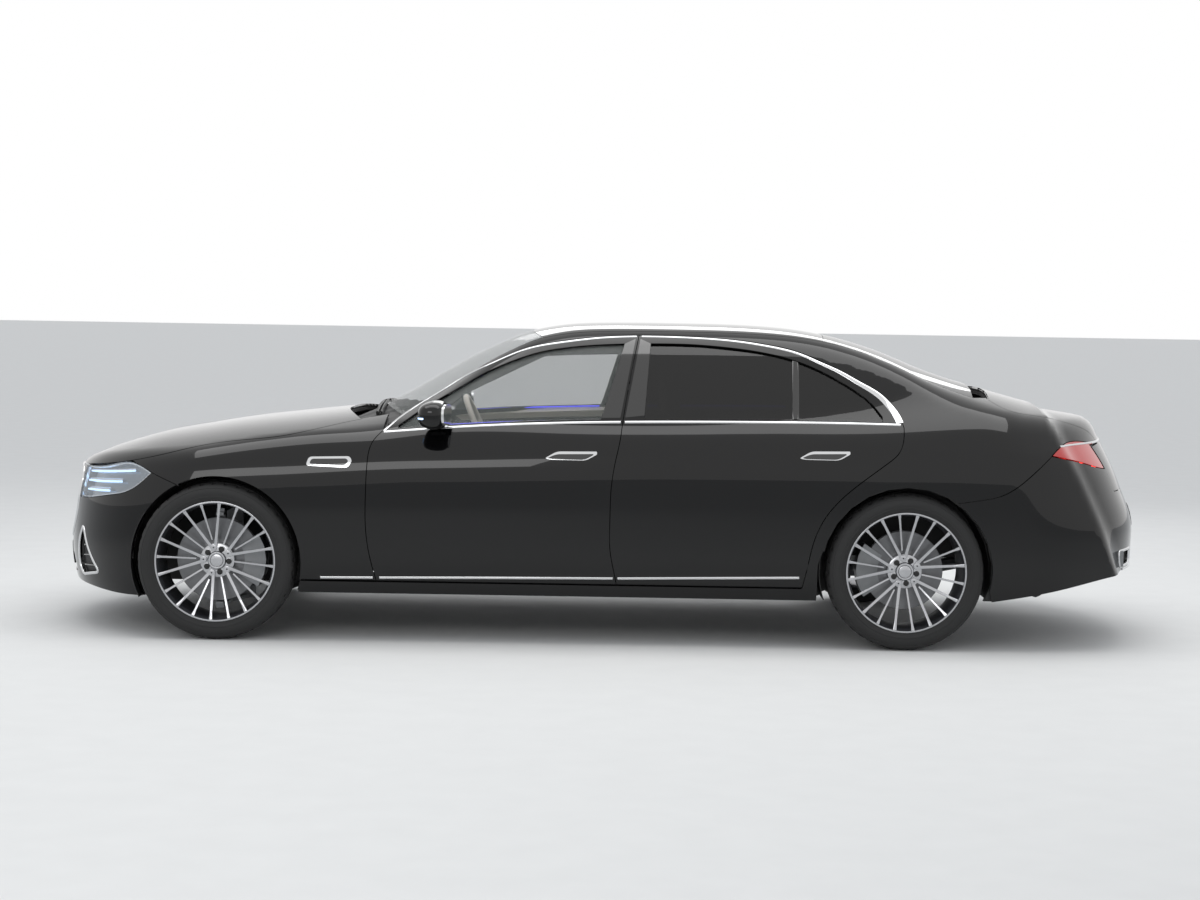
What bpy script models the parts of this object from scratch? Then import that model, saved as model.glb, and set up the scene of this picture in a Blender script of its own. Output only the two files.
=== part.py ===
"""Long-wheelbase luxury saloon, built panel by panel on one shared body surface.

The car stands on its wheels at z = 0, its front faces -X and its left side faces -Y.
Places along the car are shares of the wheelbase behind the front axle, heights are
shares of the height, and places across are shares of half the body's width.
"""
import math

import bmesh
import bpy
import numpy as np
from mathutils import Matrix, Vector

# Driving dimensions, in metres
WHEELBASE = 3.216
HEIGHT = 1.503
BODY_WIDTH = 1.920
LENGTH = 5.280
FRONT_OVERHANG = 0.845
FRONT_TRACK = 1.660
REAR_TRACK = 1.660

# Wheels and brakes
TYRE_RADIUS = 0.366
TYRE_WIDTH = 0.265
RIM_RADIUS = 0.283
RIM_WIDTH = 0.236
RIM_WALL = 0.010
RIM_DISH = 0.052
SPOKE_WIDTH = 0.019
SPOKE_DEPTH = 0.024
HUB_RADIUS = 0.076
HUB_LENGTH = 0.060
BORE_RADIUS = 0.030
DISC_RADIUS = 0.196
DISC_WALL = 0.032
DISC_CLEARANCE = 0.012
CALIPER_LENGTH = 0.230
CALIPER_DEPTH = 0.070
CALIPER_WIDTH = 0.100
CALIPER_CLEARANCE = 0.006
ARCH_RADIUS = 0.397
ARCH_DEPTH = 0.330
ARCH_SEGMENTS = 26
LINER_WALL = 0.006
LINER_OUT_Y = 0.875

# Walls, seams and gaps
SEAT = 0.0003
SHUT_GAP = 0.0055
CUT_OVERRUN = 0.080
SHEET = 0.007
DOOR_WALL = 0.104
DOOR_EDGE_WALL = 0.008
DOOR_EDGE_INSET = 0.024
DOOR_FRAME_WALL = 0.040
DOOR_NOTCH_LENGTH = 0.114
DOOR_NOTCH_DEPTH = 0.1738
PILLAR_WALL = 0.050
POCKET_CLEARANCE = 0.007
RAIL_OUTSIDE = 0.030
DOOR_HEAD = 0.018
RAIL_INSIDE = 0.040
RAIL_CLEARANCE = 0.004
LID_WALL = 0.034
ROOF_WALL = 0.040
BUMPER_WALL = 0.045
LAMP_DEPTH = 0.060
GLASS_WALL = 0.006
SIDE_GLASS_DEPTH = 0.012
SIDE_GLASS_WALL = 0.005
FLOOR_WALL = 0.050
FLOOR_HEIGHT = 0.230
CABIN_FLOOR_HALF_WIDTH = 0.765
TUNNEL_HALF_WIDTH = 0.140
TUNNEL_HEIGHT = 0.148
RISER_HEIGHT = 0.200
COWL_DEPTH = 0.056
COWL_WALL = 0.035
COWL_HALF_WIDTH = 0.558
BOOT_HALF_WIDTH = 0.540
DASH_HALF_WIDTH = 0.700
DASH_LOW = 0.560

# Joints
DOOR_SWING_DEG = 66.0
BONNET_SWING_DEG = 46.0
BOOT_SWING_DEG = 74.0
STEER_LOCK_DEG = 34.0
HINGE_BACK = 0.070
HINGE_DEPTH = 0.028
HINGE_PIN_RADIUS = 0.008
HINGE_LEAF_HEIGHT = 0.030
HINGE_LEAF_WALL = 0.012

# Where the axles are
FRONT_AXLE_X = -LENGTH / 2 + FRONT_OVERHANG
REAR_AXLE_X = FRONT_AXLE_X + WHEELBASE
HALF_WIDTH = BODY_WIDTH / 2

# The body's plan, side view and cabin, as shares
PLAN_SHARES = (
    (-0.267, 0.938), (-0.187, 0.967), (-0.093, 0.985), (0.0, 0.995), (0.155, 0.997), (0.466, 0.997),
    (0.777, 1.0), (0.995, 1.002), (1.15, 0.995), (1.275, 0.974), (1.377, 0.943))
SHOULDER_SHARES = (
    (-0.267, 0.506), (-0.187, 0.532), (-0.109, 0.56), (-0.025, 0.588), (0.118, 0.613), (0.233, 0.632),
    (0.342, 0.643), (0.553, 0.661), (0.715, 0.669), (0.855, 0.673), (0.995, 0.671), (1.135, 0.66),
    (1.222, 0.645), (1.306, 0.629), (1.377, 0.609))
DECK_SHARES = (
    (-0.267, 0.476), (-0.249, 0.511), (-0.218, 0.547), (-0.187, 0.574), (-0.155, 0.596), (-0.115, 0.619),
    (-0.075, 0.635), (0.019, 0.667), (0.081, 0.683), (0.146, 0.699), (0.224, 0.723), (0.311, 0.772),
    (0.498, 0.805), (0.808, 0.818), (0.995, 0.805), (1.088, 0.784), (1.157, 0.764), (1.244, 0.735),
    (1.306, 0.715), (1.377, 0.685))
DECK_FALL_SHARES = (
    (-0.267, 0.067), (-0.155, 0.077), (0.0, 0.08), (0.187, 0.083), (0.311, 0.126), (0.498, 0.163),
    (0.808, 0.17), (0.995, 0.15), (1.088, 0.11), (1.157, 0.086), (1.266, 0.113), (1.377, 0.126))
NOSE_SHARES = (
    (0.067, -0.24), (0.133, -0.255), (0.2, -0.261), (0.279, -0.262), (0.366, -0.258), (0.426, -0.255),
    (0.479, -0.251), (0.532, -0.248), (0.632, -0.242))
TAIL_SHARES = (
    (0.067, 1.337), (0.133, 1.359), (0.213, 1.376), (0.299, 1.379), (0.373, 1.379), (0.423, 1.373),
    (0.474, 1.363), (0.542, 1.35), (0.609, 1.335), (0.652, 1.325), (0.683, 1.319), (0.732, 1.309))
BELT_SHARES = (
    (0.155, 0.635), (0.236, 0.649), (0.342, 0.668), (0.491, 0.685), (0.684, 0.695), (0.871, 0.699),
    (0.995, 0.697), (1.182, 0.685))
CABIN_SHARES = (
    (0.171, 0.833), (0.28, 0.862), (0.435, 0.877), (0.622, 0.881), (0.808, 0.873), (0.933, 0.852),
    (1.026, 0.825), (1.119, 0.786), (1.182, 0.75))
ROOF_SHARES = (
    (0.155, 0.625), (0.22, 0.717), (0.271, 0.78), (0.302, 0.82), (0.334, 0.86), (0.365, 0.897),
    (0.397, 0.929), (0.428, 0.957), (0.46, 0.976), (0.491, 0.988), (0.523, 0.995), (0.554, 0.998),
    (0.617, 1.0), (0.68, 1.0), (0.743, 0.999), (0.806, 0.994), (0.855, 0.985), (0.9, 0.969),
    (0.932, 0.953), (0.963, 0.934), (0.995, 0.91), (1.026, 0.883), (1.058, 0.852), (1.089, 0.82),
    (1.121, 0.788), (1.15, 0.76), (1.213, 0.705))
SCREEN_BOW_SHARES = (
    (0.19, 0.086), (0.31, 0.08), (0.466, 0.04), (0.62, 0.009), (0.746, 0.0), (0.9, -0.017),
    (1.026, -0.046), (1.15, -0.063))
CABIN_FILLET_SHARES = ((0.155, 0.02), (0.808, 0.02), (0.995, 0.067), (1.119, 0.133), (1.244, 0.133))
NOSE_LENGTH_SHARE = 0.224
TAIL_LENGTH_SHARE = 0.202
PLAN_POWER_SHARE = 2.3
END_POWER_SHARE = 2.1
TUCK_START_SHARE = 0.3
TUCK_SHARE = 2.12
SHOULDER_TURN_SHARE = 3.65
SHOULDER_REACH_SHARE = 0.126
BARREL_SHARE = 0.176
BARREL_MIDDLE_SHARE = 0.4
SOFT_SHARE = 0.02
DECK_EDGE_SHARE = 0.037
CABIN_LEAN_SHARE = 0.658
CABIN_CURVE_SHARE = 1.106
CABIN_SINK_SHARE = 0.067
ROOF_CROWN_SHARE = 0.0613
ROOF_EDGE_SHARE = 0.047
SCREEN_DROP_SHARE = 3.2
SCREEN_START_SHARE = 0.155
BACKLIGHT_DROP_SHARE = 4.3
BACKLIGHT_END_SHARE = 1.213

# Outlines in side view: share of the wheelbase behind the front axle, share of the height
FRONT_DOOR_LEAD_SHARES = (
    (0.233, 0.191), (0.224, 0.265), (0.218, 0.345), (0.217, 0.456), (0.2185, 0.556), (0.225, 0.622),
    (0.2385, 0.655))
FRONT_DOOR_TOP_SHARES = (
    (0.2385, 0.655), (0.261, 0.7), (0.287, 0.738), (0.317, 0.778), (0.346, 0.818), (0.376, 0.853),
    (0.406, 0.884), (0.435, 0.911), (0.465, 0.929), (0.495, 0.94), (0.554, 0.956), (0.6095, 0.962))
DOOR_SPLIT_SHARES = (
    (0.6095, 0.962), (0.586, 0.683), (0.583, 0.638), (0.577, 0.578), (0.571, 0.487), (0.570, 0.394),
    (0.571, 0.296), (0.576, 0.24), (0.581, 0.191))
REAR_DOOR_TOP_SHARES = (
    (0.6095, 0.962), (0.643, 0.962), (0.703, 0.959), (0.762, 0.95), (0.802, 0.938), (0.85, 0.914),
    (0.879, 0.888), (0.908, 0.860), (0.936, 0.826), (0.965, 0.788), (0.981, 0.751), (0.99, 0.72),
    (0.9945, 0.69))
REAR_DOOR_TRAIL_SHARES = (
    (0.9945, 0.69), (0.993, 0.655), (0.985, 0.612), (0.971, 0.585), (0.951, 0.553), (0.926, 0.512),
    (0.899, 0.46), (0.879, 0.405), (0.864, 0.33), (0.856, 0.25), (0.85, 0.191))
FRONT_WINDOW_TOP_SHARES = (
    (0.26, 0.671), (0.287, 0.714), (0.32, 0.758), (0.353, 0.8), (0.38, 0.834), (0.406, 0.861),
    (0.435, 0.886), (0.465, 0.906), (0.495, 0.918), (0.54, 0.929), (0.588, 0.935))
FRONT_WINDOW_BACK_SHARES = ((0.588, 0.935), (0.571, 0.80), (0.5545, 0.702))
REAR_WINDOW_FRONT_SHARES = ((0.6185, 0.713), (0.622, 0.80), (0.627, 0.937))
REAR_WINDOW_TOP_SHARES = (
    (0.627, 0.937), (0.68, 0.937), (0.74, 0.929), (0.792, 0.915), (0.843, 0.889), (0.872, 0.865),
    (0.9, 0.835), (0.928, 0.799), (0.952, 0.758), (0.965, 0.722))
WINDOW_SILL_RISE_SHARE = 0.009
QUARTER_SEAM_SHARES = (
    (1.21, 0.611), (1.172, 0.541), (1.154, 0.511), (1.133, 0.487), (1.107, 0.474), (1.07, 0.462))
LAMP_TOP_SHARES = ((1.21, 0.611), (1.222, 0.633), (1.295, 0.638), (1.36, 0.636))
LAMP_LOW_SHARES = ((1.36, 0.562), (1.314, 0.559), (1.266, 0.584), (1.21, 0.611))
BOOT_SEAM_SHARES = ((1.127, 0.78), (1.142, 0.757), (1.201, 0.728), (1.262, 0.697), (1.292, 0.668),
                    (1.305, 0.637))
REAR_LOW_SHARES = ((1.125, 0.153), (1.188, 0.176), (1.25, 0.204), (1.30, 0.227), (1.4, 0.255))
BONNET_SEAM_SHARES = (
    (-0.30, 0.515), (-0.209, 0.521), (-0.170, 0.532), (-0.13, 0.546), (-0.084, 0.568), (-0.027, 0.598),
    (0.03, 0.617), (0.089, 0.632), (0.14, 0.655), (0.186, 0.677), (0.24, 0.70))
HEADLAMP_SHARES = ((-0.30, 0.511), (-0.209, 0.517), (-0.170, 0.528), (-0.13, 0.542), (-0.096, 0.514),
                   (-0.134, 0.452), (-0.17, 0.433), (-0.206, 0.418), (-0.30, 0.41))
FENDER_SEAM_SHARES = ((-0.096, 0.514), (-0.053, 0.477))
FRONT_LOW_SHARES = ((-0.3, 0.15), (-0.20, 0.132), (-0.15, 0.122), (-0.10, 0.122))
SILL_LOW_SHARE = 0.148
SILL_TOP_SHARE = 0.1875
SILL_FRONT_SHARE = 0.129
SILL_BACK_SHARE = 0.872

# Outlines seen from above: share of the wheelbase, share of half the width
GLASS_EDGE_SHARES = (
    (0.262, 0.735), (0.30, 0.69), (0.36, 0.635), (0.43, 0.595), (0.50, 0.575), (0.62, 0.57),
    (0.76, 0.575), (0.87, 0.58), (0.95, 0.587), (1.02, 0.60), (1.07, 0.632), (1.105, 0.672))
SCREEN_BASE_SHARES = ((0.222, 0.0), (0.2245, 0.2), (0.232, 0.4), (0.245, 0.58), (0.262, 0.735))
SCREEN_TOP_SHARES = ((0.447, 0.0), (0.449, 0.2), (0.456, 0.4), (0.466, 0.582))
BACKLIGHT_TOP_SHARES = ((0.893, 0.0), (0.8925, 0.2), (0.889, 0.4), (0.884, 0.581))
BACKLIGHT_BASE_SHARES = ((1.117, 0.0), (1.116, 0.2), (1.113, 0.4), (1.105, 0.672))
BONNET_REAR_SHARES = ((0.166, 0.0), (0.168, 0.2), (0.176, 0.4), (0.189, 0.58), (0.211, 0.80), (0.222, 0.9))
BOOT_FRONT_SHARES = ((1.142, 0.0), (1.141, 0.2), (1.138, 0.4), (1.128, 0.68), (1.122, 0.8))
BOOT_FACE_HALF_WIDTH_SHARE = 0.60
BOOT_FACE_LOW_SHARE = 0.488
GRILLE_HALF_WIDTH_SHARE = 0.50
GRILLE_LOW_HALF_WIDTH_SHARE = 0.44
GRILLE_TOP_SHARE = 0.5155
GRILLE_LOW_SHARE = 0.272
GRILLE_BACK_SHARE = -0.17
LAMP_INNER_SHARE = 0.512
TAIL_LAMP_INNER_SHARE = 0.612

# Rings and rows of the body surface
NOSE_RING_X_SHARE = -0.13
TAIL_RING_X_SHARE = 1.22
AXIS_HEIGHT_SHARE = 0.40
BODY_RINGS = 15
CAP_RINGS = 4
ROW_ANGLES_DEG = (-90, -45, -22, -8, 6, 16, 22, 28, 35, 43, 52, 62, 75, 90)
COARSE_RINGS = 10
COARSE_CAPS = 4
COARSE_ANGLES_DEG = (-90, -40, -20, 0, 15, 24, 36, 50, 64, 90)
CAST_REACH_SHARE = 1.6
CAST_STEPS = 44
FLAT_DEG_STEPS = (3.5, 1.5, 0.5, 0.05)
STRAIGHT_DEG = 0.1
SKIN_TILT = 0.002
SKIN_EASE = 1.8
MERGE_REACH = 0.00003


def smooth_through(pairs):
    """Return a natural cubic spline through (place, value) pairs."""
    places, values = np.array(pairs, float).T
    spans = np.diff(places)
    count = len(places)
    system = np.eye(count)
    slopes = np.zeros(count)
    for i in range(1, count - 1):
        system[i, i - 1:i + 2] = spans[i - 1], 2 * (spans[i - 1] + spans[i]), spans[i]
        slopes[i] = 6 * ((values[i + 1] - values[i]) / spans[i] - (values[i] - values[i - 1]) / spans[i - 1])
    bends = np.linalg.solve(system, slopes)

    def value_at(where):
        inside = np.clip(np.asarray(where, float), places[0], places[-1])
        i = np.clip(np.searchsorted(places, inside) - 1, 0, count - 2)
        before, after, span = places[i + 1] - inside, inside - places[i], spans[i]
        curve = (bends[i] * before ** 3 + bends[i + 1] * after ** 3) / (6 * span)
        start = values[i] / span - bends[i] * span / 6
        end = values[i + 1] / span - bends[i + 1] * span / 6
        return curve + start * before + end * after
    return value_at


plan_at = smooth_through(PLAN_SHARES)
shoulder_at = smooth_through(SHOULDER_SHARES)
deck_at = smooth_through(DECK_SHARES)
deck_fall_at = smooth_through(DECK_FALL_SHARES)
nose_at = smooth_through(NOSE_SHARES)
tail_at = smooth_through(TAIL_SHARES)
belt_at = smooth_through(BELT_SHARES)
cabin_at = smooth_through(CABIN_SHARES)
roof_at = smooth_through(ROOF_SHARES)
bow_at = smooth_through(SCREEN_BOW_SHARES)
fillet_at = smooth_through(CABIN_FILLET_SHARES)


def blend_high(first, second, width):
    """Return the larger value, with the corner between them rounded over a width."""
    near = np.clip(width - np.abs(first - second), 0, None) / width
    return np.maximum(first, second) + near * near * width / 4


def ramp(value, width):
    """Return zero below zero and the value above it, with a soft start."""
    return width * np.logaddexp(0, value / width)


def body_level(x, y, z):
    """Return how far outside the body's surface places lie, in metres (inside is negative)."""
    along = (x - FRONT_AXLE_X) / WHEELBASE
    across = np.abs(y) / HALF_WIDTH
    up = z / HEIGHT
    shoulder = shoulder_at(along)
    inset = (TUCK_SHARE * ramp(TUCK_START_SHARE - up, SOFT_SHARE) ** 2
             + SHOULDER_TURN_SHARE * ramp(up - shoulder + SHOULDER_REACH_SHARE, SOFT_SHARE) ** 2
             + BARREL_SHARE * (up - BARREL_MIDDLE_SHARE) ** 2)
    plan = np.maximum(plan_at(along) - inset, NOSE_LENGTH_SHARE)
    nose = np.clip((nose_at(up) + NOSE_LENGTH_SHARE - along) / NOSE_LENGTH_SHARE, 0, None)
    tail = np.clip((along - tail_at(up) + TAIL_LENGTH_SHARE) / TAIL_LENGTH_SHARE, 0, None)
    ratio = (across / plan) ** PLAN_POWER_SHARE + nose ** END_POWER_SHARE + tail ** END_POWER_SHARE
    side = np.minimum((ratio - 1) * plan / PLAN_POWER_SHARE, 1) * HALF_WIDTH
    deck = deck_at(along) - deck_fall_at(along) * (across / plan_at(along)) ** 3
    lower = blend_high(side, (up - deck) * HEIGHT, DECK_EDGE_SHARE * HEIGHT)
    rise = np.maximum(up - belt_at(along), -CABIN_SINK_SHARE)
    lean = cabin_at(along) - CABIN_LEAN_SHARE * rise - CABIN_CURVE_SHARE * rise ** 2 * np.sign(rise)
    glass_side = (across - lean) * HALF_WIDTH * math.cos(CABIN_LEAN_SHARE)
    bowed = along - bow_at(along) * across ** 2
    ends = (SCREEN_DROP_SHARE * np.clip(SCREEN_START_SHARE - along, 0, None)
            + BACKLIGHT_DROP_SHARE * np.clip(along - BACKLIGHT_END_SHARE, 0, None))
    roof = (up - roof_at(bowed) + ROOF_CROWN_SHARE * across ** 2 + ends) * HEIGHT
    upper = blend_high(glass_side, roof, ROOF_EDGE_SHARE * HEIGHT)
    return -blend_high(-lower, -upper, fillet_at(along) * HEIGHT)


def cast_out(start, direction, depth):
    """Return where rays from inside meet the surface lying a depth under the body's skin."""
    near = np.zeros(start.shape[:-1])
    far = np.full(start.shape[:-1], CAST_REACH_SHARE * WHEELBASE / 2)
    for _ in range(CAST_STEPS):
        middle = (near + far) / 2
        place = start + direction * middle[..., None]
        inside = body_level(place[..., 0], place[..., 1], place[..., 2]) + depth(place) < 0
        near = np.where(inside, middle, near)
        far = np.where(inside, far, middle)
    return start + direction * near[..., None]


def at_x(share):
    """Return the place along the car for a share of the wheelbase."""
    return FRONT_AXLE_X + share * WHEELBASE


def side_y(x, z, depth=0.0):
    """Return the left side's place across, at one place along and one height."""
    start = np.array([[x, 0.0, z]])
    return float(cast_out(start, np.array([[0.0, -1.0, 0.0]]), lambda place: depth)[0, 1])


def top_z(x, y, depth=0.0):
    """Return the height of the body's skin over a place."""
    start = np.array([[x, y, AXIS_HEIGHT_SHARE * HEIGHT]])
    return float(cast_out(start, np.array([[0.0, 0.0, 1.0]]), lambda place: depth)[0, 2])


# Collections and materials

def new_collection(name):
    collection = bpy.data.collections.new(name)
    bpy.context.scene.collection.children.link(collection)
    return collection


for old in list(bpy.data.objects):
    bpy.data.objects.remove(old, do_unlink=True)
PARTS = new_collection("luxury_saloon")
CUTTERS = new_collection("cutters")


def finish(name, colour, roughness, metallic=0.0, transmission=0.0):
    material = bpy.data.materials.new(name)
    material.use_nodes = True
    shader = material.node_tree.nodes["Principled BSDF"]
    shader.inputs["Base Color"].default_value = (*colour, 1.0)
    shader.inputs["Roughness"].default_value = roughness
    shader.inputs["Metallic"].default_value = metallic
    shader.inputs["Transmission Weight"].default_value = transmission
    return material


PAINT = finish("black_paint", (0.006, 0.006, 0.007), 0.06)
GLASS = finish("tinted_glass", (0.03, 0.035, 0.035), 0.03, transmission=0.7)
CHROME = finish("chrome", (0.75, 0.75, 0.76), 0.08, metallic=1.0)
ALLOY = finish("silver_alloy", (0.6, 0.6, 0.61), 0.22, metallic=1.0)
RUBBER = finish("tyre_rubber", (0.015, 0.015, 0.015), 0.75)
STEEL = finish("brake_steel", (0.35, 0.35, 0.36), 0.35, metallic=1.0)
PLASTIC = finish("black_plastic", (0.02, 0.02, 0.02), 0.5)
LEATHER = finish("pale_leather", (0.72, 0.69, 0.64), 0.5)
LAMP = finish("clear_lens", (0.7, 0.72, 0.75), 0.05, transmission=0.6)
RED_LAMP = finish("red_lens", (0.5, 0.01, 0.01), 0.1)
CAST = finish("cast_metal", (0.22, 0.22, 0.23), 0.55, metallic=0.8)


# Meshes and solids

def add_object(name, mesh, collection, material=None):
    body = bpy.data.objects.new(name, mesh)
    collection.objects.link(body)
    if material:
        mesh.materials.clear()
        mesh.materials.append(material)
    if collection is CUTTERS:
        body.hide_render = True
        body.display_type = "WIRE"
    return body


def mesh_from(bm, name):
    bmesh.ops.recalc_face_normals(bm, faces=bm.faces)
    mesh = bpy.data.meshes.new(name)
    bm.to_mesh(mesh)
    bm.free()
    return mesh


def skin_mesh(name, depth, rings=BODY_RINGS, caps=CAP_RINGS, rows=ROW_ANGLES_DEG):
    """Return the closed surface that lies a depth under the body's skin.

    Rings stand along the car, and a fan of rings closes the nose and the tail.
    """
    middle = np.linspace(NOSE_RING_X_SHARE, TAIL_RING_X_SHARE, rings)
    turns = [(NOSE_RING_X_SHARE, -90 * (1 - i / caps)) for i in range(caps)]
    turns += [(share, 0.0) for share in middle]
    turns += [(TAIL_RING_X_SHARE, 90 * (i + 1) / caps) for i in range(caps)]
    left = np.radians(np.array(rows))
    around = np.concatenate([left, math.pi - left[-2:0:-1]])
    shares = np.array([share for share, _ in turns])[:, None]
    tilt = np.radians(np.array([turn for _, turn in turns]))[:, None]
    flat = np.ones_like(around)[None, :]
    start = np.stack([at_x(shares) * flat, 0 * shares * flat,
                      AXIS_HEIGHT_SHARE * HEIGHT * flat + 0 * shares], -1)
    direction = np.stack([np.sin(tilt) * flat, -np.cos(tilt) * np.cos(around)[None, :],
                          np.cos(tilt) * np.sin(around)[None, :]], -1)
    places = cast_out(start, direction, depth)
    bm = bmesh.new()
    first = bm.verts.new(places[0, 0])
    grid = [[bm.verts.new(place) for place in ring] for ring in places[1:-1]]
    last = bm.verts.new(places[-1, 0])
    count = len(around)
    for ring, following in zip(grid, grid[1:]):
        for i in range(count):
            j = (i + 1) % count
            bm.faces.new((ring[i], ring[j], following[j], following[i]))
    for i in range(count):
        j = (i + 1) % count
        bm.faces.new((first, grid[0][j], grid[0][i]))
        bm.faces.new((last, grid[-1][i], grid[-1][j]))
    bmesh.ops.triangulate(bm, faces=bm.faces)
    return mesh_from(bm, name)


def skin_object(name, depth, coarse=False):
    options = {}
    if coarse:
        options = {"rings": COARSE_RINGS, "caps": COARSE_CAPS, "rows": COARSE_ANGLES_DEG}
    if not callable(depth):
        amount = depth
        return add_object(name, skin_mesh(name, lambda place: amount, **options), CUTTERS)
    return add_object(name, skin_mesh(name, depth, **options), CUTTERS)


def flat_prism(name, outline, axis, low, high):
    """Return a closed prism: an outline in side view (axis 1) or from above (axis 2), pushed along it."""
    bm = bmesh.new()
    if axis == 1:
        ring = [bm.verts.new((a, low, b)) for a, b in outline]
    elif axis == 2:
        ring = [bm.verts.new((a, b, low)) for a, b in outline]
    else:
        ring = [bm.verts.new((low, a, b)) for a, b in outline]
    face = bm.faces.new(ring)
    push = [0.0, 0.0, 0.0]
    push[axis] = high - low
    grown = bmesh.ops.extrude_face_region(bm, geom=[face])
    bmesh.ops.translate(bm, verts=[v for v in grown["geom"] if isinstance(v, bmesh.types.BMVert)], vec=push)
    bmesh.ops.triangulate(bm, faces=[f for f in bm.faces if len(f.verts) > 4])
    return add_object(name, mesh_from(bm, name), CUTTERS)


def block(name, low, high, collection=None, material=None):
    """Return a box between two corners."""
    bm = bmesh.new()
    bmesh.ops.create_cube(bm, size=1.0)
    low, high = Vector(low), Vector(high)
    size = high - low
    bmesh.ops.scale(bm, vec=size, verts=bm.verts)
    bmesh.ops.translate(bm, vec=(low + high) / 2, verts=bm.verts)
    return add_object(name, mesh_from(bm, name), collection or CUTTERS, material)


def rod(name, radius, start, end, segments=16, collection=None, material=None):
    """Return a cylinder from one place to another."""
    start, end = Vector(start), Vector(end)
    bm = bmesh.new()
    bmesh.ops.create_cone(bm, cap_ends=True, segments=segments, radius1=radius, radius2=radius,
                          depth=(end - start).length)
    turn = Vector((0, 0, 1)).rotation_difference(end - start).to_matrix().to_4x4()
    bmesh.ops.transform(bm, matrix=Matrix.Translation((start + end) / 2) @ turn, verts=bm.verts)
    return add_object(name, mesh_from(bm, name), collection or CUTTERS, material)


def combine(body, tool, operation):
    """Apply a Boolean of a tool to a body, whose mesh is replaced by the result."""
    cut = body.modifiers.new("cut", "BOOLEAN")
    cut.operation = operation
    cut.solver = "EXACT"
    cut.object = tool
    graph = bpy.context.evaluated_depsgraph_get()
    mesh = bpy.data.meshes.new_from_object(body.evaluated_get(graph))
    body.modifiers.remove(cut)
    old = body.data
    body.data = mesh
    if old.users == 0:
        bpy.data.meshes.remove(old)
    return body


def cut_by(body, *tools):
    for tool in tools:
        combine(body, tool, "DIFFERENCE")
    return body


def join_with(body, *tools):
    for tool in tools:
        combine(body, tool, "UNION")
    return body


def keep_in(body, *tools):
    for tool in tools:
        combine(body, tool, "INTERSECT")
    return body


def copy_of(body, name):
    return add_object(name, body.data.copy(), CUTTERS)


def piece(body, name, material, origin=(0.0, 0.0, 0.0)):
    """Make a finished part of a working solid, with its origin at a place."""
    mesh = body.data.copy()
    for flat_deg in FLAT_DEG_STEPS:
        bm = bmesh.new()
        bm.from_mesh(body.data)
        bmesh.ops.remove_doubles(bm, verts=bm.verts, dist=MERGE_REACH)
        bmesh.ops.dissolve_degenerate(bm, dist=MERGE_REACH, edges=bm.edges)
        bmesh.ops.translate(bm, vec=-Vector(origin), verts=bm.verts)
        bm.normal_update()
        skin_edges = [edge for edge in bm.edges if all(min(abs(c) for c in face.normal) > SKIN_TILT
                                                       for face in edge.link_faces)]
        bmesh.ops.dissolve_limit(bm, angle_limit=math.radians(flat_deg * SKIN_EASE), verts=[], edges=skin_edges)
        bmesh.ops.dissolve_limit(bm, angle_limit=math.radians(flat_deg), verts=[], edges=bm.edges)
        bmesh.ops.dissolve_limit(bm, angle_limit=math.radians(STRAIGHT_DEG), verts=bm.verts, edges=[])
        bmesh.ops.triangulate(bm, faces=bm.faces)
        closed = all(edge.is_manifold for edge in bm.edges)
        bm.to_mesh(mesh)
        bm.free()
        if closed:
            break
    made = add_object(name, mesh, PARTS, material)
    made.location = origin
    mesh.shade_smooth()
    mesh.set_sharp_from_angle(angle=math.radians(35))
    return made


def cut_clear(body, made, shift):
    """Cut a working solid by a finished piece moved a little, so that a thin gap is left."""
    tool = add_object(made.name + "_clear", made.data.copy(), CUTTERS)
    tool.data.transform(Matrix.Translation(made.location + Vector(shift)))
    return cut_by(body, tool)


def mirrored(body, name):
    """Return the same piece for the car's other side."""
    mesh = body.data.copy()
    mesh.transform(Matrix.Diagonal((1, -1, 1, 1)))
    mesh.flip_normals()
    made = bpy.data.objects.new(name, mesh)
    PARTS.objects.link(made)
    made.location = (body.location.x, -body.location.y, body.location.z)
    return made


def side_points(shares):
    return [(at_x(along), up * HEIGHT) for along, up in shares]


def top_points(shares, side=1):
    return [(at_x(along), side * across * HALF_WIDTH) for along, across in shares]


def rounded(points, steps=3):
    """Return more points on a smooth curve through a few, ends included."""
    places = np.array(points, float)
    lengths = np.concatenate([[0], np.cumsum(np.linalg.norm(np.diff(places, axis=0), axis=1))])
    xs = smooth_through(list(zip(lengths, places[:, 0])))
    ys = smooth_through(list(zip(lengths, places[:, 1])))
    at = np.concatenate([np.linspace(a, b, steps, endpoint=False) for a, b in zip(lengths, lengths[1:])]
                        + [[lengths[-1]]])
    return list(zip(xs(at).tolist(), ys(at).tolist()))


def grown_outline(outline, amount):
    """Return a closed outline moved outwards by an amount (inwards where it is negative)."""
    places = np.array(outline, float)
    following = np.roll(places, -1, axis=0)
    area = np.sum(places[:, 0] * following[:, 1] - following[:, 0] * places[:, 1]) / 2
    edges = following - places
    edges /= np.linalg.norm(edges, axis=1, keepdims=True)
    normals = np.stack([edges[:, 1], -edges[:, 0]], 1) * (1 if area > 0 else -1)
    before = np.roll(normals, 1, axis=0)
    mitre = normals + before
    mitre /= np.maximum(np.sum(mitre * normals, axis=1, keepdims=True), 0.4)
    return (places + mitre * amount).tolist()


def circle_points(centre_x, centre_z, radius, start_deg, end_deg, count):
    angles = np.radians(np.linspace(start_deg, end_deg, count))
    return [(centre_x + radius * math.cos(a), centre_z + radius * math.sin(a)) for a in angles]


SIDE_OUT = -HALF_WIDTH - CUT_OVERRUN
SIDE_IN = -HALF_WIDTH * TAIL_LENGTH_SHARE
OVER = HEIGHT + CUT_OVERRUN
UNDER = -CUT_OVERRUN


# The body's skins

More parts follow.
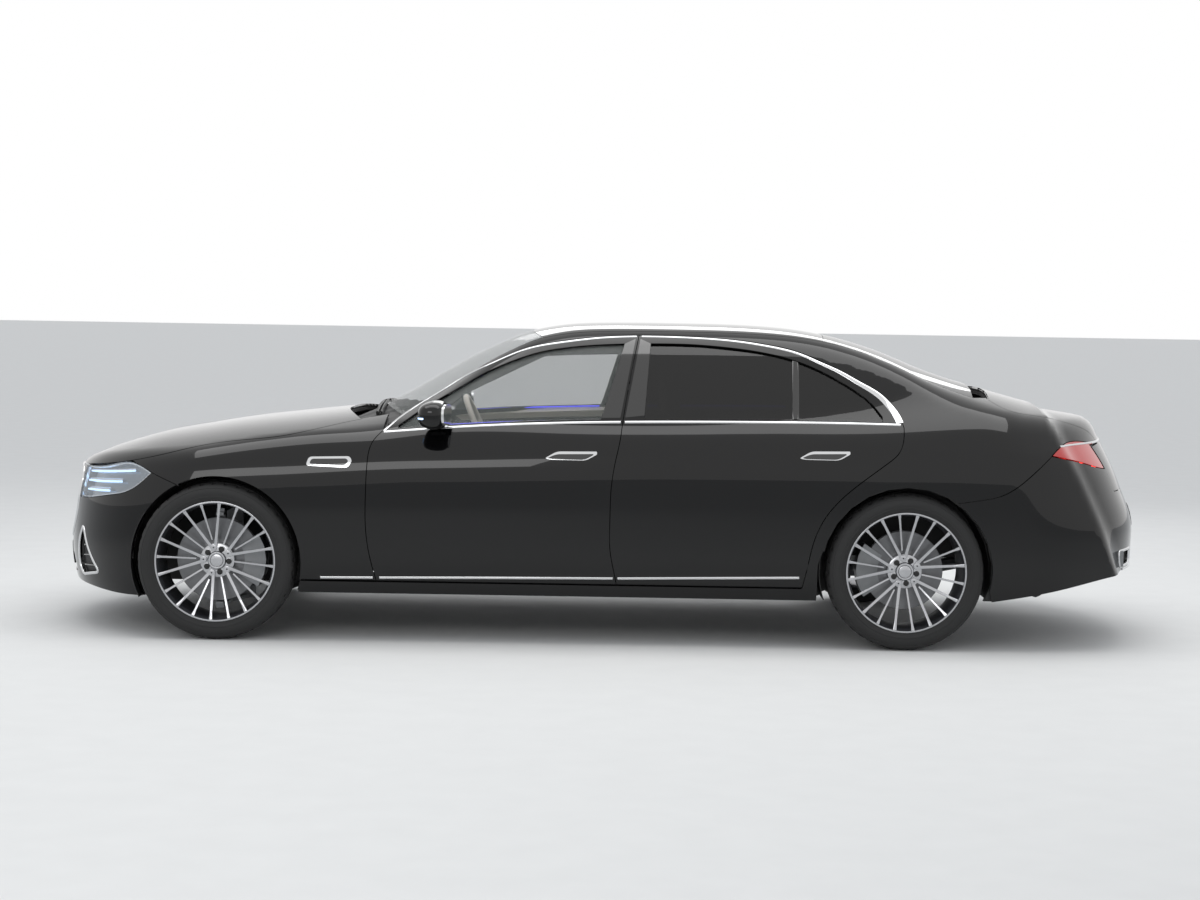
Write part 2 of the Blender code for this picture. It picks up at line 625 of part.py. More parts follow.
def step_between(value, low, high):
    share = np.clip((value - low) / (high - low), 0, 1)
    return share * share * (3 - 2 * share)


def door_depth(place):
    """Return the doors' thickness: full under the belt line, thin in the window frame."""
    along = (place[..., 0] - FRONT_AXLE_X) / WHEELBASE
    above = place[..., 2] / HEIGHT - belt_at(along)
    return DOOR_WALL + (DOOR_FRAME_WALL - DOOR_WALL) * step_between(above, -SOFT_SHARE, SOFT_SHARE)


def pocket_depth(place):
    return door_depth(place) + POCKET_CLEARANCE


def frame_depth(place):
    return pocket_depth(place) + PILLAR_WALL


OUTER = skin_object("skin_outer", 0.0)
UNDER_EDGE = skin_object("skin_edge", DOOR_EDGE_WALL)
DOOR_INNER = skin_object("skin_door_inner", door_depth, coarse=True)
POCKET_SKIN = skin_object("skin_pocket", pocket_depth, coarse=True)
FRAME_SKIN = skin_object("skin_frame", frame_depth, coarse=True)
SHEET_SKIN = skin_object("skin_sheet", SHEET)
LID_SKIN = skin_object("skin_lid", LID_WALL, coarse=True)
ROOF_SKIN = skin_object("skin_roof", ROOF_WALL, coarse=True)
BUMPER_SKIN = skin_object("skin_bumper", BUMPER_WALL, coarse=True)
LAMP_SKIN = skin_object("skin_lamp", LAMP_DEPTH)
GLASS_SKIN = skin_object("skin_glass", GLASS_WALL)
PANE_OUT = skin_object("skin_pane_out", SIDE_GLASS_DEPTH)
PANE_IN = skin_object("skin_pane_in", SIDE_GLASS_DEPTH + SIDE_GLASS_WALL)
HALF_GAP = SHUT_GAP / 2
HALF_SEAT = SEAT / 2


def side_prism(name, outline, low=SIDE_OUT, high=SIDE_IN):
    return flat_prism(name, outline, 1, low, high)


def whole_prism(name, outline):
    return flat_prism(name, outline, 1, SIDE_OUT, -SIDE_OUT)


def top_prism(name, outline):
    return flat_prism(name, outline, 2, UNDER, OVER)


def symmetric(shares):
    """Return a curve seen from above, from the right side's end to the left side's."""
    left = top_points(shares, -1)
    right = top_points(shares[:0:-1], 1)
    return right + left


# Outlines shared by neighbours
FRONT_DOOR_OUTLINE = (side_points(FRONT_DOOR_LEAD_SHARES) + side_points(FRONT_DOOR_TOP_SHARES[1:])
                      + side_points(DOOR_SPLIT_SHARES[1:]))
REAR_DOOR_OUTLINE = (side_points(DOOR_SPLIT_SHARES[::-1]) + side_points(REAR_DOOR_TOP_SHARES[1:])
                     + side_points(REAR_DOOR_TRAIL_SHARES[1:]))


def sill_points(start, end, count=5):
    """Return places along the window sill, a little over the belt line."""
    return [(share, float(belt_at(share)) + WINDOW_SILL_RISE_SHARE) for share in np.linspace(start, end, count)]


FRONT_WINDOW_OUTLINE = (side_points(FRONT_WINDOW_TOP_SHARES) + side_points(FRONT_WINDOW_BACK_SHARES[1:])
                        + side_points(sill_points(0.5545, 0.26)[1:-1]))
REAR_WINDOW_OUTLINE = (side_points(REAR_WINDOW_FRONT_SHARES) + side_points(REAR_WINDOW_TOP_SHARES[1:])
                       + side_points(sill_points(0.965, 0.6185)[1:-1]))
CABIN_TOP_OUTLINE = (symmetric(SCREEN_BASE_SHARES) + top_points(GLASS_EDGE_SHARES[1:], -1)
                     + top_points(BOOT_FRONT_SHARES[3:1:-1], -1)
                     + top_points(BOOT_FRONT_SHARES[:4], 1) + top_points(GLASS_EDGE_SHARES[:0:-1], 1))
SCREEN_SIDE_SHARES = [pair for pair in GLASS_EDGE_SHARES if pair[0] < SCREEN_TOP_SHARES[-1][0]]
ROOF_SIDE_SHARES = [pair for pair in GLASS_EDGE_SHARES
                    if SCREEN_TOP_SHARES[-1][0] < pair[0] < BACKLIGHT_TOP_SHARES[-1][0]]
BACKLIGHT_SIDE_SHARES = [pair for pair in GLASS_EDGE_SHARES if pair[0] > BACKLIGHT_TOP_SHARES[-1][0]]


def band_between(front, back, sides):
    """Return an outline seen from above: between two curves across the car and along its sides."""
    return (symmetric(front) + top_points(sides, -1) + symmetric(back)[::-1] + top_points(sides[::-1], 1))


STRIP_OUTLINE = (symmetric([(x - 0.016, y) for x, y in BACKLIGHT_BASE_SHARES])
                 + symmetric(BOOT_FRONT_SHARES[:-1])[::-1])
SHELF_Z = 0.628 * HEIGHT
SCREEN_OUTLINE = band_between(SCREEN_BASE_SHARES, SCREEN_TOP_SHARES, SCREEN_SIDE_SHARES[1:])
ROOF_OUTLINE = band_between(SCREEN_TOP_SHARES, BACKLIGHT_TOP_SHARES, ROOF_SIDE_SHARES)
BACKLIGHT_OUTLINE = band_between(BACKLIGHT_TOP_SHARES, BACKLIGHT_BASE_SHARES, BACKLIGHT_SIDE_SHARES[:-1])

AXLE_Z = TYRE_RADIUS
FRONT_ARCH = rod("front_arch", ARCH_RADIUS, (FRONT_AXLE_X, SIDE_OUT, AXLE_Z),
                 (FRONT_AXLE_X, -HALF_WIDTH + ARCH_DEPTH, AXLE_Z), segments=ARCH_SEGMENTS)
REAR_ARCH = rod("rear_arch", ARCH_RADIUS, (REAR_AXLE_X, SIDE_OUT, AXLE_Z),
                (REAR_AXLE_X, -HALF_WIDTH + ARCH_DEPTH, AXLE_Z), segments=ARCH_SEGMENTS)


# Doors, their glass and mirrors

def door_hinge(lead_share):
    """Return a left door's hinge axis: a place in plan inside the skin, behind the leading edge."""
    x = at_x(lead_share) + HINGE_BACK
    return x, side_y(x, 0.545 * HEIGHT) + HINGE_DEPTH


FRONT_HINGE = door_hinge(0.217)
REAR_HINGE = door_hinge(0.570)
HINGE_HEIGHT_SHARES = (0.305, 0.505)
NOTCH_LOW_SHARE = 0.625
NOTCH_HIGH_SHARE = 0.685


def hinge_leaf(name, hinge, low_z, towards_x, towards_y):
    """Return a pin's barrel with a leaf that reaches back or inwards from it."""
    x, y = hinge
    leaf = rod(name, HINGE_PIN_RADIUS, (x, y, low_z), (x, y, low_z + HINGE_LEAF_HEIGHT))
    half = HINGE_LEAF_WALL / 2
    if towards_x:
        arm = block(name + "_arm", (x, y - half + HINGE_PIN_RADIUS - half, low_z + SEAT),
                    (x + towards_x, y + HINGE_PIN_RADIUS - SEAT, low_z + HINGE_LEAF_HEIGHT - SEAT))
    else:
        arm = block(name + "_arm", (x - half, y, low_z + SEAT),
                    (x + half, y + towards_y, low_z + HINGE_LEAF_HEIGHT - SEAT))
        foot_y = y + DOOR_WALL + POCKET_CLEARANCE - HINGE_DEPTH + half
        join_with(arm, block(name + "_foot", (x - HINGE_BACK / 2, foot_y, low_z + 2 * SEAT),
                             (x + half - SEAT, y + towards_y - SEAT, low_z + HINGE_LEAF_HEIGHT - 2 * SEAT)))
    return join_with(leaf, arm)


def make_door(name, outline, window, hinge, frame_back_x):
    """Return a left door: a thin flange round a thick inner box, its window cut out."""
    shut = grown_outline(outline, -HALF_GAP)
    door = copy_of(OUTER, name + "_work")
    keep_in(door, side_prism(name + "_outline", shut))
    cut_by(door, DOOR_INNER)
    inner = side_prism(name + "_inner", grown_outline(shut, -DOOR_EDGE_INSET))
    cut_by(inner, block(name + "_hinge_room", (hinge[0] - 1.5 * HINGE_BACK, SIDE_OUT - CUT_OVERRUN, UNDER),
                        (hinge[0] + HINGE_BACK * 0.4, SIDE_IN + CUT_OVERRUN, HEIGHT * 0.655)))
    frame = side_prism(name + "_frame", grown_outline(shut, -DOOR_EDGE_INSET * 0.42))
    keep_in(frame, block(name + "_frame_room", (at_x(-0.2), SIDE_OUT - CUT_OVERRUN, HEIGHT * 0.657),
                         (frame_back_x, SIDE_IN + CUT_OVERRUN, OVER)))
    join_with(inner, frame)
    rebate = copy_of(UNDER_EDGE, name + "_rebate")
    keep_in(rebate, side_prism(name + "_around", grown_outline(outline, CUT_OVERRUN)))
    cut_by(rebate, inner)
    cut_by(door, rebate)
    frame_in = RAIL_OUTSIDE + HALF_GAP
    hole = side_prism(name + "_window", window)
    cut_by(hole, top_prism(name + "_head", grown_outline(CABIN_TOP_OUTLINE, frame_in + DOOR_HEAD)))
    cut_by(door, hole, top_prism(name + "_rail", grown_outline(CABIN_TOP_OUTLINE, frame_in)))
    if hinge == FRONT_HINGE:
        cut_by(door, block(name + "_notch", (hinge[0], hinge[1] + DOOR_NOTCH_DEPTH, NOTCH_LOW_SHARE * HEIGHT),
                           (hinge[0] + DOOR_NOTCH_LENGTH, SIDE_IN + CUT_OVERRUN, NOTCH_HIGH_SHARE * HEIGHT)))
    for share in HINGE_HEIGHT_SHARES:
        join_with(door, hinge_leaf(name + "_leaf", hinge, share * HEIGHT + SEAT, HINGE_BACK * 0.55, 0))
    made = piece(door, name, PAINT, (hinge[0], hinge[1], share * HEIGHT))
    pane = copy_of(PANE_OUT, name + "_pane")
    keep_in(pane, side_prism(name + "_pane_outline", grown_outline(window, -SEAT)))
    cut_by(pane, PANE_IN, top_prism(name + "_pane_head", grown_outline(CABIN_TOP_OUTLINE,
                                                                       frame_in + DOOR_HEAD + SEAT)))
    return made, piece(pane, name.replace("door", "glass"), GLASS, (hinge[0], hinge[1], share * HEIGHT))


def make_mirror():
    """Return the left door mirror: a rounded housing on a short arm that stands on the door."""
    x, z = at_x(0.318), 0.707 * HEIGHT
    y = -0.965
    bm = bmesh.new()
    bmesh.ops.create_uvsphere(bm, u_segments=12, v_segments=8, radius=1.0)
    for v in bm.verts:
        squared = [math.copysign(abs(c) ** 0.62, c) for c in v.co]
        v.co = Vector(squared)
    bmesh.ops.scale(bm, vec=(MIRROR_LENGTH / 2, MIRROR_WIDTH / 2, MIRROR_HEIGHT / 2), verts=bm.verts)
    bmesh.ops.translate(bm, vec=(x, y, z), verts=bm.verts)
    bmesh.ops.triangulate(bm, faces=bm.faces)
    housing = add_object("mirror_housing", mesh_from(bm, "mirror_housing"), CUTTERS)
    cut_by(housing, block("mirror_face", (x + MIRROR_LENGTH * 0.36, y - MIRROR_WIDTH, z - MIRROR_HEIGHT),
                          (x + MIRROR_LENGTH, y + MIRROR_WIDTH, z + MIRROR_HEIGHT)))
    foot_z = 0.6525 * HEIGHT
    arm = block("mirror_arm", (x - MIRROR_ARM_LENGTH / 2, y, foot_z),
                (x + MIRROR_ARM_LENGTH / 2, y + MIRROR_ARM_REACH, foot_z + MIRROR_ARM_WALL))
    post = block("mirror_post", (x - MIRROR_ARM_LENGTH / 2, y, foot_z),
                 (x + MIRROR_ARM_LENGTH / 2, y + MIRROR_ARM_LENGTH * 0.6, z))
    join_with(housing, post, arm)
    cut_clear(housing, front_door, (0, -2 * SEAT, 0))
    return cut_clear(housing, front_glass, (0, -2 * SEAT, 0))


MIRROR_LENGTH = 0.165
MIRROR_WIDTH = 0.225
MIRROR_HEIGHT = 0.150
MIRROR_ARM_LENGTH = 0.075
MIRROR_ARM_WALL = 0.030
MIRROR_ARM_REACH = 0.155

front_door, front_glass = make_door("door_front_L", FRONT_DOOR_OUTLINE, FRONT_WINDOW_OUTLINE, FRONT_HINGE,
                                    at_x(0.575))
rear_door, rear_glass = make_door("door_rear_L", REAR_DOOR_OUTLINE, REAR_WINDOW_OUTLINE, REAR_HINGE,
                                  at_x(1.1))
mirror = piece(make_mirror(), "mirror_L", PAINT)
for left in (front_door, front_glass, rear_door, rear_glass, mirror):
    mirrored(left, left.name[:-1] + "R")


# Body sides

FAR_FRONT = at_x(NOSE_SHARES[3][1]) - CUT_OVERRUN
FAR_BACK = at_x(TAIL_SHARES[3][1]) + CUT_OVERRUN


def boot_face_block(name, amount):
    """Return the room of the boot lid's upright face, grown by an amount."""
    half = BOOT_FACE_HALF_WIDTH_SHARE * HALF_WIDTH + amount
    return block(name, (at_x(1.27), -half, BOOT_FACE_LOW_SHARE * HEIGHT - amount),
                 (FAR_BACK, half, 0.645 * HEIGHT))


def boot_room(name, amount):
    """Return the room of the whole boot lid, grown by an amount."""
    seam = grown_line(side_points(BOOT_SEAM_SHARES), amount * -1)
    lid = whole_prism(name, seam + side_points([(1.42, 0.637), (1.42, 1.0), (1.127, 1.0)]))
    front = [(x - amount, y) for x, y in symmetric(BOOT_FRONT_SHARES)]
    wide = HALF_WIDTH + CUT_OVERRUN
    keep_in(lid, top_prism(name + "_front", front + [(front[-1][0], -wide), (FAR_BACK + CUT_OVERRUN, -wide),
                                                     (FAR_BACK + CUT_OVERRUN, wide), (front[0][0], wide)]))
    return join_with(lid, boot_face_block(name + "_face", amount))


def make_body_side():
    """Return the left body side: sill, pillars, roof rail and rear quarter in one frame."""
    outline = (side_points([(SILL_FRONT_SHARE, SILL_LOW_SHARE), (SILL_FRONT_SHARE, SILL_TOP_SHARE),
                            (FRONT_DOOR_LEAD_SHARES[0][0], SILL_TOP_SHARE)])
               + side_points([(pair[0], pair[1]) for pair in FRONT_DOOR_LEAD_SHARES if pair[1] > SILL_TOP_SHARE])
               + side_points([(0.2385, 1.06), (1.127, 1.06)])
               + grown_line(side_points(BOOT_SEAM_SHARES), -HALF_GAP)
               + grown_line(side_points(LAMP_TOP_SHARES[2::-1]), -HALF_SEAT)[:-1]
               + grown_line(side_points(QUARTER_SEAM_SHARES), -HALF_SEAT)
               + side_points([(1.0, 0.4), (SILL_BACK_SHARE, 0.3), (SILL_BACK_SHARE, SILL_LOW_SHARE)]))
    body = copy_of(OUTER, "body_side_work")
    keep_in(body, side_prism("body_side_outline", outline))
    cut_by(body, FRAME_SKIN)
    for door_name, door_outline in (("front", FRONT_DOOR_OUTLINE), ("rear", REAR_DOOR_OUTLINE)):
        pocket = side_prism("pocket_" + door_name, grown_outline(door_outline, HALF_GAP))
        cut_by(pocket, POCKET_SKIN, top_prism("pocket_rail", grown_outline(CABIN_TOP_OUTLINE,
                                                                           RAIL_OUTSIDE - HALF_GAP)))
        cut_by(body, pocket)
        opening = grown_outline(door_outline, -APERTURE_INSET)
        cut_by(body, side_prism("opening_" + door_name, opening))
    cut_by(body, REAR_ARCH,
           rod("liner_room", ARCH_RADIUS + LINER_WALL + SEAT, (REAR_AXLE_X, -LINER_OUT_Y, AXLE_Z),
               (REAR_AXLE_X, SIDE_IN, AXLE_Z), segments=ARCH_SEGMENTS),
           block("floor_room", (at_x(0.1), -CABIN_FLOOR_HALF_WIDTH - SEAT, UNDER),
                 (at_x(0.86), 0, FLOOR_HEIGHT + RISER_HEIGHT + SEAT)),
           block("dash_side_room", (at_x(0.2), -DASH_HALF_WIDTH - SEAT, DASH_LOW - SEAT),
                 (at_x(0.33), 0, 0.65 * HEIGHT)),
           block("cowl_side_room", (at_x(0.2), -COWL_HALF_WIDTH - SEAT, UNDER), (at_x(0.30), 0, OVER)),
           top_prism("strip_side_room", grown_outline(STRIP_OUTLINE, SEAT)),
           block("boot_side_room", (at_x(0.86), -BOOT_HALF_WIDTH - LINER_WALL - SEAT, UNDER),
                 (at_x(1.14), 0, SHELF_Z + SEAT)))
    half = BOOT_FACE_HALF_WIDTH_SHARE * HALF_WIDTH + HALF_GAP
    cut_by(body, boot_room("boot_gap", HALF_GAP),
           block("boot_mouth", (at_x(1.13), -half, 0.3 * HEIGHT), (FAR_BACK + CUT_OVERRUN, half, OVER)))
    top = top_prism("cabin_top", grown_outline(CABIN_TOP_OUTLINE, HALF_SEAT))
    cut_by(top, skin_object("rail_under_roof", ROOF_WALL + RAIL_CLEARANCE, coarse=True))
    cut_by(body, top, top_prism("cabin_room", grown_outline(CABIN_TOP_OUTLINE, -RAIL_INSIDE)))
    for hinge in (FRONT_HINGE, REAR_HINGE):
        for share in HINGE_HEIGHT_SHARES:
            low = share * HEIGHT - HINGE_LEAF_HEIGHT
            join_with(body, hinge_leaf("body_leaf", hinge, low, 0, DOOR_WALL + PILLAR_WALL * 0.4))
    return piece(body, "body_side_L", PAINT)


def grown_line(points, amount):
    """Return an open line moved to its left by an amount (to its right where it is negative)."""
    places = np.array(points, float)
    tangents = np.gradient(places, axis=0)
    tangents /= np.linalg.norm(tangents, axis=1, keepdims=True)
    normals = np.stack([-tangents[:, 1], tangents[:, 0]], 1)
    return (places + normals * amount).tolist()


APERTURE_INSET = 0.060
body_side = make_body_side()
mirrored(body_side, "body_side_R")


# Fenders, bonnet, boot lid and bumpers



def make_fender():
    """Return the left front fender, a thin sheet from the bumper's seam to the door."""
    outline = (grown_line(side_points(FENDER_SEAM_SHARES[::-1]), -HALF_SEAT)
               + grown_line(side_points(HEADLAMP_SHARES[3:5]), HALF_SEAT)[::-1][1:]
               + grown_line(side_points(BONNET_SEAM_SHARES[3:-1]), -HALF_GAP)
               + [(at_x(FRONT_DOOR_LEAD_SHARES[-1][0]) - SEAT, BONNET_SEAM_SHARES[-1][1] * HEIGHT)]
               + grown_line(side_points(FRONT_DOOR_LEAD_SHARES[::-1]), -HALF_GAP)[1:]
               + [(at_x(0.2325), SILL_TOP_SHARE * HEIGHT + SEAT),
                  (at_x(SILL_FRONT_SHARE - 0.02), SILL_TOP_SHARE * HEIGHT + SEAT)]
               + side_points([(0.08, 0.3), (-0.04, 0.4)]))
    fender = copy_of(OUTER, "fender_work")
    keep_in(fender, side_prism("fender_outline", outline))
    cut_by(fender, SHEET_SKIN)
    cut_by(fender, FRONT_ARCH)
    cut_by(fender, top_prism("fender_top", grown_outline(COWL_CUT, HALF_SEAT)))
    return piece(fender, "fender_L", PAINT)


COWL_CUT = (symmetric(BONNET_REAR_SHARES[:-1])[::1]
            + top_points([(0.262, 0.735), (0.36, 0.635)], -1) + top_points([(0.36, 0.635), (0.262, 0.735)], 1))

BONNET_HINGE = (at_x(0.2235), 0.690 * HEIGHT)
BOOT_HINGE = (at_x(1.124), 0.775 * HEIGHT)


def make_bonnet():
    seam = grown_line(side_points(BONNET_SEAM_SHARES), HALF_GAP)
    bonnet = copy_of(OUTER, "bonnet_work")
    keep_in(bonnet, whole_prism("bonnet_outline", seam + side_points([(0.24, 1.0), (-0.3, 1.0)])))
    front = [(FAR_FRONT, HALF_WIDTH + CUT_OVERRUN), (FAR_FRONT, -HALF_WIDTH - CUT_OVERRUN)]
    rear = symmetric(BONNET_REAR_SHARES)
    rear = [(x - HALF_GAP, y) for x, y in rear]
    keep_in(bonnet, top_prism("bonnet_back", front + [(rear[-1][0], -HALF_WIDTH - CUT_OVERRUN)] + rear[::-1]
                              + [(rear[0][0], HALF_WIDTH + CUT_OVERRUN)]))
    cut_by(bonnet, LID_SKIN)
    return piece(bonnet, "bonnet", PAINT, (BONNET_HINGE[0], 0.0, BONNET_HINGE[1]))


def make_boot():
    lid = copy_of(OUTER, "boot_work")
    keep_in(lid, boot_room("boot_room", -HALF_GAP))
    cut_by(lid, LID_SKIN)
    return piece(lid, "boot_lid", PAINT, (BOOT_HINGE[0], 0.0, BOOT_HINGE[1]))


def make_tail_lamp():
    outline = (grown_line(side_points(LAMP_TOP_SHARES), -HALF_SEAT)
               + grown_line(side_points(LAMP_LOW_SHARES), -HALF_SEAT)[:-1])
    lamp = copy_of(OUTER, "tail_lamp_work")
    keep_in(lamp, side_prism("tail_lamp_outline", outline, high=-TAIL_LAMP_INNER_SHARE * HALF_WIDTH))
    cut_by(lamp, LAMP_SKIN)
    return piece(lamp, "tail_lamp_L", RED_LAMP)


def make_rear_bumper():
    outline = (grown_line(side_points(QUARTER_SEAM_SHARES[::-1]), -SEAT)[:-1]
               + grown_line(side_points(LAMP_LOW_SHARES[::-1]), -HALF_SEAT)
               + side_points([(1.42, 0.56)]) + side_points(REAR_LOW_SHARES[::-1])
               + side_points([(1.10, 0.153), (1.0, 0.3)]))
    bumper = copy_of(OUTER, "rear_bumper_work")
    keep_in(bumper, whole_prism("rear_bumper_outline", outline))
    cut_by(bumper, BUMPER_SKIN)
    cut_by(bumper, boot_face_block("boot_face_gap", HALF_GAP))
    for side in (-1, 1):
        cut_by(bumper, rod("rear_arch_cut", ARCH_RADIUS, (REAR_AXLE_X, side * HALF_WIDTH * 0.5, AXLE_Z),
                           (REAR_AXLE_X, side * (HALF_WIDTH + CUT_OVERRUN), AXLE_Z), segments=ARCH_SEGMENTS))
        x = at_x(1.345)
        cut_by(bumper, block("tailpipe_cut", (x - 2 * CUT_OVERRUN, side * TAILPIPE_Y - TAILPIPE_WIDTH / 2,
                                              TAILPIPE_Z - TAILPIPE_HEIGHT / 2),
                             (x + 2 * CUT_OVERRUN, side * TAILPIPE_Y + TAILPIPE_WIDTH / 2,
                              TAILPIPE_Z + TAILPIPE_HEIGHT / 2)))
    return piece(bumper, "rear_bumper", PAINT)


TAILPIPE_Y = 0.560
TAILPIPE_Z = 0.415
TAILPIPE_WIDTH = 0.190
TAILPIPE_HEIGHT = 0.075


def grille_outline(amount):
    """Return the grille's outline across the car: wide over the middle, narrower at its foot."""
    half, low_half = GRILLE_HALF_WIDTH_SHARE * HALF_WIDTH, GRILLE_LOW_HALF_WIDTH_SHARE * HALF_WIDTH
    top, low = GRILLE_TOP_SHARE * HEIGHT, GRILLE_LOW_SHARE * HEIGHT
    middle = low + (top - low) * 0.45
    right = [(low_half * 0.82, low), (low_half, low + (middle - low) * 0.3), (half, middle),
             (half * 0.985, top - (top - middle) * 0.28), (half * 0.88, top)]
    return grown_outline(right + [(-y, z) for y, z in right[::-1]], amount)


def make_headlamp():
    outline = (grown_line(side_points(HEADLAMP_SHARES), -HALF_SEAT))
    lamp = copy_of(OUTER, "headlamp_work")
    keep_in(lamp, side_prism("headlamp_outline", outline, high=-LAMP_INNER_SHARE * HALF_WIDTH))
    cut_by(lamp, LAMP_SKIN)
    cut_by(lamp, flat_prism("lamp_grille", grille_outline(SEAT), 0, FAR_FRONT, at_x(0)))
    return piece(lamp, "headlamp_L", LAMP)


def make_front_bumper():
    """Return the bumper skin: round the lamps and grille, with its three lower intakes cut."""
    outline = (grown_line(side_points([(-0.3, BONNET_SEAM_SHARES[0][1])] + list(BONNET_SEAM_SHARES[1:3])),
                          -HALF_GAP)
               + grown_line(side_points(FENDER_SEAM_SHARES), -HALF_SEAT)
               + side_points([(-0.02, 0.40), (-0.02, 0.25), (-0.09, 0.20)])
               + side_points(FRONT_LOW_SHARES[::-1]))
    bumper = copy_of(OUTER, "front_bumper_work")
    keep_in(bumper, whole_prism("front_bumper_outline", outline))
    cut_by(bumper, BUMPER_SKIN)
    for side in (-1, 1):
        lamp_outline = grown_line(side_points(HEADLAMP_SHARES), HALF_SEAT)
        raised = [(x, z + ROOM_OVER) for x, z in lamp_outline[:4]]
        room = flat_prism("lamp_room", raised + lamp_outline[4:], 1, side * LAMP_INNER_SHARE * HALF_WIDTH,
                          side * (HALF_WIDTH + CUT_OVERRUN))
        cut_by(bumper, room)
        cut_by(bumper, rod("front_arch_cut", ARCH_RADIUS, (FRONT_AXLE_X, side * HALF_WIDTH * 0.45, AXLE_Z),
                           (FRONT_AXLE_X, side * (HALF_WIDTH + CUT_OVERRUN), AXLE_Z), segments=ARCH_SEGMENTS))
        cut_by(bumper, rod("front_liner_cut", ARCH_RADIUS + LINER_WALL + SEAT, (FRONT_AXLE_X, 0, AXLE_Z),
                           (FRONT_AXLE_X, side * LINER_OUT_Y, AXLE_Z), segments=ARCH_SEGMENTS))
        intake = [(side * y * HALF_WIDTH, z * HEIGHT) for y, z in SIDE_INTAKE_SHARES]
        cut_by(bumper, flat_prism("side_intake", intake, 0, FAR_FRONT, at_x(-0.15)))
    hole = grille_outline(SEAT)
    top = max(z for _, z in hole)
    hole = [(y, z + ROOM_OVER if z > top - SEAT else z) for y, z in hole]
    cut_by(bumper, flat_prism("grille_room", hole, 0, FAR_FRONT, at_x(-0.1)))
    intake = [(y * HALF_WIDTH, z * HEIGHT) for y, z in MIDDLE_INTAKE_SHARES]
    cut_by(bumper, flat_prism("middle_intake", intake + [(-y, z) for y, z in intake[::-1]], 0,
                              FAR_FRONT, at_x(-0.15)))
    return piece(bumper, "front_bumper", PAINT)


ROOM_OVER = 0.050
SIDE_INTAKE_SHARES = ((0.565, 0.165), (0.74, 0.185), (0.70, 0.24), (0.64, 0.31), (0.615, 0.325),
                      (0.575, 0.28), (0.545, 0.20))
MIDDLE_INTAKE_SHARES = ((0.44, 0.165), (0.46, 0.185), (0.42, 0.225))


def make_grille():
    """Return the grille: a frame that follows the nose, with upright and level slats in it."""
    frame = copy_of(OUTER, "grille_work")
    keep_in(frame, flat_prism("grille_rim", grille_outline(-SEAT), 0, FAR_FRONT, at_x(-0.1)))
    cut_by(frame, BUMPER_SKIN)
    inside = grille_outline(-GRILLE_RIM)
    cut_by(frame, flat_prism("grille_hole", inside, 0, FAR_FRONT, at_x(0)))
    low, top = min(z for _, z in inside), max(z for _, z in inside)
    slats = skin_object("slat_front", GRILLE_RECESS, coarse=True)
    keep_in(slats, flat_prism("slat_room", grille_outline(-GRILLE_RIM / 2), 0, FAR_FRONT, at_x(-0.1)))
    cut_by(slats, BUMPER_SKIN)
    pitch = (top - low) / GRILLE_SLATS
    half = GRILLE_HALF_WIDTH_SHARE * HALF_WIDTH
    for i in range(GRILLE_SLATS):
        gap_low = low + i * pitch + SLAT_WALL / 2
        for side in (-1, 1):
            near, far = sorted((side * SLAT_WALL / 2, side * half))
            cut_by(slats, block("slat_gap", (FAR_FRONT - CUT_OVERRUN, near, gap_low),
                                (at_x(0), far, gap_low + pitch - SLAT_WALL)))
    join_with(frame, slats)
    return piece(frame, "grille", CHROME)


GRILLE_RIM = 0.022
GRILLE_RECESS = 0.016
GRILLE_SLATS = 5
SLAT_WALL = 0.016

fender = make_fender()
mirrored(fender, "fender_R")
bonnet = make_bonnet()
boot = make_boot()
tail_lamp = make_tail_lamp()
mirrored(tail_lamp, "tail_lamp_R")
rear_bumper = make_rear_bumper()
headlamp = make_headlamp()
mirrored(headlamp, "headlamp_R")
front_bumper = make_front_bumper()
grille = make_grille()


# Roof and fixed glass

def make_top_panel(name, outline, material, inner):
    panel = copy_of(OUTER, name + "_work")
    keep_in(panel, top_prism(name + "_outline", grown_outline(outline, -HALF_SEAT)))
    keep_in(panel, block(name + "_above", (at_x(0), SIDE_OUT, 0.66 * HEIGHT), (at_x(1.3), -SIDE_OUT, OVER)))
    cut_by(panel, inner)
    return piece(panel, name, material)


roof = make_top_panel("roof_panel", ROOF_OUTLINE, PAINT, ROOF_SKIN)
windscreen = make_top_panel("windscreen", SCREEN_OUTLINE, GLASS, GLASS_SKIN)
rear_window = make_top_panel("rear_window", BACKLIGHT_OUTLINE, GLASS, GLASS_SKIN)


# Wheels

def turned(name, profile, segments, centre):
    """Return a closed solid of revolution about the wheel's axis from (radius, offset) points."""
    bm = bmesh.new()
    ring = [bm.verts.new((radius, offset, 0)) for radius, offset in profile]
    edges = [bm.edges.new((a, b)) for a, b in zip(ring, ring[1:] + ring[:1])]
    bmesh.ops.spin(bm, geom=ring + edges, cent=(0, 0, 0), axis=(0, 1, 0), angle=2 * math.pi,
                   steps=segments, use_merge=True, use_duplicate=False)
    bmesh.ops.remove_doubles(bm, verts=bm.verts, dist=SEAT / 10)
    bmesh.ops.translate(bm, vec=centre, verts=bm.verts)
    return add_object(name, mesh_from(bm, name), CUTTERS)


def make_tyre(centre):
    """Return a tyre: a flat tread, rounded shoulders and sidewalls that bulge over the rim."""
    half, bead = TYRE_WIDTH / 2, RIM_RADIUS + SEAT
    wall = TYRE_RADIUS - bead
    profile = [(TYRE_RADIUS, half * 0.64), (TYRE_RADIUS - 0.14 * wall, half * 0.88),
               (bead + 0.48 * wall, half), (bead, half * 0.88)]
    profile += [(radius, -offset) for radius, offset in profile[::-1]]
    return turned("tyre_work", profile, WHEEL_SEGMENTS, centre)


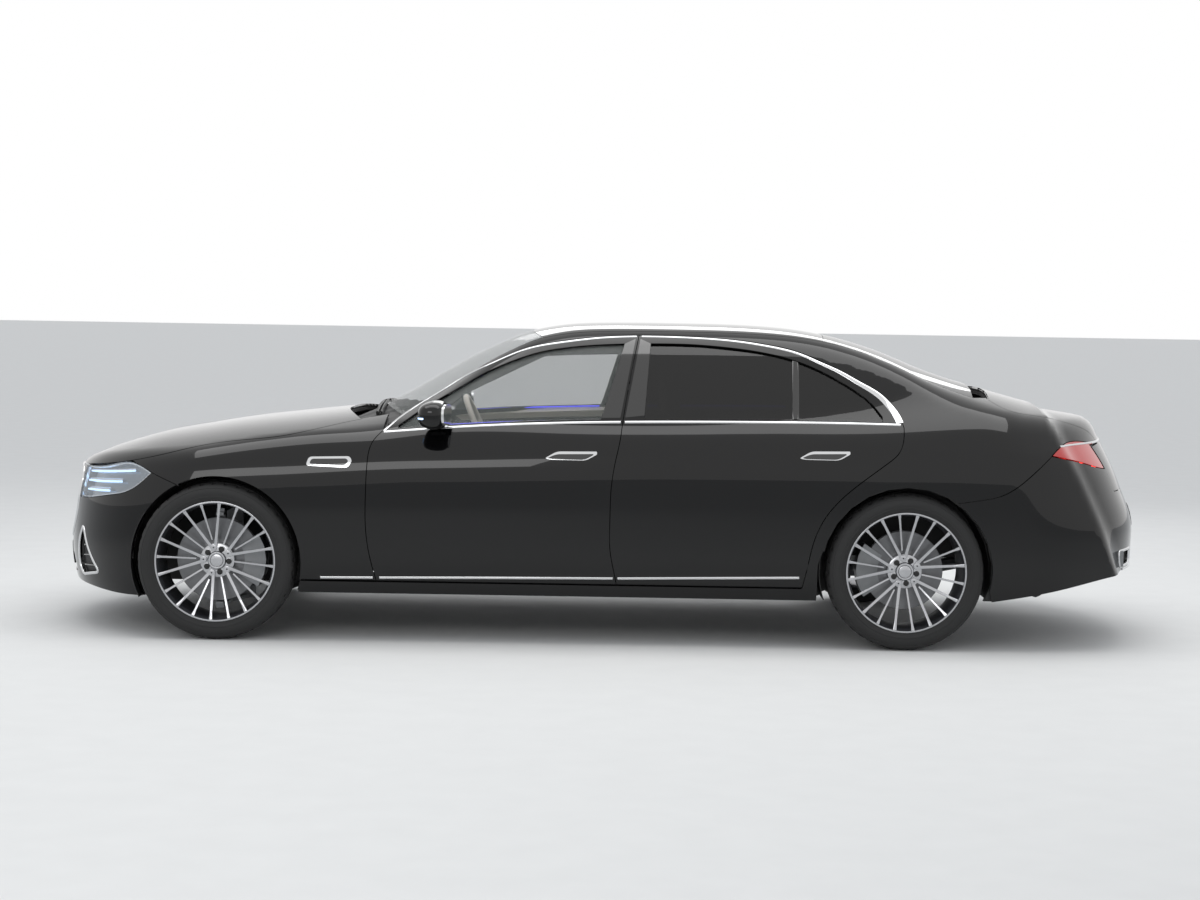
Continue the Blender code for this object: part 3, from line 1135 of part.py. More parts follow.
WHEEL_SEGMENTS = 28
HUB_SEGMENTS = 14
SPOKE_PAIRS = 10
SPOKE_SPREAD_DEG = 9.0
SPOKE_ROOT_SPREAD_DEG = 4.6


def make_rim(centre, phase_deg):
    """Return a wheel rim whose ten pairs of slim spokes fan out from the hub, with its brake disc."""
    half = RIM_WIDTH / 2
    outer = RIM_RADIUS
    inner = outer - RIM_WALL
    barrel = [(outer, half), (outer, -half), (inner, -half), (inner - RIM_WALL, -half + RIM_WALL * 3.0),
              (inner - RIM_WALL, half)]
    rim = turned("rim_work", barrel, WHEEL_SEGMENTS, centre)
    face = centre[1] - half
    hub_face = face + RIM_DISH
    disc_y = hub_face + HUB_LENGTH
    hub = turned("rim_hub", [(BORE_RADIUS * 0.4, 0.0), (HUB_RADIUS * 0.8, 0.0), (HUB_RADIUS, RIM_WALL * 0.6),
                             (HUB_RADIUS, HUB_LENGTH), (DISC_RADIUS, HUB_LENGTH),
                             (DISC_RADIUS, HUB_LENGTH + DISC_WALL), (BORE_RADIUS * 0.4, HUB_LENGTH + DISC_WALL)],
                 HUB_SEGMENTS, (centre[0], hub_face, centre[2]))
    root_radius, tip_radius = HUB_RADIUS * 0.9, inner - RIM_WALL * 0.5
    pair = None
    for side in (-1, 1):
        root = math.radians(phase_deg + side * SPOKE_ROOT_SPREAD_DEG)
        tip = math.radians(phase_deg + side * SPOKE_SPREAD_DEG)
        low = hub_face + RIM_WALL * 0.3 + side * SEAT
        spoke = make_spoke(centre, root, root_radius, tip, tip_radius, low, face)
        pair = join_with(spoke, pair) if pair else spoke
    fan = bmesh.new()
    for turn in range(SPOKE_PAIRS):
        fan.from_mesh(pair.data)
        fresh = fan.verts[-len(pair.data.vertices):]
        bmesh.ops.rotate(fan, verts=fresh, cent=centre,
                         matrix=Matrix.Rotation(2 * math.pi / SPOKE_PAIRS * turn, 3, "Y"))
    fan = add_object("spoke_fan", mesh_from(fan, "spoke_fan"), CUTTERS)
    return join_with(rim, fan, hub)


def make_spoke(centre, root, root_radius, tip, tip_radius, hub_face, rim_face):
    """Return one spoke: a bar that narrows and rises from the hub to the rim's lip."""
    bm = bmesh.new()
    rings = []
    start = Vector((math.cos(root) * root_radius, math.sin(root) * root_radius))
    end = Vector((math.cos(tip) * tip_radius, math.sin(tip) * tip_radius))
    across = Vector((-(end - start).y, (end - start).x)).normalized()
    for share in (0.0, 1.0):
        place = start.lerp(end, share)
        outer = hub_face + (rim_face + RIM_WALL * 1.3 - hub_face) * share ** 1.5
        width = SPOKE_WIDTH * (1 - 0.22 * share)
        deep = SPOKE_DEPTH * (1 - 0.15 * share)
        corners = ((-0.3, 0.0), (0.3, 0.0), (0.5, 1.0), (-0.5, 1.0))
        rings.append([bm.verts.new((centre[0] + (place + across * width * a).x, outer + deep * b,
                                    centre[2] + (place + across * width * a).y)) for a, b in corners])
    for first, second in zip(rings, rings[1:]):
        for i in range(len(first)):
            j = (i + 1) % len(first)
            bm.faces.new((first[i], first[j], second[j], second[i]))
    bm.faces.new(rings[0])
    bm.faces.new(rings[-1])
    bmesh.ops.triangulate(bm, faces=bm.faces)
    return add_object("spoke_work", mesh_from(bm, "spoke_work"), CUTTERS)


def wheel_centre(end, side):
    track = FRONT_TRACK if end == "front" else REAR_TRACK
    x = FRONT_AXLE_X if end == "front" else REAR_AXLE_X
    return Vector((x, side * track / 2, AXLE_Z))


for end, phase in (("front", 94.0), ("rear", 90.0)):
    place = wheel_centre(end, -1)
    tyre = piece(make_tyre(place), "tyre_" + end + "_L", RUBBER, place)
    rim = piece(make_rim(place, phase), "rim_" + end + "_L", ALLOY, place)
    mirrored(tyre, "tyre_" + end + "_R")
    mirrored(rim, "rim_" + end + "_R")

HUB_FACE_Y = -FRONT_TRACK / 2 - RIM_WIDTH / 2 + RIM_DISH
DISC_OUT_Y = HUB_FACE_Y + HUB_LENGTH
DISC_IN_Y = DISC_OUT_Y + DISC_WALL


# Knuckles, axles and the underside

HUB_FLANGE_RADIUS = 0.055
KNUCKLE_LENGTH = 0.075
KNUCKLE_WIDTH = 0.090
KNUCKLE_HEIGHT = 0.230
STEER_Y = DISC_IN_Y + 0.004
BALL_OFFSET = 0.218
LUG_WALL = 0.014
LUG_WIDTH = 0.036
LUG_REACH = 0.018
ARM_THICKNESS = 0.017
ARM_WALL = 0.034


def make_upright(centre_x, caliper_side):
    """Return a left knuckle: a hub on an upright, with the caliper that straddles the disc."""
    hub = rod("hub", HUB_FLANGE_RADIUS, (centre_x, DISC_IN_Y + SEAT, AXLE_Z),
              (centre_x, DISC_IN_Y + KNUCKLE_LENGTH, AXLE_Z), segments=20)
    upright = block("upright", (centre_x - KNUCKLE_WIDTH / 2, DISC_IN_Y + KNUCKLE_LENGTH * 0.25,
                                AXLE_Z - KNUCKLE_HEIGHT / 2),
                    (centre_x + KNUCKLE_WIDTH / 2, DISC_IN_Y + KNUCKLE_LENGTH, AXLE_Z + KNUCKLE_HEIGHT / 2))
    inner_radius = DISC_RADIUS - CALIPER_DEPTH
    outer_radius = DISC_RADIUS + CALIPER_DEPTH * 0.42
    half_turn = CALIPER_LENGTH / 2 / DISC_RADIUS
    angles = np.linspace(-half_turn, half_turn, 5)
    arc = [(centre_x + caliper_side * outer_radius * math.cos(a), AXLE_Z + outer_radius * math.sin(a))
           for a in angles]
    arc += [(centre_x + caliper_side * inner_radius * math.cos(a), AXLE_Z + inner_radius * math.sin(a))
            for a in angles[::-1]]
    out_y = DISC_OUT_Y - (CALIPER_WIDTH - DISC_WALL) * 0.35
    caliper = flat_prism("caliper", arc, 1, out_y, out_y + CALIPER_WIDTH)
    cut_by(caliper, rod("caliper_slot", DISC_RADIUS + CALIPER_CLEARANCE,
                        (centre_x, DISC_OUT_Y - CALIPER_CLEARANCE, AXLE_Z),
                        (centre_x, DISC_IN_Y + CALIPER_CLEARANCE, AXLE_Z), segments=36))
    reach = centre_x + caliper_side * inner_radius * 1.15
    low_x, high_x = sorted((centre_x, reach))
    bracket = block("caliper_bracket", (low_x, DISC_IN_Y + KNUCKLE_LENGTH * 0.45, AXLE_Z - ARM_WALL),
                    (high_x, DISC_IN_Y + KNUCKLE_LENGTH * 0.9, AXLE_Z + ARM_WALL))
    return join_with(hub, upright, bracket, caliper)


def make_steered_upright():
    """Return the left front knuckle, whose upper and lower lugs reach out over the disc."""
    knuckle = make_upright(FRONT_AXLE_X, 1)
    post_y = DISC_IN_Y + KNUCKLE_LENGTH * 0.45
    post = block("knuckle_post", (FRONT_AXLE_X - LUG_WIDTH / 2, post_y, AXLE_Z - BALL_OFFSET),
                 (FRONT_AXLE_X + LUG_WIDTH / 2, DISC_IN_Y + KNUCKLE_LENGTH - SEAT, AXLE_Z + BALL_OFFSET))
    join_with(knuckle, post)
    for side in (-1, 1):
        low, high = sorted((AXLE_Z + side * BALL_OFFSET, AXLE_Z + side * (BALL_OFFSET - LUG_WALL)))
        join_with(knuckle, block("lug", (FRONT_AXLE_X - LUG_WIDTH / 2 + SEAT, STEER_Y - LUG_REACH, low),
                                 (FRONT_AXLE_X + LUG_WIDTH / 2 - SEAT, post_y + LUG_WALL, high)))
    return knuckle


def bar(name, start, end, wall):
    """Return a square bar between two places."""
    start, end = Vector(start), Vector(end)
    return rod(name, wall / 2, start, end, segments=8)


RAIL_Y = 0.330
RAIL_WIDTH = 0.080
RAIL_HEIGHT = 0.085
RAIL_LOW = 0.520
AXLE_FRAME_LENGTH = 0.220
AXLE_FRAME_HEIGHT = 0.060
TOWER_WALL = 0.055
LOWER_ARM_Z = AXLE_Z - BALL_OFFSET - SEAT - ARM_THICKNESS
BOOT_FLOOR_HEIGHT = 0.400
BOOT_FLOOR_WALL = 0.030


def make_front_axle():
    """Return the front subframe with its towers, and the arms out to the knuckles' ball joints."""
    low = LOWER_ARM_Z
    half_x = AXLE_FRAME_LENGTH / 2
    tower_in = RAIL_Y + RAIL_WIDTH / 2 + SEAT
    tower_out = tower_in + TOWER_WALL
    frame = block("front_cross", (FRONT_AXLE_X - half_x, -tower_out, low),
                  (FRONT_AXLE_X + half_x, tower_out, low + AXLE_FRAME_HEIGHT))
    for side in (-1, 1):
        ball_y = -side * STEER_Y
        bend_y = side * (tower_out + (abs(STEER_Y) - tower_out) * 0.4)
        near, far = sorted((side * (tower_in + SEAT), side * (tower_out - SEAT)))
        tower = block("tower", (FRONT_AXLE_X - ARM_WALL * 1.4, near, low + SEAT),
                      (FRONT_AXLE_X + ARM_WALL * 1.4, far, AXLE_Z + BALL_OFFSET + ARM_THICKNESS))
        join_with(frame, tower)
        for arm_low, root in ((LOWER_ARM_Z, half_x * 0.95), (AXLE_Z + BALL_OFFSET + SEAT, ARM_WALL * 1.3)):
            half = LUG_WIDTH / 2
            places = [(FRONT_AXLE_X - root, side * tower_in), (FRONT_AXLE_X - half * 1.2, bend_y),
                      (FRONT_AXLE_X - half, ball_y), (FRONT_AXLE_X + half, ball_y),
                      (FRONT_AXLE_X + half * 1.2, bend_y), (FRONT_AXLE_X + root, side * tower_in)]
            join_with(frame, flat_prism("arm", places, 2, arm_low + SEAT / 2, arm_low + ARM_THICKNESS - SEAT / 2))
    return piece(frame, "front_axle", CAST)


def make_rear_axle():
    """Return the rear subframe, its arms and both fixed uprights with their calipers."""
    frame = block("rear_cross", (REAR_AXLE_X - 0.05 * WHEELBASE, -RAIL_Y, AXLE_Z - ARM_WALL * 1.6),
                  (REAR_AXLE_X + 0.05 * WHEELBASE, RAIL_Y, BOOT_FLOOR_HEIGHT - SEAT))
    left = make_upright(REAR_AXLE_X, -1)
    right = add_object("right_upright", left.data.copy(), CUTTERS)
    right.data.transform(Matrix.Diagonal((1, -1, 1, 1)))
    right.data.flip_normals()
    join_with(frame, left, right)
    for side in (-1, 1):
        y = side * (-DISC_IN_Y - KNUCKLE_LENGTH * 0.8)
        for turn in (-1, 1):
            join_with(frame, bar("rear_arm", (REAR_AXLE_X + turn * 0.04 * WHEELBASE, side * 0.9 * RAIL_Y,
                                              AXLE_Z - ARM_WALL * 0.4),
                                 (REAR_AXLE_X + turn * ARM_WALL * 0.8, y, AXLE_Z - ARM_WALL * 1.6), ARM_WALL))
    return piece(frame, "rear_axle", CAST)


knuckle = piece(make_steered_upright(), "knuckle_L", CAST, (FRONT_AXLE_X, STEER_Y, AXLE_Z))
mirrored(knuckle, "knuckle_R")
front_axle = make_front_axle()
rear_axle = make_rear_axle()

FIREWALL_X = at_x(0.207)
FIREWALL_WALL = 0.030
FIREWALL_HALF_WIDTH = 0.740
ENGINE_HALF_WIDTH = 0.240
ENGINE_HEIGHT = 0.500
FLOOR_TOP = FLOOR_HEIGHT + FLOOR_WALL
STOP_WIDTH = 0.040
SHELF_REACH = 0.115
LINER_IN_Y = RAIL_Y + RAIL_WIDTH * 0.4
BACK_PANEL_X = at_x(1.305)
BULKHEAD_X = at_x(1.045)


def make_floor():
    """Return the cabin's floor pan with its open tunnel and the riser under the rear seat."""
    half = CABIN_FLOOR_HALF_WIDTH
    low = FLOOR_HEIGHT
    front, back = FIREWALL_X + FIREWALL_WALL + SEAT, at_x(0.858)
    floor = block("floor_work", (front, -half, low), (back, half, FLOOR_TOP))
    tunnel = block("tunnel", (front, -TUNNEL_HALF_WIDTH, low + FLOOR_WALL / 2),
                   (back - FLOOR_WALL, TUNNEL_HALF_WIDTH, FLOOR_TOP + TUNNEL_HEIGHT))
    riser = block("seat_riser", (at_x(0.80), -half, low + SEAT), (back, half, low + RISER_HEIGHT))
    join_with(floor, tunnel, riser)
    cut_by(floor, tunnel_room("tunnel_room"))
    return piece(floor, "floor_pan", PLASTIC)


def tunnel_room(name):
    """Return the room along the middle of the car for the exhaust pipe."""
    return block(name, (at_x(0.1), -TUNNEL_HALF_WIDTH * 0.75, UNDER),
                 (at_x(0.9), TUNNEL_HALF_WIDTH * 0.75, FLOOR_HEIGHT + TUNNEL_HEIGHT))


def arch_liner(name, axle_x, side, inner_y):
    """Return a wheel housing: a curved shell over one wheel, inside the body's skin."""
    shell = rod(name, ARCH_RADIUS + LINER_WALL, (axle_x, side * inner_y, AXLE_Z),
                (axle_x, side * (LINER_OUT_Y - SEAT), AXLE_Z), segments=ARCH_SEGMENTS)
    cut_by(shell, rod(name + "_room", ARCH_RADIUS, (axle_x, side * (inner_y - CUT_OVERRUN), AXLE_Z),
                      (axle_x, side * (LINER_OUT_Y + CUT_OVERRUN), AXLE_Z), segments=ARCH_SEGMENTS),
           block(name + "_low", (axle_x - HEIGHT, -HEIGHT, UNDER), (axle_x + HEIGHT, HEIGHT, AXLE_Z)))
    return shell


def make_front_structure():
    """Return the body's front end: firewall and cowl, wheel housings, rails and the lock carrier."""
    wall = block("firewall", (FIREWALL_X, -FIREWALL_HALF_WIDTH, FLOOR_TOP + SHUT_GAP),
                 (FIREWALL_X + FIREWALL_WALL, FIREWALL_HALF_WIDTH, 0.61 * HEIGHT))
    keep_in(wall, LID_SKIN)
    cowl = skin_object("cowl_top", COWL_DEPTH, coarse=True)
    cowl_outline = symmetric([(x - 0.012, y) for x, y in BONNET_REAR_SHARES[:-2]])
    cowl_outline += [(x + COWL_WALL, y) for x, y in symmetric(SCREEN_BASE_SHARES[:-1])[::-1]]
    keep_in(cowl, top_prism("cowl_outline", cowl_outline))
    cut_by(cowl, skin_object("cowl_under", COWL_DEPTH + COWL_WALL, coarse=True))
    keep_in(cowl, block("cowl_room", (at_x(0), SIDE_OUT, 0.5 * HEIGHT), (at_x(0.5), -SIDE_OUT, OVER)))
    riser = block("cowl_riser", (FIREWALL_X + SEAT, -FIREWALL_HALF_WIDTH * 0.6, 0.5 * HEIGHT),
                  (FIREWALL_X + FIREWALL_WALL - SEAT, FIREWALL_HALF_WIDTH * 0.6, 0.75 * HEIGHT))
    keep_in(riser, skin_object("cowl_middle", COWL_DEPTH + COWL_WALL / 2, coarse=True))
    join_with(wall, riser, cowl)
    cut_by(wall, tunnel_room("pipe_room"))
    carrier_x = at_x(-0.185)
    carrier_top = top_z(carrier_x, 0, LID_WALL) - STOP_WIDTH
    carrier_half = LAMP_INNER_SHARE * HALF_WIDTH - STOP_WIDTH
    carrier = block("lock_carrier", (carrier_x, -carrier_half, carrier_top - STOP_WIDTH),
                    (carrier_x + STOP_WIDTH, carrier_half, carrier_top))
    join_with(wall, carrier)
    for side in (-1, 1):
        low_y, high_y = sorted((side * (RAIL_Y - RAIL_WIDTH / 2), side * (RAIL_Y + RAIL_WIDTH / 2)))
        rail = block("rail", (carrier_x + SEAT, low_y, RAIL_LOW),
                     (FIREWALL_X + SEAT, high_y, RAIL_LOW + RAIL_HEIGHT))
        post = block("carrier_post", (carrier_x + 2 * SEAT, low_y + SEAT, RAIL_LOW + SEAT),
                     (carrier_x + STOP_WIDTH - SEAT, high_y - SEAT, carrier_top - SEAT))
        stop = block("bonnet_stop", (carrier_x + SEAT, side * RAIL_Y - STOP_WIDTH / 2,
                                     carrier_top - STOP_WIDTH / 2),
                     (carrier_x + STOP_WIDTH - SEAT, side * RAIL_Y + STOP_WIDTH / 2,
                      top_z(carrier_x, RAIL_Y, LID_WALL / 2)))
        cut_clear(stop, bonnet, (0, 0, -SEAT))
        join_with(wall, rail, post, stop, arch_liner("front_liner", FRONT_AXLE_X, side, LINER_IN_Y))
    return piece(wall, "front_structure", PLASTIC)


def make_rear_structure():
    """Return the body's rear end: bulkhead and shelf, boot floor, wheel housings and back panel."""
    half = BOOT_HALF_WIDTH
    top = BOOT_FLOOR_HEIGHT + BOOT_FLOOR_WALL
    floor = block("boot_floor", (at_x(0.858) + SEAT, -half, BOOT_FLOOR_HEIGHT), (BACK_PANEL_X, half, top))
    bulkhead = block("bulkhead", (BULKHEAD_X, -half + SEAT, BOOT_FLOOR_HEIGHT + SEAT),
                     (BULKHEAD_X + FIREWALL_WALL, half - SEAT, SHELF_Z - SEAT))
    shelf = block("shelf", (BULKHEAD_X - SHELF_REACH, -half, SHELF_Z - FIREWALL_WALL),
                  (at_x(1.12), half, SHELF_Z))
    strip = skin_object("strip_top", COWL_DEPTH, coarse=True)
    keep_in(strip, top_prism("strip_outline", STRIP_OUTLINE))
    cut_by(strip, skin_object("strip_under", COWL_DEPTH + COWL_WALL, coarse=True))
    keep_in(strip, block("strip_room", (at_x(1), SIDE_OUT, 0.55 * HEIGHT), (at_x(1.3), -SIDE_OUT, OVER)))
    riser = block("strip_riser", (at_x(1.105), -half + SEAT, SHELF_Z - FIREWALL_WALL / 2),
                  (at_x(1.115), half - SEAT, 0.85 * HEIGHT))
    keep_in(riser, skin_object("strip_middle", COWL_DEPTH + COWL_WALL / 2, coarse=True))
    back = block("back_panel", (BACK_PANEL_X - FIREWALL_WALL, -half + SEAT, BOOT_FLOOR_HEIGHT + SEAT),
                 (BACK_PANEL_X - SEAT, half - SEAT, 0.47 * HEIGHT))
    join_with(floor, bulkhead, shelf, riser, strip, back)
    for side in (-1, 1):
        near, far = sorted((side * (half - LINER_WALL), side * (half + LINER_WALL)))
        housing = rod("housing_wall", ARCH_RADIUS + LINER_WALL / 2, (REAR_AXLE_X, near, AXLE_Z),
                      (REAR_AXLE_X, far, AXLE_Z), segments=ARCH_SEGMENTS)
        cut_by(housing, block("housing_low", (at_x(0.8), -HALF_WIDTH, UNDER),
                              (at_x(1.3), HALF_WIDTH, BOOT_FLOOR_HEIGHT + BOOT_FLOOR_WALL / 2)))
        join_with(floor, arch_liner("rear_liner", REAR_AXLE_X, side, half), housing)
        stop_y = side * half * 0.7
        stop_z = 0.505 * HEIGHT
        stop = block("boot_stop", (BACK_PANEL_X - FIREWALL_WALL / 2, stop_y - STOP_WIDTH / 2, stop_z),
                     (BACK_PANEL_X + 6 * STOP_WIDTH, stop_y + STOP_WIDTH / 2, stop_z + STOP_WIDTH / 2))
        cut_clear(stop, boot, (-SEAT, 0, 0))
        room = block("stop_room", (BACK_PANEL_X - STOP_WIDTH, stop_y - STOP_WIDTH, stop_z - STOP_WIDTH),
                     (side_face_x(boot, stop_y, stop_z + STOP_WIDTH / 4), stop_y + STOP_WIDTH,
                      stop_z + STOP_WIDTH))
        keep_in(stop, room)
        post = block("stop_post", (BACK_PANEL_X - FIREWALL_WALL + SEAT, stop_y - STOP_WIDTH / 2 + SEAT,
                                   0.45 * HEIGHT),
                     (BACK_PANEL_X - 2 * SEAT, stop_y + STOP_WIDTH / 2 - SEAT, stop_z + STOP_WIDTH / 2 - SEAT))
        join_with(floor, stop, post)
    return piece(floor, "rear_structure", PLASTIC)


def side_face_x(made, y, z):
    """Return where a ray along the car from the boot first meets a finished piece."""
    hit, place, _, _ = made.ray_cast(Vector((BACK_PANEL_X, y, z)) - made.location, Vector((1, 0, 0)))
    return (place + made.location).x if hit else FAR_BACK


def make_engine():
    low = LOWER_ARM_Z + AXLE_FRAME_HEIGHT + SEAT
    engine = block("engine_work", (at_x(-0.12), -ENGINE_HALF_WIDTH, low),
                   (at_x(0.14), ENGINE_HALF_WIDTH, low + ENGINE_HEIGHT))
    return piece(engine, "engine_block", CAST)


def make_exhaust():
    """Return the exhaust: a pipe along the tunnel, a silencer and two square tail trims."""
    pipe_z = FLOOR_HEIGHT + PIPE_RADIUS * 1.6
    silencer_low, silencer_high = BOOT_FLOOR_HEIGHT - SILENCER_HEIGHT - SEAT, BOOT_FLOOR_HEIGHT - SEAT
    silencer = block("silencer", (at_x(1.15), -SILENCER_HALF_WIDTH, silencer_low),
                     (at_x(1.235), SILENCER_HALF_WIDTH, silencer_high))
    run = block("pipe_front", (at_x(0.15), -PIPE_RADIUS, pipe_z - PIPE_RADIUS),
                (at_x(0.88), PIPE_RADIUS, pipe_z + PIPE_RADIUS))
    drop = AXLE_Z - ARM_WALL * 1.6 - SEAT * 10 - PIPE_RADIUS
    under = bar("pipe_under", (at_x(0.87), 0, pipe_z), (at_x(0.94), 0, drop - PIPE_RADIUS * 0.2), 2 * PIPE_RADIUS)
    level = bar("pipe_level", (at_x(0.93), 0, drop - PIPE_RADIUS * 0.2), (at_x(1.06), 0, drop - PIPE_RADIUS * 0.2),
                2 * PIPE_RADIUS)
    rise = bar("pipe_rise", (at_x(1.05), 0, drop - PIPE_RADIUS * 0.2),
               (at_x(1.16), 0, (silencer_low + silencer_high) / 2), 2 * PIPE_RADIUS)
    join_with(silencer, run, under, level, rise)
    for side in (-1, 1):
        reach = at_x(1.32)
        y = side * TAILPIPE_Y
        elbow_low, elbow_high = sorted((side * SILENCER_HALF_WIDTH * 0.8, y + side * TAILPIPE_HEIGHT / 2))
        join_with(silencer, block("elbow", (at_x(1.20), elbow_low, silencer_high - TAILPIPE_HEIGHT * 0.8),
                                  (at_x(1.225), elbow_high, silencer_high - SEAT)),
                  block("tail_pipe", (at_x(1.21), y - TAILPIPE_HEIGHT / 2, silencer_high - TAILPIPE_HEIGHT * 0.75),
                        (reach, y + TAILPIPE_HEIGHT / 2, silencer_high - 2 * SEAT)),
                  block("tail_trim", (BACK_PANEL_X + SHUT_GAP, y - TAILPIPE_WIDTH / 2 + SEAT, TAILPIPE_Z - TAILPIPE_HEIGHT / 2 + SEAT),
                        (at_x(1.335), y + TAILPIPE_WIDTH / 2 - SEAT, TAILPIPE_Z + TAILPIPE_HEIGHT / 2 - SEAT)))
    return piece(silencer, "exhaust", STEEL)


PIPE_RADIUS = 0.034
SILENCER_HEIGHT = 0.120
SILENCER_HALF_WIDTH = 0.360

make_floor()
make_front_structure()
make_rear_structure()
make_engine()
make_exhaust()


# Inside the cabin

DASH_DEPTH = 0.330
SEAT_WIDTH = 0.490
SEAT_Y = 0.390
SEAT_SLOPE = 0.240
HEADREST_WIDTH = 0.270
CONSOLE_HALF_WIDTH = 0.115
WHEEL_RING_RADIUS = 0.182
WHEEL_TUBE_RADIUS = 0.015
STEERING_Y = -0.390


def make_dashboard():
    start = FIREWALL_X + FIREWALL_WALL + SEAT
    outline = [(start, DASH_LOW), (start + DASH_DEPTH * 0.85, DASH_LOW), (start + DASH_DEPTH, DASH_LOW + 0.30 * DASH_DEPTH),
               (start + DASH_DEPTH * 0.93, 0.618 * HEIGHT), (start + DASH_DEPTH * 0.72, 0.637 * HEIGHT),
               (start, 0.605 * HEIGHT)]
    dash = flat_prism("dash_work", outline, 1, -DASH_HALF_WIDTH, DASH_HALF_WIDTH)
    return piece(dash, "dashboard", LEATHER)


def make_steering_wheel():
    """Return the steering wheel: a ring, three spokes and a boss on its column."""
    centre = Vector((at_x(0.373), STEERING_Y, 0.640 * HEIGHT))
    bm = bmesh.new()
    tube = [bm.verts.new((WHEEL_RING_RADIUS + WHEEL_TUBE_RADIUS * math.cos(a), 0, WHEEL_TUBE_RADIUS * math.sin(a)))
            for a in np.linspace(0, 2 * math.pi, 6, endpoint=False)]
    edges = [bm.edges.new((a, b)) for a, b in zip(tube, tube[1:] + tube[:1])]
    bmesh.ops.spin(bm, geom=tube + edges, cent=(0, 0, 0), axis=(0, 0, 1), angle=2 * math.pi, steps=20,
                   use_merge=True)
    bmesh.ops.remove_doubles(bm, verts=bm.verts, dist=SEAT / 10)
    ring = add_object("ring", mesh_from(bm, "ring"), CUTTERS)
    boss = rod("boss", WHEEL_RING_RADIUS * 0.33, (0, 0, -WHEEL_TUBE_RADIUS * 1.6), (0, 0, WHEEL_TUBE_RADIUS),
               segments=12)
    reach = WHEEL_RING_RADIUS
    spokes = [block("wheel_spoke", (-reach, -WHEEL_TUBE_RADIUS, -WHEEL_TUBE_RADIUS * 0.5),
                    (reach, WHEEL_TUBE_RADIUS, WHEEL_TUBE_RADIUS * 0.5)),
              block("wheel_foot", (-WHEEL_TUBE_RADIUS, -reach, -WHEEL_TUBE_RADIUS * 0.45),
                    (WHEEL_TUBE_RADIUS, 0, WHEEL_TUBE_RADIUS * 0.45))]
    column = rod("column", WHEEL_TUBE_RADIUS * 1.8, (0, 0, -COLUMN_LENGTH), (0, 0, 0), segments=10)
    join_with(ring, boss, *spokes, column)
    turn = Matrix.Rotation(math.radians(COLUMN_TILT_DEG), 4, "Y") @ Matrix.Rotation(math.radians(90), 4, "Z")
    ring.data.transform(Matrix.Translation(centre) @ turn)
    start = FIREWALL_X + FIREWALL_WALL + SEAT
    dash_room = flat_prism("dash_room", [(start - 0.4 * DASH_DEPTH, 0), (start + DASH_DEPTH + SEAT, 0),
                                         (start + DASH_DEPTH + SEAT, DASH_LOW + 0.30 * DASH_DEPTH),
                                         (start + DASH_DEPTH * 0.93 + SEAT, 0.618 * HEIGHT),
                                         (start + DASH_DEPTH * 0.72, 0.9 * HEIGHT),
                                         (start - 0.4 * DASH_DEPTH, 0.9 * HEIGHT)],
                           1, -HALF_WIDTH, HALF_WIDTH)
    cut_by(ring, dash_room)
    return piece(ring, "steering_wheel", LEATHER, centre)


COLUMN_LENGTH = 0.250
COLUMN_TILT_DEG = 66.0


def make_seat(name, x, y, width, heads, low, head_height):
    """Return a seat: a cushion, a leaning back and its headrests, in one solid."""
    top = low + SEAT_HEIGHT
    outline = [(x, low), (x + SEAT_LENGTH, low), (x + SEAT_LENGTH + SEAT_BACK_WALL, low + SEAT_HEIGHT * 0.4),
               (x + SEAT_LENGTH + SEAT_BACK_WALL * 0.4 + SEAT_SLOPE, top + SEAT_BACK_HEIGHT),
               (x + SEAT_LENGTH - SEAT_BACK_WALL * 0.4 + SEAT_SLOPE, top + SEAT_BACK_HEIGHT),
               (x + SEAT_LENGTH - SEAT_BACK_WALL * 0.75, top), (x, top)]
    seat = flat_prism(name + "_work", outline, 1, y - width / 2, y + width / 2)
    for head in heads:
        head_x = x + SEAT_LENGTH + SEAT_SLOPE
        join_with(seat, block(name + "_head", (head_x - SEAT_BACK_WALL * 0.3, head - HEADREST_WIDTH / 2,
                                               top + SEAT_BACK_HEIGHT * 0.97),
                              (head_x + SEAT_BACK_WALL * 0.35, head + HEADREST_WIDTH / 2,
                               top + SEAT_BACK_HEIGHT + head_height)))
    return piece(seat, name, LEATHER)


SEAT_LENGTH = 0.500
SEAT_HEIGHT = 0.230
SEAT_BACK_WALL = 0.150
SEAT_BACK_HEIGHT = 0.530
FRONT_HEAD_HEIGHT = 0.190
REAR_HEAD_HEIGHT = 0.100
REAR_BENCH_WIDTH = 1.060

make_dashboard()
make_steering_wheel()
for side, y in (("L", -SEAT_Y), ("R", SEAT_Y)):
    make_seat("seat_front_" + side, at_x(0.43), y, SEAT_WIDTH, [y], FLOOR_TOP + SEAT,
              FRONT_HEAD_HEIGHT)
make_seat("seat_rear", at_x(0.775), 0.0, REAR_BENCH_WIDTH, [-SEAT_Y * 0.7, SEAT_Y * 0.7],
          FLOOR_HEIGHT + RISER_HEIGHT + SEAT, REAR_HEAD_HEIGHT)
console = block("console_work", (at_x(0.34), -CONSOLE_HALF_WIDTH, FLOOR_TOP + TUNNEL_HEIGHT + SEAT),
                (at_x(0.60), CONSOLE_HALF_WIDTH, FLOOR_TOP + TUNNEL_HEIGHT + SEAT_HEIGHT * 0.7))
piece(console, "centre_console", LEATHER)
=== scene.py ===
"""The luxury saloon car, dressed for its picture.

One smooth body form gives every outer panel its shape. Each panel is trimmed from that form along its real
shut lines, given the thickness of a hemmed sheet and rides on the body that carries it in the CAD frame.
Behind the panels stand copies of the CAD solids, drawn in a little, as the inner pressings.
"""

import logging
import math
from dataclasses import dataclass, field
from enum import Enum
from typing import Callable, Iterable

import bmesh
import bpy
import numpy as np
from mathutils import Matrix, Vector


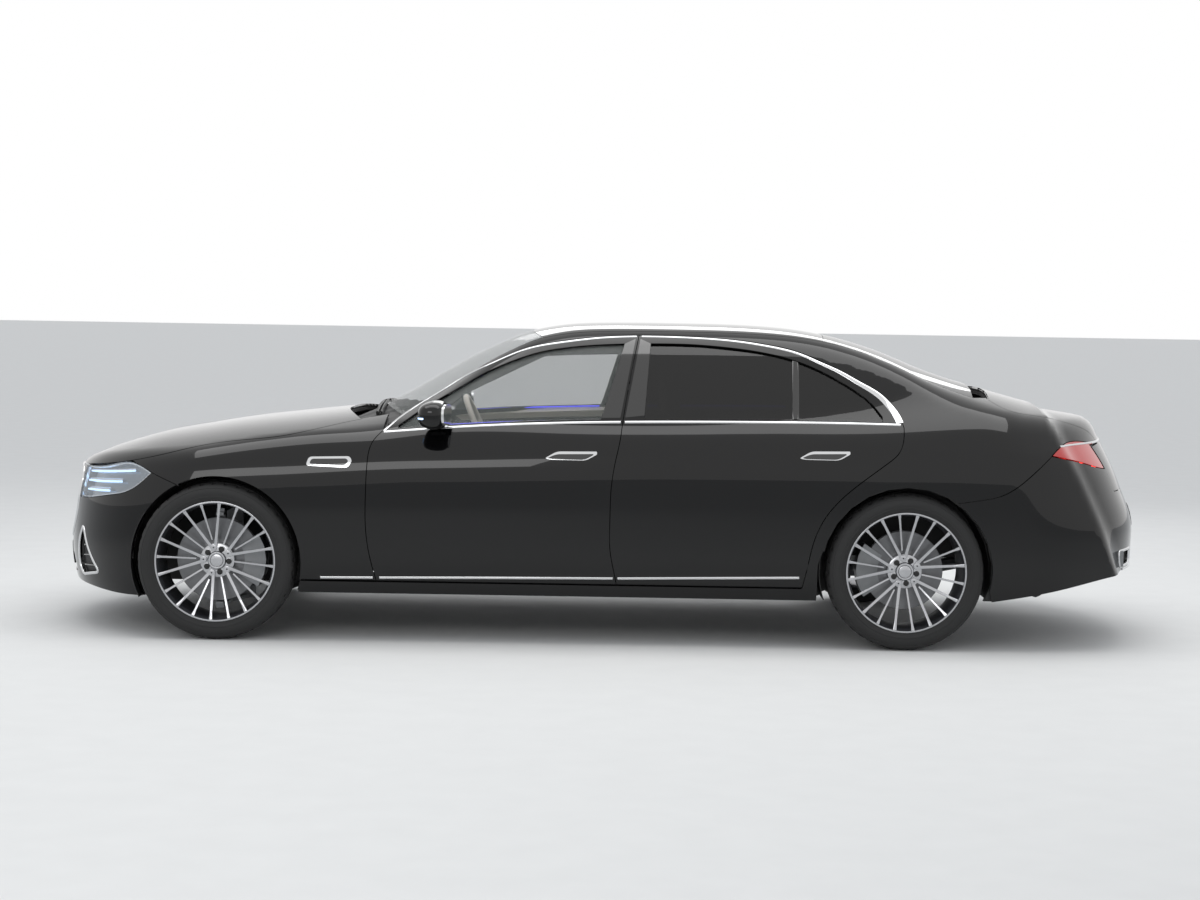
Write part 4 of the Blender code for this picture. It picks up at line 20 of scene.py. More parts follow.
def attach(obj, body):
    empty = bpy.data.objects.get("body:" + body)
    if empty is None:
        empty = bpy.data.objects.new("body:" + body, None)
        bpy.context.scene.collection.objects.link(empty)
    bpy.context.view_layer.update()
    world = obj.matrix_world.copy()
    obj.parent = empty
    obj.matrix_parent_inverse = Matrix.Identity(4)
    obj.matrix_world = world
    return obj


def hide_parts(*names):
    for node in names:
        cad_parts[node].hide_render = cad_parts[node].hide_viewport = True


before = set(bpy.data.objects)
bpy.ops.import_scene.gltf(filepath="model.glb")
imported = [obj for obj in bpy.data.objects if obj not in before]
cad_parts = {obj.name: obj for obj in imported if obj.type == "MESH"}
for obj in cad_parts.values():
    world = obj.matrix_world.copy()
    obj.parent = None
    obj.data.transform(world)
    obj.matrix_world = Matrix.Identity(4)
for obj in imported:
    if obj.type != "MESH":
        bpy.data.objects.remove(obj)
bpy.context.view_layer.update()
LOG = logging.getLogger("saloon")

Pairs = Iterable[tuple[float, float]]
Loop = list[tuple[float, float]]

# The car's own sizes, in metres
WHEELBASE = 3.216
HEIGHT = 1.503
HALF_WIDTH = 0.960
FRONT_AXLE_X = -1.795
REAR_AXLE_X = FRONT_AXLE_X + WHEELBASE
AXLE_Z = 0.366
TRACK_HALF = 0.830
ARCH_RADIUS = 0.397
AXIS_Z = 0.40 * HEIGHT
# Closest points of a mesh that are welded into one
WELD = 0.00002


class End(float, Enum):
    """An end of the car, as the sign of its direction along X."""

    NOSE = -1.0
    TAIL = 1.0


# The body form, as shares of the wheelbase, the height and half the width
PLAN_SHARES = (
    (-0.267, 0.938), (-0.187, 0.967), (-0.093, 0.985), (0.0, 0.995), (0.155, 0.997), (0.466, 0.997),
    (0.777, 1.0), (0.995, 1.002), (1.15, 0.995), (1.275, 0.974), (1.377, 0.943))
SHOULDER_SHARES = (
    (-0.267, 0.506), (-0.187, 0.532), (-0.109, 0.56), (-0.025, 0.588), (0.118, 0.613), (0.233, 0.632),
    (0.342, 0.643), (0.553, 0.661), (0.715, 0.669), (0.855, 0.673), (0.995, 0.671), (1.135, 0.66),
    (1.222, 0.645), (1.306, 0.629), (1.377, 0.609))
DECK_SHARES = (
    (-0.267, 0.476), (-0.249, 0.511), (-0.218, 0.547), (-0.187, 0.574), (-0.155, 0.596), (-0.115, 0.619),
    (-0.075, 0.635), (0.019, 0.667), (0.081, 0.683), (0.146, 0.699), (0.224, 0.723), (0.311, 0.772),
    (0.498, 0.805), (0.808, 0.818), (0.995, 0.805), (1.088, 0.784), (1.157, 0.764), (1.244, 0.735),
    (1.306, 0.715), (1.377, 0.685))
DECK_FALL_SHARES = (
    (-0.267, 0.067), (-0.155, 0.077), (0.0, 0.08), (0.187, 0.083), (0.311, 0.126), (0.498, 0.163),
    (0.808, 0.17), (0.995, 0.15), (1.088, 0.11), (1.157, 0.086), (1.266, 0.113), (1.377, 0.126))
NOSE_SHARES = (
    (0.067, -0.24), (0.133, -0.255), (0.2, -0.261), (0.279, -0.262), (0.366, -0.258), (0.426, -0.255),
    (0.479, -0.251), (0.532, -0.248), (0.632, -0.242))
TAIL_SHARES = (
    (0.067, 1.337), (0.133, 1.359), (0.213, 1.376), (0.299, 1.379), (0.373, 1.379), (0.423, 1.373),
    (0.474, 1.363), (0.542, 1.35), (0.609, 1.335), (0.652, 1.325), (0.683, 1.319), (0.732, 1.309))
BELT_SHARES = (
    (0.155, 0.635), (0.236, 0.649), (0.342, 0.668), (0.491, 0.685), (0.684, 0.695), (0.871, 0.699),
    (0.995, 0.697), (1.182, 0.685))
CABIN_SHARES = (
    (0.171, 0.833), (0.28, 0.862), (0.435, 0.877), (0.622, 0.881), (0.808, 0.873), (0.933, 0.852),
    (1.026, 0.825), (1.119, 0.786), (1.182, 0.75))
ROOF_SHARES = (
    (0.155, 0.625), (0.22, 0.717), (0.271, 0.78), (0.302, 0.82), (0.334, 0.86), (0.365, 0.897),
    (0.397, 0.929), (0.428, 0.957), (0.46, 0.976), (0.491, 0.988), (0.523, 0.995), (0.554, 0.998),
    (0.617, 1.0), (0.68, 1.0), (0.743, 0.999), (0.806, 0.994), (0.855, 0.985), (0.9, 0.969),
    (0.932, 0.953), (0.963, 0.934), (0.995, 0.91), (1.026, 0.883), (1.058, 0.852), (1.089, 0.82),
    (1.121, 0.788), (1.15, 0.76), (1.213, 0.705))
SCREEN_BOW_SHARES = (
    (0.19, 0.086), (0.31, 0.08), (0.466, 0.04), (0.62, 0.009), (0.746, 0.0), (0.9, -0.017),
    (1.026, -0.046), (1.15, -0.063))
CABIN_FILLET_SHARES = ((0.155, 0.02), (0.808, 0.02), (0.995, 0.067), (1.119, 0.133), (1.244, 0.133))
NOSE_LENGTH_SHARE = 0.224
TAIL_LENGTH_SHARE = 0.202
PLAN_POWER_SHARE = 2.3
END_POWER_SHARE = 2.1
TUCK_START_SHARE = 0.3
TUCK_SHARE = 2.12
SHOULDER_TURN_SHARE = 3.65
SHOULDER_REACH_SHARE = 0.126
BARREL_SHARE = 0.176
BARREL_MIDDLE_SHARE = 0.4
SOFT_SHARE = 0.02
DECK_EDGE_SHARE = 0.037
CABIN_LEAN_SHARE = 0.658
CABIN_CURVE_SHARE = 1.106
CABIN_SINK_SHARE = 0.067
ROOF_CROWN_SHARE = 0.0613
ROOF_EDGE_SHARE = 0.047
SCREEN_DROP_SHARE = 3.2
SCREEN_START_SHARE = 0.155
BACKLIGHT_DROP_SHARE = 4.3
BACKLIGHT_END_SHARE = 1.213

# Shut lines and edges in side view: share of the wheelbase, share of the height
FRONT_DOOR_LEAD_SHARES = (
    (0.233, 0.191), (0.224, 0.265), (0.218, 0.345), (0.217, 0.456), (0.2185, 0.556), (0.225, 0.622),
    (0.2385, 0.655))
FRONT_DOOR_TOP_SHARES = (
    (0.2385, 0.655), (0.261, 0.7), (0.287, 0.738), (0.317, 0.778), (0.346, 0.818), (0.376, 0.853),
    (0.406, 0.884), (0.435, 0.911), (0.465, 0.929), (0.495, 0.94), (0.554, 0.956), (0.6095, 0.962))
DOOR_SPLIT_SHARES = (
    (0.6095, 0.962), (0.586, 0.683), (0.583, 0.638), (0.577, 0.578), (0.571, 0.487), (0.570, 0.394),
    (0.571, 0.296), (0.576, 0.24), (0.581, 0.191))
REAR_DOOR_TOP_SHARES = (
    (0.6095, 0.962), (0.643, 0.962), (0.703, 0.959), (0.762, 0.95), (0.802, 0.938), (0.85, 0.914),
    (0.879, 0.888), (0.908, 0.860), (0.936, 0.826), (0.965, 0.788), (0.981, 0.751), (0.99, 0.72),
    (0.9945, 0.69))
REAR_DOOR_TRAIL_SHARES = (
    (0.9945, 0.69), (0.993, 0.655), (0.985, 0.612), (0.971, 0.585), (0.951, 0.553), (0.926, 0.512),
    (0.899, 0.46), (0.879, 0.405), (0.864, 0.33), (0.856, 0.25), (0.85, 0.191))
FRONT_WINDOW_TOP_SHARES = (
    (0.26, 0.671), (0.287, 0.714), (0.32, 0.758), (0.353, 0.8), (0.38, 0.834), (0.406, 0.861),
    (0.435, 0.886), (0.465, 0.906), (0.495, 0.918), (0.54, 0.929), (0.588, 0.935))
FRONT_WINDOW_BACK_SHARES = ((0.588, 0.935), (0.571, 0.80), (0.5545, 0.702))
REAR_WINDOW_FRONT_SHARES = ((0.6185, 0.713), (0.622, 0.80), (0.627, 0.937))
REAR_WINDOW_TOP_SHARES = (
    (0.627, 0.937), (0.68, 0.937), (0.74, 0.929), (0.792, 0.915), (0.843, 0.889), (0.872, 0.865),
    (0.9, 0.835), (0.928, 0.799), (0.952, 0.758), (0.965, 0.722))
QUARTER_SEAM_SHARES = (
    (1.21, 0.611), (1.172, 0.541), (1.154, 0.511), (1.133, 0.487), (1.107, 0.474), (1.07, 0.462))
BOOT_SEAM_SHARES = ((1.127, 0.78), (1.142, 0.757), (1.201, 0.728), (1.262, 0.697), (1.292, 0.668),
                    (1.305, 0.637))
REAR_LOW_SHARES = ((1.125, 0.153), (1.188, 0.176), (1.25, 0.204), (1.30, 0.227), (1.4, 0.255))
BONNET_SEAM_SHARES = (
    (-0.30, 0.515), (-0.209, 0.521), (-0.170, 0.532), (-0.13, 0.546), (-0.084, 0.568), (-0.027, 0.598),
    (0.03, 0.617), (0.089, 0.632), (0.14, 0.655), (0.186, 0.677), (0.24, 0.70))
FENDER_SEAM_SHARES = ((-0.096, 0.514), (-0.053, 0.477))
SILL_LOW_SHARE = 0.148
SILL_TOP_SHARE = 0.1875

# Outlines seen from above: share of the wheelbase, share of half the width
GLASS_EDGE_SHARES = (
    (0.262, 0.735), (0.30, 0.69), (0.36, 0.635), (0.43, 0.595), (0.50, 0.575), (0.62, 0.57),
    (0.76, 0.575), (0.87, 0.58), (0.95, 0.587), (1.02, 0.60), (1.07, 0.632), (1.105, 0.672))
SCREEN_BASE_SHARES = ((0.222, 0.0), (0.2245, 0.2), (0.232, 0.4), (0.245, 0.58), (0.262, 0.735))
SCREEN_TOP_SHARES = ((0.447, 0.0), (0.449, 0.2), (0.456, 0.4), (0.466, 0.582))
BACKLIGHT_TOP_SHARES = ((0.893, 0.0), (0.8925, 0.2), (0.889, 0.4), (0.884, 0.581))
BACKLIGHT_BASE_SHARES = ((1.117, 0.0), (1.116, 0.2), (1.113, 0.4), (1.105, 0.672))
BONNET_REAR_SHARES = ((0.166, 0.0), (0.168, 0.2), (0.176, 0.4), (0.189, 0.58), (0.211, 0.80), (0.222, 0.9))
BOOT_FRONT_SHARES = ((1.142, 0.0), (1.141, 0.2), (1.138, 0.4), (1.128, 0.68), (1.122, 0.8))
BOOT_FACE_HALF_WIDTH_SHARE = 0.60
BOOT_FACE_LOW_SHARE = 0.488
GRILLE_HALF_WIDTH_SHARE = 0.50
GRILLE_LOW_HALF_WIDTH_SHARE = 0.44
GRILLE_TOP_SHARE = 0.5155
GRILLE_LOW_SHARE = 0.272
LAMP_INNER_SHARE = 0.512
TAIL_LAMP_INNER_SHARE = 0.612


class Spline:
    """A natural cubic curve through (place, value) pairs."""

    def __init__(self, pairs: Pairs) -> None:
        """Fit the curve.

        Args:
            pairs: Places in rising order, each with its value.
        """
        self.places, self.values = np.array(list(pairs), float).T
        spans = np.diff(self.places)
        system = np.eye(len(self.places))
        slopes = np.zeros(len(self.places))
        for i in range(1, len(self.places) - 1):
            system[i, i - 1:i + 2] = spans[i - 1], 2 * (spans[i - 1] + spans[i]), spans[i]
            slopes[i] = 6 * ((self.values[i + 1] - self.values[i]) / spans[i]
                             - (self.values[i] - self.values[i - 1]) / spans[i - 1])
        self.bends = np.linalg.solve(system, slopes)

    def __call__(self, where: np.ndarray) -> np.ndarray:
        """Return the curve's values.

        Args:
            where: Places, held inside the curve's ends.

        Returns:
            One value for each place.
        """
        inside = np.clip(np.asarray(where, float), self.places[0], self.places[-1])
        i = np.clip(np.searchsorted(self.places, inside) - 1, 0, len(self.places) - 2)
        before, after = self.places[i + 1] - inside, inside - self.places[i]
        span = self.places[i + 1] - self.places[i]
        curve = (self.bends[i] * before ** 3 + self.bends[i + 1] * after ** 3) / (6 * span)
        start = self.values[i] / span - self.bends[i] * span / 6
        end = self.values[i + 1] / span - self.bends[i + 1] * span / 6
        return curve + start * before + end * after


def blend_high(first: np.ndarray, second: np.ndarray, width: np.ndarray | float) -> np.ndarray:
    """Return the larger value, with the corner between the two rounded over a width."""
    near = np.clip(width - np.abs(first - second), 0, None) / width
    return np.maximum(first, second) + near * near * width / 4


def ramp(value: np.ndarray, width: float) -> np.ndarray:
    """Return zero below zero and the value above it, with a soft start."""
    return width * np.logaddexp(0, value / width)


class BodyForm:
    """The car's outer skin as a smooth field, the same one that the CAD panels follow."""

    def __init__(self) -> None:
        """Fit the form's curves."""
        self.plan, self.shoulder = Spline(PLAN_SHARES), Spline(SHOULDER_SHARES)
        self.deck, self.fall = Spline(DECK_SHARES), Spline(DECK_FALL_SHARES)
        self.nose, self.tail = Spline(NOSE_SHARES), Spline(TAIL_SHARES)
        self.belt, self.cabin, self.roof = Spline(BELT_SHARES), Spline(CABIN_SHARES), Spline(ROOF_SHARES)
        self.bow, self.fillet = Spline(SCREEN_BOW_SHARES), Spline(CABIN_FILLET_SHARES)

    def level(self, places: np.ndarray) -> np.ndarray:
        """Return how far outside the skin places lie, roughly in metres.

        Args:
            places: Points, one in each row.

        Returns:
            One value for each point, negative inside the body.
        """
        x, y, z = places[..., 0], places[..., 1], places[..., 2]
        along, across, up = (x - FRONT_AXLE_X) / WHEELBASE, np.abs(y) / HALF_WIDTH, z / HEIGHT
        inset = (TUCK_SHARE * ramp(TUCK_START_SHARE - up, SOFT_SHARE) ** 2
                 + SHOULDER_TURN_SHARE * ramp(up - self.shoulder(along) + SHOULDER_REACH_SHARE,
                                              SOFT_SHARE) ** 2
                 + BARREL_SHARE * (up - BARREL_MIDDLE_SHARE) ** 2)
        plan = np.maximum(self.plan(along) - inset, NOSE_LENGTH_SHARE)
        nose = np.clip((self.nose(up) + NOSE_LENGTH_SHARE - along) / NOSE_LENGTH_SHARE, 0, None)
        tail = np.clip((along - self.tail(up) + TAIL_LENGTH_SHARE) / TAIL_LENGTH_SHARE, 0, None)
        ratio = (across / plan) ** PLAN_POWER_SHARE + nose ** END_POWER_SHARE + tail ** END_POWER_SHARE
        side = np.minimum((ratio - 1) * plan / PLAN_POWER_SHARE, 1) * HALF_WIDTH
        deck = self.deck(along) - self.fall(along) * (across / self.plan(along)) ** 3
        lower = blend_high(side, (up - deck) * HEIGHT, DECK_EDGE_SHARE * HEIGHT)
        rise = np.maximum(up - self.belt(along), -CABIN_SINK_SHARE)
        lean = self.cabin(along) - CABIN_LEAN_SHARE * rise - CABIN_CURVE_SHARE * rise ** 2 * np.sign(rise)
        glass_side = (across - lean) * HALF_WIDTH * math.cos(CABIN_LEAN_SHARE)
        bowed = along - self.bow(along) * across ** 2
        ends = (SCREEN_DROP_SHARE * np.clip(SCREEN_START_SHARE - along, 0, None)
                + BACKLIGHT_DROP_SHARE * np.clip(along - BACKLIGHT_END_SHARE, 0, None))
        roof = (up - self.roof(bowed) + ROOF_CROWN_SHARE * across ** 2 + ends) * HEIGHT
        upper = blend_high(glass_side, roof, ROOF_EDGE_SHARE * HEIGHT)
        return -blend_high(-lower, -upper, self.fillet(along) * HEIGHT)

    def slope(self, places: np.ndarray, step: float = 0.0004) -> np.ndarray:
        """Return the field's slope at places, from differences over a step."""
        slope = np.empty_like(places)
        for axis in range(3):
            shift = np.zeros(3)
            shift[axis] = step
            slope[..., axis] = (self.level(places + shift) - self.level(places - shift)) / (2 * step)
        return slope

    def normal(self, places: np.ndarray) -> np.ndarray:
        """Return the skin's outward direction at places."""
        slope = self.slope(places)
        return slope / np.maximum(np.linalg.norm(slope, axis=-1, keepdims=True), 1e-9)

    def distance(self, places: np.ndarray) -> np.ndarray:
        """Return how far outside the skin places lie, in metres, for places near it."""
        return self.level(places) / np.maximum(np.linalg.norm(self.slope(places), axis=-1), 0.2)

    def cast(self, starts: np.ndarray, ways: np.ndarray, reach: float = 2.6) -> np.ndarray:
        """Return where rays from inside the body leave it.

        Args:
            starts: Points inside the body.
            ways: A direction of length one for each.
            reach: The longest distance looked at.

        Returns:
            The places on the skin.
        """
        near, far = np.zeros(len(starts)), np.full(len(starts), reach)
        for _ in range(30):
            middle = (near + far) / 2
            inside = self.level(starts + ways * middle[:, None]) < 0
            near, far = np.where(inside, middle, near), np.where(inside, far, middle)
        return starts + ways * near[:, None]

    def on_side(self, points: Pairs) -> np.ndarray:
        """Return the left side's places seen at (x, z)."""
        points = np.array(list(points), float)
        starts = np.column_stack([points[:, 0], np.zeros(len(points)), points[:, 1]])
        return self.cast(starts, np.tile((0.0, -1.0, 0.0), (len(points), 1)))

    def on_top(self, points: Pairs) -> np.ndarray:
        """Return the upper skin's places seen at (x, y)."""
        points = np.array(list(points), float)
        starts = np.column_stack([points, np.full(len(points), AXIS_Z)])
        return self.cast(starts, np.tile((0.0, 0.0, 1.0), (len(points), 1)))

    def on_end(self, points: Pairs, towards: End) -> np.ndarray:
        """Return the places at one end of the car seen at (y, z)."""
        points = np.array(list(points), float)
        starts = np.column_stack([np.full(len(points), towards * 1.6), points])
        return self.cast(starts, np.tile((towards, 0.0, 0.0), (len(points), 1)))


FORM = BodyForm()


@dataclass(frozen=True)
class AxisChart:
    """Flat coordinates (x, arc) on the skin, from rays that leave the car's long axis sideways and up."""

    radius: float = 0.9

    def place(self, flat: np.ndarray) -> np.ndarray:
        """Return the skin's places for flat points."""
        angle = flat[:, 1] / self.radius
        starts = np.column_stack([flat[:, 0], np.zeros(len(flat)), np.full(len(flat), AXIS_Z)])
        return FORM.cast(starts, np.column_stack([np.zeros(len(flat)), -np.cos(angle), np.sin(angle)]))

    def find(self, places: np.ndarray) -> Loop:
        """Return the flat points of places."""
        arc = np.arctan2(places[:, 2] - AXIS_Z, -places[:, 1]) * self.radius
        return list(zip(places[:, 0], arc))


@dataclass(frozen=True)
class PostChart:
    """Flat coordinates (arc, z) on an end of the car, from rays that leave an upright post level."""

    post_x: float
    towards: End
    radius: float = 0.95

    def place(self, flat: np.ndarray) -> np.ndarray:
        """Return the skin's places for flat points."""
        angle = flat[:, 0] / self.radius
        starts = np.column_stack([np.full(len(flat), self.post_x), np.zeros(len(flat)), flat[:, 1]])
        ways = np.column_stack([self.towards * np.cos(angle), -np.sin(angle), np.zeros(len(flat))])
        return FORM.cast(starts, ways)

    def find(self, places: np.ndarray) -> Loop:
        """Return the flat points of places."""
        arc = np.arctan2(-places[:, 1], self.towards * (places[:, 0] - self.post_x)) * self.radius
        return list(zip(arc, places[:, 2]))


@dataclass(frozen=True)
class BeamChart:
    """Flat coordinates (arc, y) on the tail, from rays that leave a level beam across the car."""

    beam_x: float
    beam_z: float
    radius: float = 0.5

    def place(self, flat: np.ndarray) -> np.ndarray:
        """Return the skin's places for flat points."""
        angle = flat[:, 0] / self.radius
        starts = np.column_stack([np.full(len(flat), self.beam_x), flat[:, 1],
                                  np.full(len(flat), self.beam_z)])
        return FORM.cast(starts, np.column_stack([np.cos(angle), np.zeros(len(flat)), np.sin(angle)]))

    def find(self, places: np.ndarray) -> Loop:
        """Return the flat points of places."""
        arc = np.arctan2(places[:, 2] - self.beam_z, places[:, 0] - self.beam_x) * self.radius
        return list(zip(arc, places[:, 1]))


Chart = AxisChart | PostChart | BeamChart
ROUND_AXIS = AxisChart()
NOSE_POST = PostChart(-1.62, End.NOSE)
TAIL_POST = PostChart(1.42, End.TAIL)
BOOT_BEAM = BeamChart(1.95, 0.80)


def smooth_line(points: Pairs, pitch: float = 0.018) -> Loop:
    """Return an even-spaced smooth line through points.

    Args:
        points: The line's chosen points.
        pitch: The distance between the points of the result.

    Returns:
        The line from the first point to the last.
    """
    chosen = np.array(list(points), float)
    run = np.concatenate([[0], np.cumsum(np.linalg.norm(np.diff(chosen, axis=0), axis=1))])
    count = max(2, int(run[-1] / pitch) + 1)
    even = np.linspace(0, run[-1], count)
    if len(chosen) < 3:
        return [tuple(chosen[0] + (chosen[-1] - chosen[0]) * s) for s in np.linspace(0, 1, count)]
    return list(zip(*(Spline(zip(run, chosen[:, k]))(even) for k in range(2))))


def metres(shares: Pairs) -> Loop:
    """Return (x, z) places in side view from shares of the wheelbase and the height."""
    return [(FRONT_AXLE_X + x * WHEELBASE, z * HEIGHT) for x, z in shares]


def plan_metres(shares: Pairs, side: float = -1.0) -> Loop:
    """Return (x, y) places from above, from shares of the wheelbase and half the width."""
    return [(FRONT_AXLE_X + x * WHEELBASE, side * y * HALF_WIDTH) for x, y in shares]


def end_metres(shares: Pairs, side: float = 1.0) -> Loop:
    """Return (y, z) places seen from an end, from shares of half the width and the height."""
    return [(side * y * HALF_WIDTH, z * HEIGHT) for y, z in shares]


def side_run(shares: Pairs) -> np.ndarray:
    """Return the places of a smooth line that is drawn in side view."""
    return FORM.on_side(smooth_line(metres(shares)))


def plan_run(shares: Pairs, side: float = -1.0) -> np.ndarray:
    """Return the places of a smooth line that is drawn from above."""
    return FORM.on_top(smooth_line(plan_metres(shares, side)))


def end_run(shares: Pairs, towards: End) -> np.ndarray:
    """Return the places of a smooth line that is drawn from the front or the rear."""
    return FORM.on_end(smooth_line(end_metres(shares)), towards)


def arch_run(axle_x: float, start_deg: float, end_deg: float) -> np.ndarray:
    """Return the places of a wheel arch's edge, its angles counted from the tail side up."""
    angles = np.radians(np.linspace(start_deg, end_deg, max(3, int(abs(end_deg - start_deg) / 2.2))))
    return FORM.on_side(zip(axle_x + ARCH_RADIUS * np.cos(angles), AXLE_Z + ARCH_RADIUS * np.sin(angles)))


def shrunk(loop: Loop, amount: float) -> Loop:
    """Return a closed outline drawn in evenly.

    Args:
        loop: The outline's points, in either sense.
        amount: How far the edge moves in, or out where it is negative.

    Returns:
        The moved outline.
    """
    points = np.array(loop)
    keep = [i for i in range(len(points)) if np.linalg.norm(points[i] - points[i - 1]) > 1e-5]
    points = points[keep]
    area = np.sum(points[:, 0] * np.roll(points[:, 1], -1) - np.roll(points[:, 0], -1) * points[:, 1])
    before, after = points - np.roll(points, 1, axis=0), np.roll(points, -1, axis=0) - points
    before /= np.linalg.norm(before, axis=1)[:, None]
    after /= np.linalg.norm(after, axis=1)[:, None]
    inward = np.column_stack([-(before + after)[:, 1], (before + after)[:, 0]]) * np.sign(area)
    length = np.linalg.norm(inward, axis=1)
    cosine = np.clip(length / 2, 0.45, 1.0)
    shift = inward / np.maximum(length, 1e-9)[:, None] * (amount / cosine)[:, None]
    return [tuple(point) for point in points + shift]


def within(points: np.ndarray, loop: Loop) -> np.ndarray:
    """Return whether each flat point lies inside a closed outline."""
    found = np.zeros(len(points), bool)
    edge = np.array(loop)
    for (ax, ay), (bx, by) in zip(edge, np.roll(edge, -1, axis=0)):
        if ay == by:
            continue
        crosses = (ay > points[:, 1]) != (by > points[:, 1])
        found ^= crosses & (points[:, 0] < (bx - ax) * (points[:, 1] - ay) / (by - ay) + ax)
    return found


def trimmed_grid(outline: Loop, holes: list[Loop], cell: float) -> bmesh.types.BMesh:
    """Return a flat grid cut exactly along an outline and its holes.

    Args:
        outline: The closed outer edge.
        holes: Closed inner edges.
        cell: The size of the grid's cells.

    Returns:
        The cut grid, its points at (u, v, 0).
    """
    low, high = np.min(outline, axis=0) - cell * 0.37, np.max(outline, axis=0) + cell * 0.41
    count = [max(1, int(math.ceil((high[k] - low[k]) / cell))) for k in range(2)]
    bm = bmesh.new()
    bmesh.ops.create_grid(bm, x_segments=count[0], y_segments=count[1], size=0.5)
    bmesh.ops.scale(bm, vec=(high[0] - low[0], high[1] - low[1], 1), verts=bm.verts)
    bmesh.ops.translate(bm, vec=((low[0] + high[0]) / 2, (low[1] + high[1]) / 2, 0), verts=bm.verts)
    size = [(high[k] - low[k]) / count[k] for k in range(2)]
    cells: dict[tuple[int, int], list[bmesh.types.BMFace]] = {}

    def keep(face: bmesh.types.BMFace) -> None:
        """File a face under the cell that it lies in."""
        centre = face.calc_center_median()
        key = (int((centre.x - low[0]) // size[0]), int((centre.y - low[1]) // size[1]))
        cells.setdefault(key, []).append(face)

    for face in bm.faces:
        keep(face)
    for loop in (outline, *holes):
        for start, end in zip(loop, loop[1:] + loop[:1]):
            spans = [[int((min(start[k], end[k]) - low[k] - 1e-6) // size[k]),
                      int((max(start[k], end[k]) - low[k] + 1e-6) // size[k])] for k in range(2)]
            columns, rows = (range(low_cell, high_cell + 1) for low_cell, high_cell in spans)
            near = [face for i in columns for j in rows for face in cells.pop((i, j), [])]
            across = (start[1] - end[1], end[0] - start[0], 0)
            if not near or math.hypot(across[0], across[1]) < 1e-7:
                for face in near:
                    keep(face)
                continue
            edges = {edge for face in near for edge in face.edges}
            verts = {vert for face in near for vert in face.verts}
            cut = bmesh.ops.bisect_plane(bm, geom=near + list(edges) + list(verts), dist=1e-6,
                                         plane_co=(start[0], start[1], 0), plane_no=across)
            for item in cut["geom"]:
                if isinstance(item, bmesh.types.BMFace):
                    keep(item)
    centres = np.array([face.calc_center_median()[:2] for face in bm.faces])
    inside = within(centres, outline)
    for hole in holes:
        inside &= ~within(centres, hole)
    bmesh.ops.delete(bm, geom=[face for face, kept in zip(bm.faces[:], inside) if not kept], context="FACES")
    bmesh.ops.dissolve_degenerate(bm, dist=2e-5, edges=bm.edges)
    return bm


def bevelled(bm: bmesh.types.BMesh, edges: list[bmesh.types.BMEdge], offset: float) -> None:
    """Round edges over an offset."""
    bmesh.ops.bevel(bm, geom=edges, offset=offset, offset_type="OFFSET", segments=2, profile=0.5,
                    affect="EDGES", clamp_overlap=True, material=-1)


def give_piece(name: str, bm: bmesh.types.BMesh, material: bpy.types.Material) -> bpy.types.Object:
    """Return a new object at the origin that holds a mesh."""
    mesh = bpy.data.meshes.new(name)
    bm.to_mesh(mesh)
    bm.free()
    made = bpy.data.objects.new(name, mesh)
    bpy.context.scene.collection.objects.link(made)
    mesh.materials.append(material)
    return made


def follow_form(mesh: bpy.types.Mesh, proud: float) -> None:
    """Give the outer faces of a panel the body form's own normals.

    Args:
        mesh: The panel's mesh.
        proud: How far outside the form the panel's face lies.
    """
    mesh.polygons.foreach_set("use_smooth", [True] * len(mesh.polygons))
    places = np.empty(len(mesh.vertices) * 3)
    mesh.vertices.foreach_get("co", places)
    places = places.reshape(-1, 3)
    corners = np.empty(len(mesh.loops), int)
    mesh.loops.foreach_get("vertex_index", corners)
    flat = np.empty(len(mesh.polygons) * 3)
    mesh.polygons.foreach_get("normal", flat)
    sizes = np.empty(len(mesh.polygons), int)
    mesh.polygons.foreach_get("loop_total", sizes)
    faces = np.repeat(flat.reshape(-1, 3), sizes, axis=0)
    out = FORM.normal(places)[corners]
    near = np.abs(FORM.distance(places) - proud)[corners] < 0.0012
    onto = near & (np.sum(faces * out, axis=1) > 0.55)
    mesh.normals_split_custom_set(np.where(onto[:, None], out, faces).tolist())


# Finishes

def linear(code: str) -> tuple[float, float, float, float]:
    """Return the linear colour of an sRGB hex value such as "#1a1a1c"."""
    parts = [int(code[i:i + 2], 16) / 255 for i in (1, 3, 5)]
    return (*[c / 12.92 if c <= 0.04045 else ((c + 0.055) / 1.055) ** 2.4 for c in parts], 1.0)


def add_node(tree: bpy.types.NodeTree, kind: str, settings: dict | None = None,
             links: dict | None = None) -> bpy.types.Node:
    """Add a shader node.

    Args:
        tree: The material's node tree.
        kind: The node's type name.
        settings: Values for its properties, or for its inputs by name or number.
        links: Output sockets to join to its inputs, by name or number.

    Returns:
        The new node.
    """
    node = tree.nodes.new(kind)
    for key, value in (settings or {}).items():
        if isinstance(key, str) and hasattr(node, key):
            setattr(node, key, value)
        else:
            node.inputs[key].default_value = value
    for key, socket in (links or {}).items():
        tree.links.new(socket, node.inputs[key])
    return node


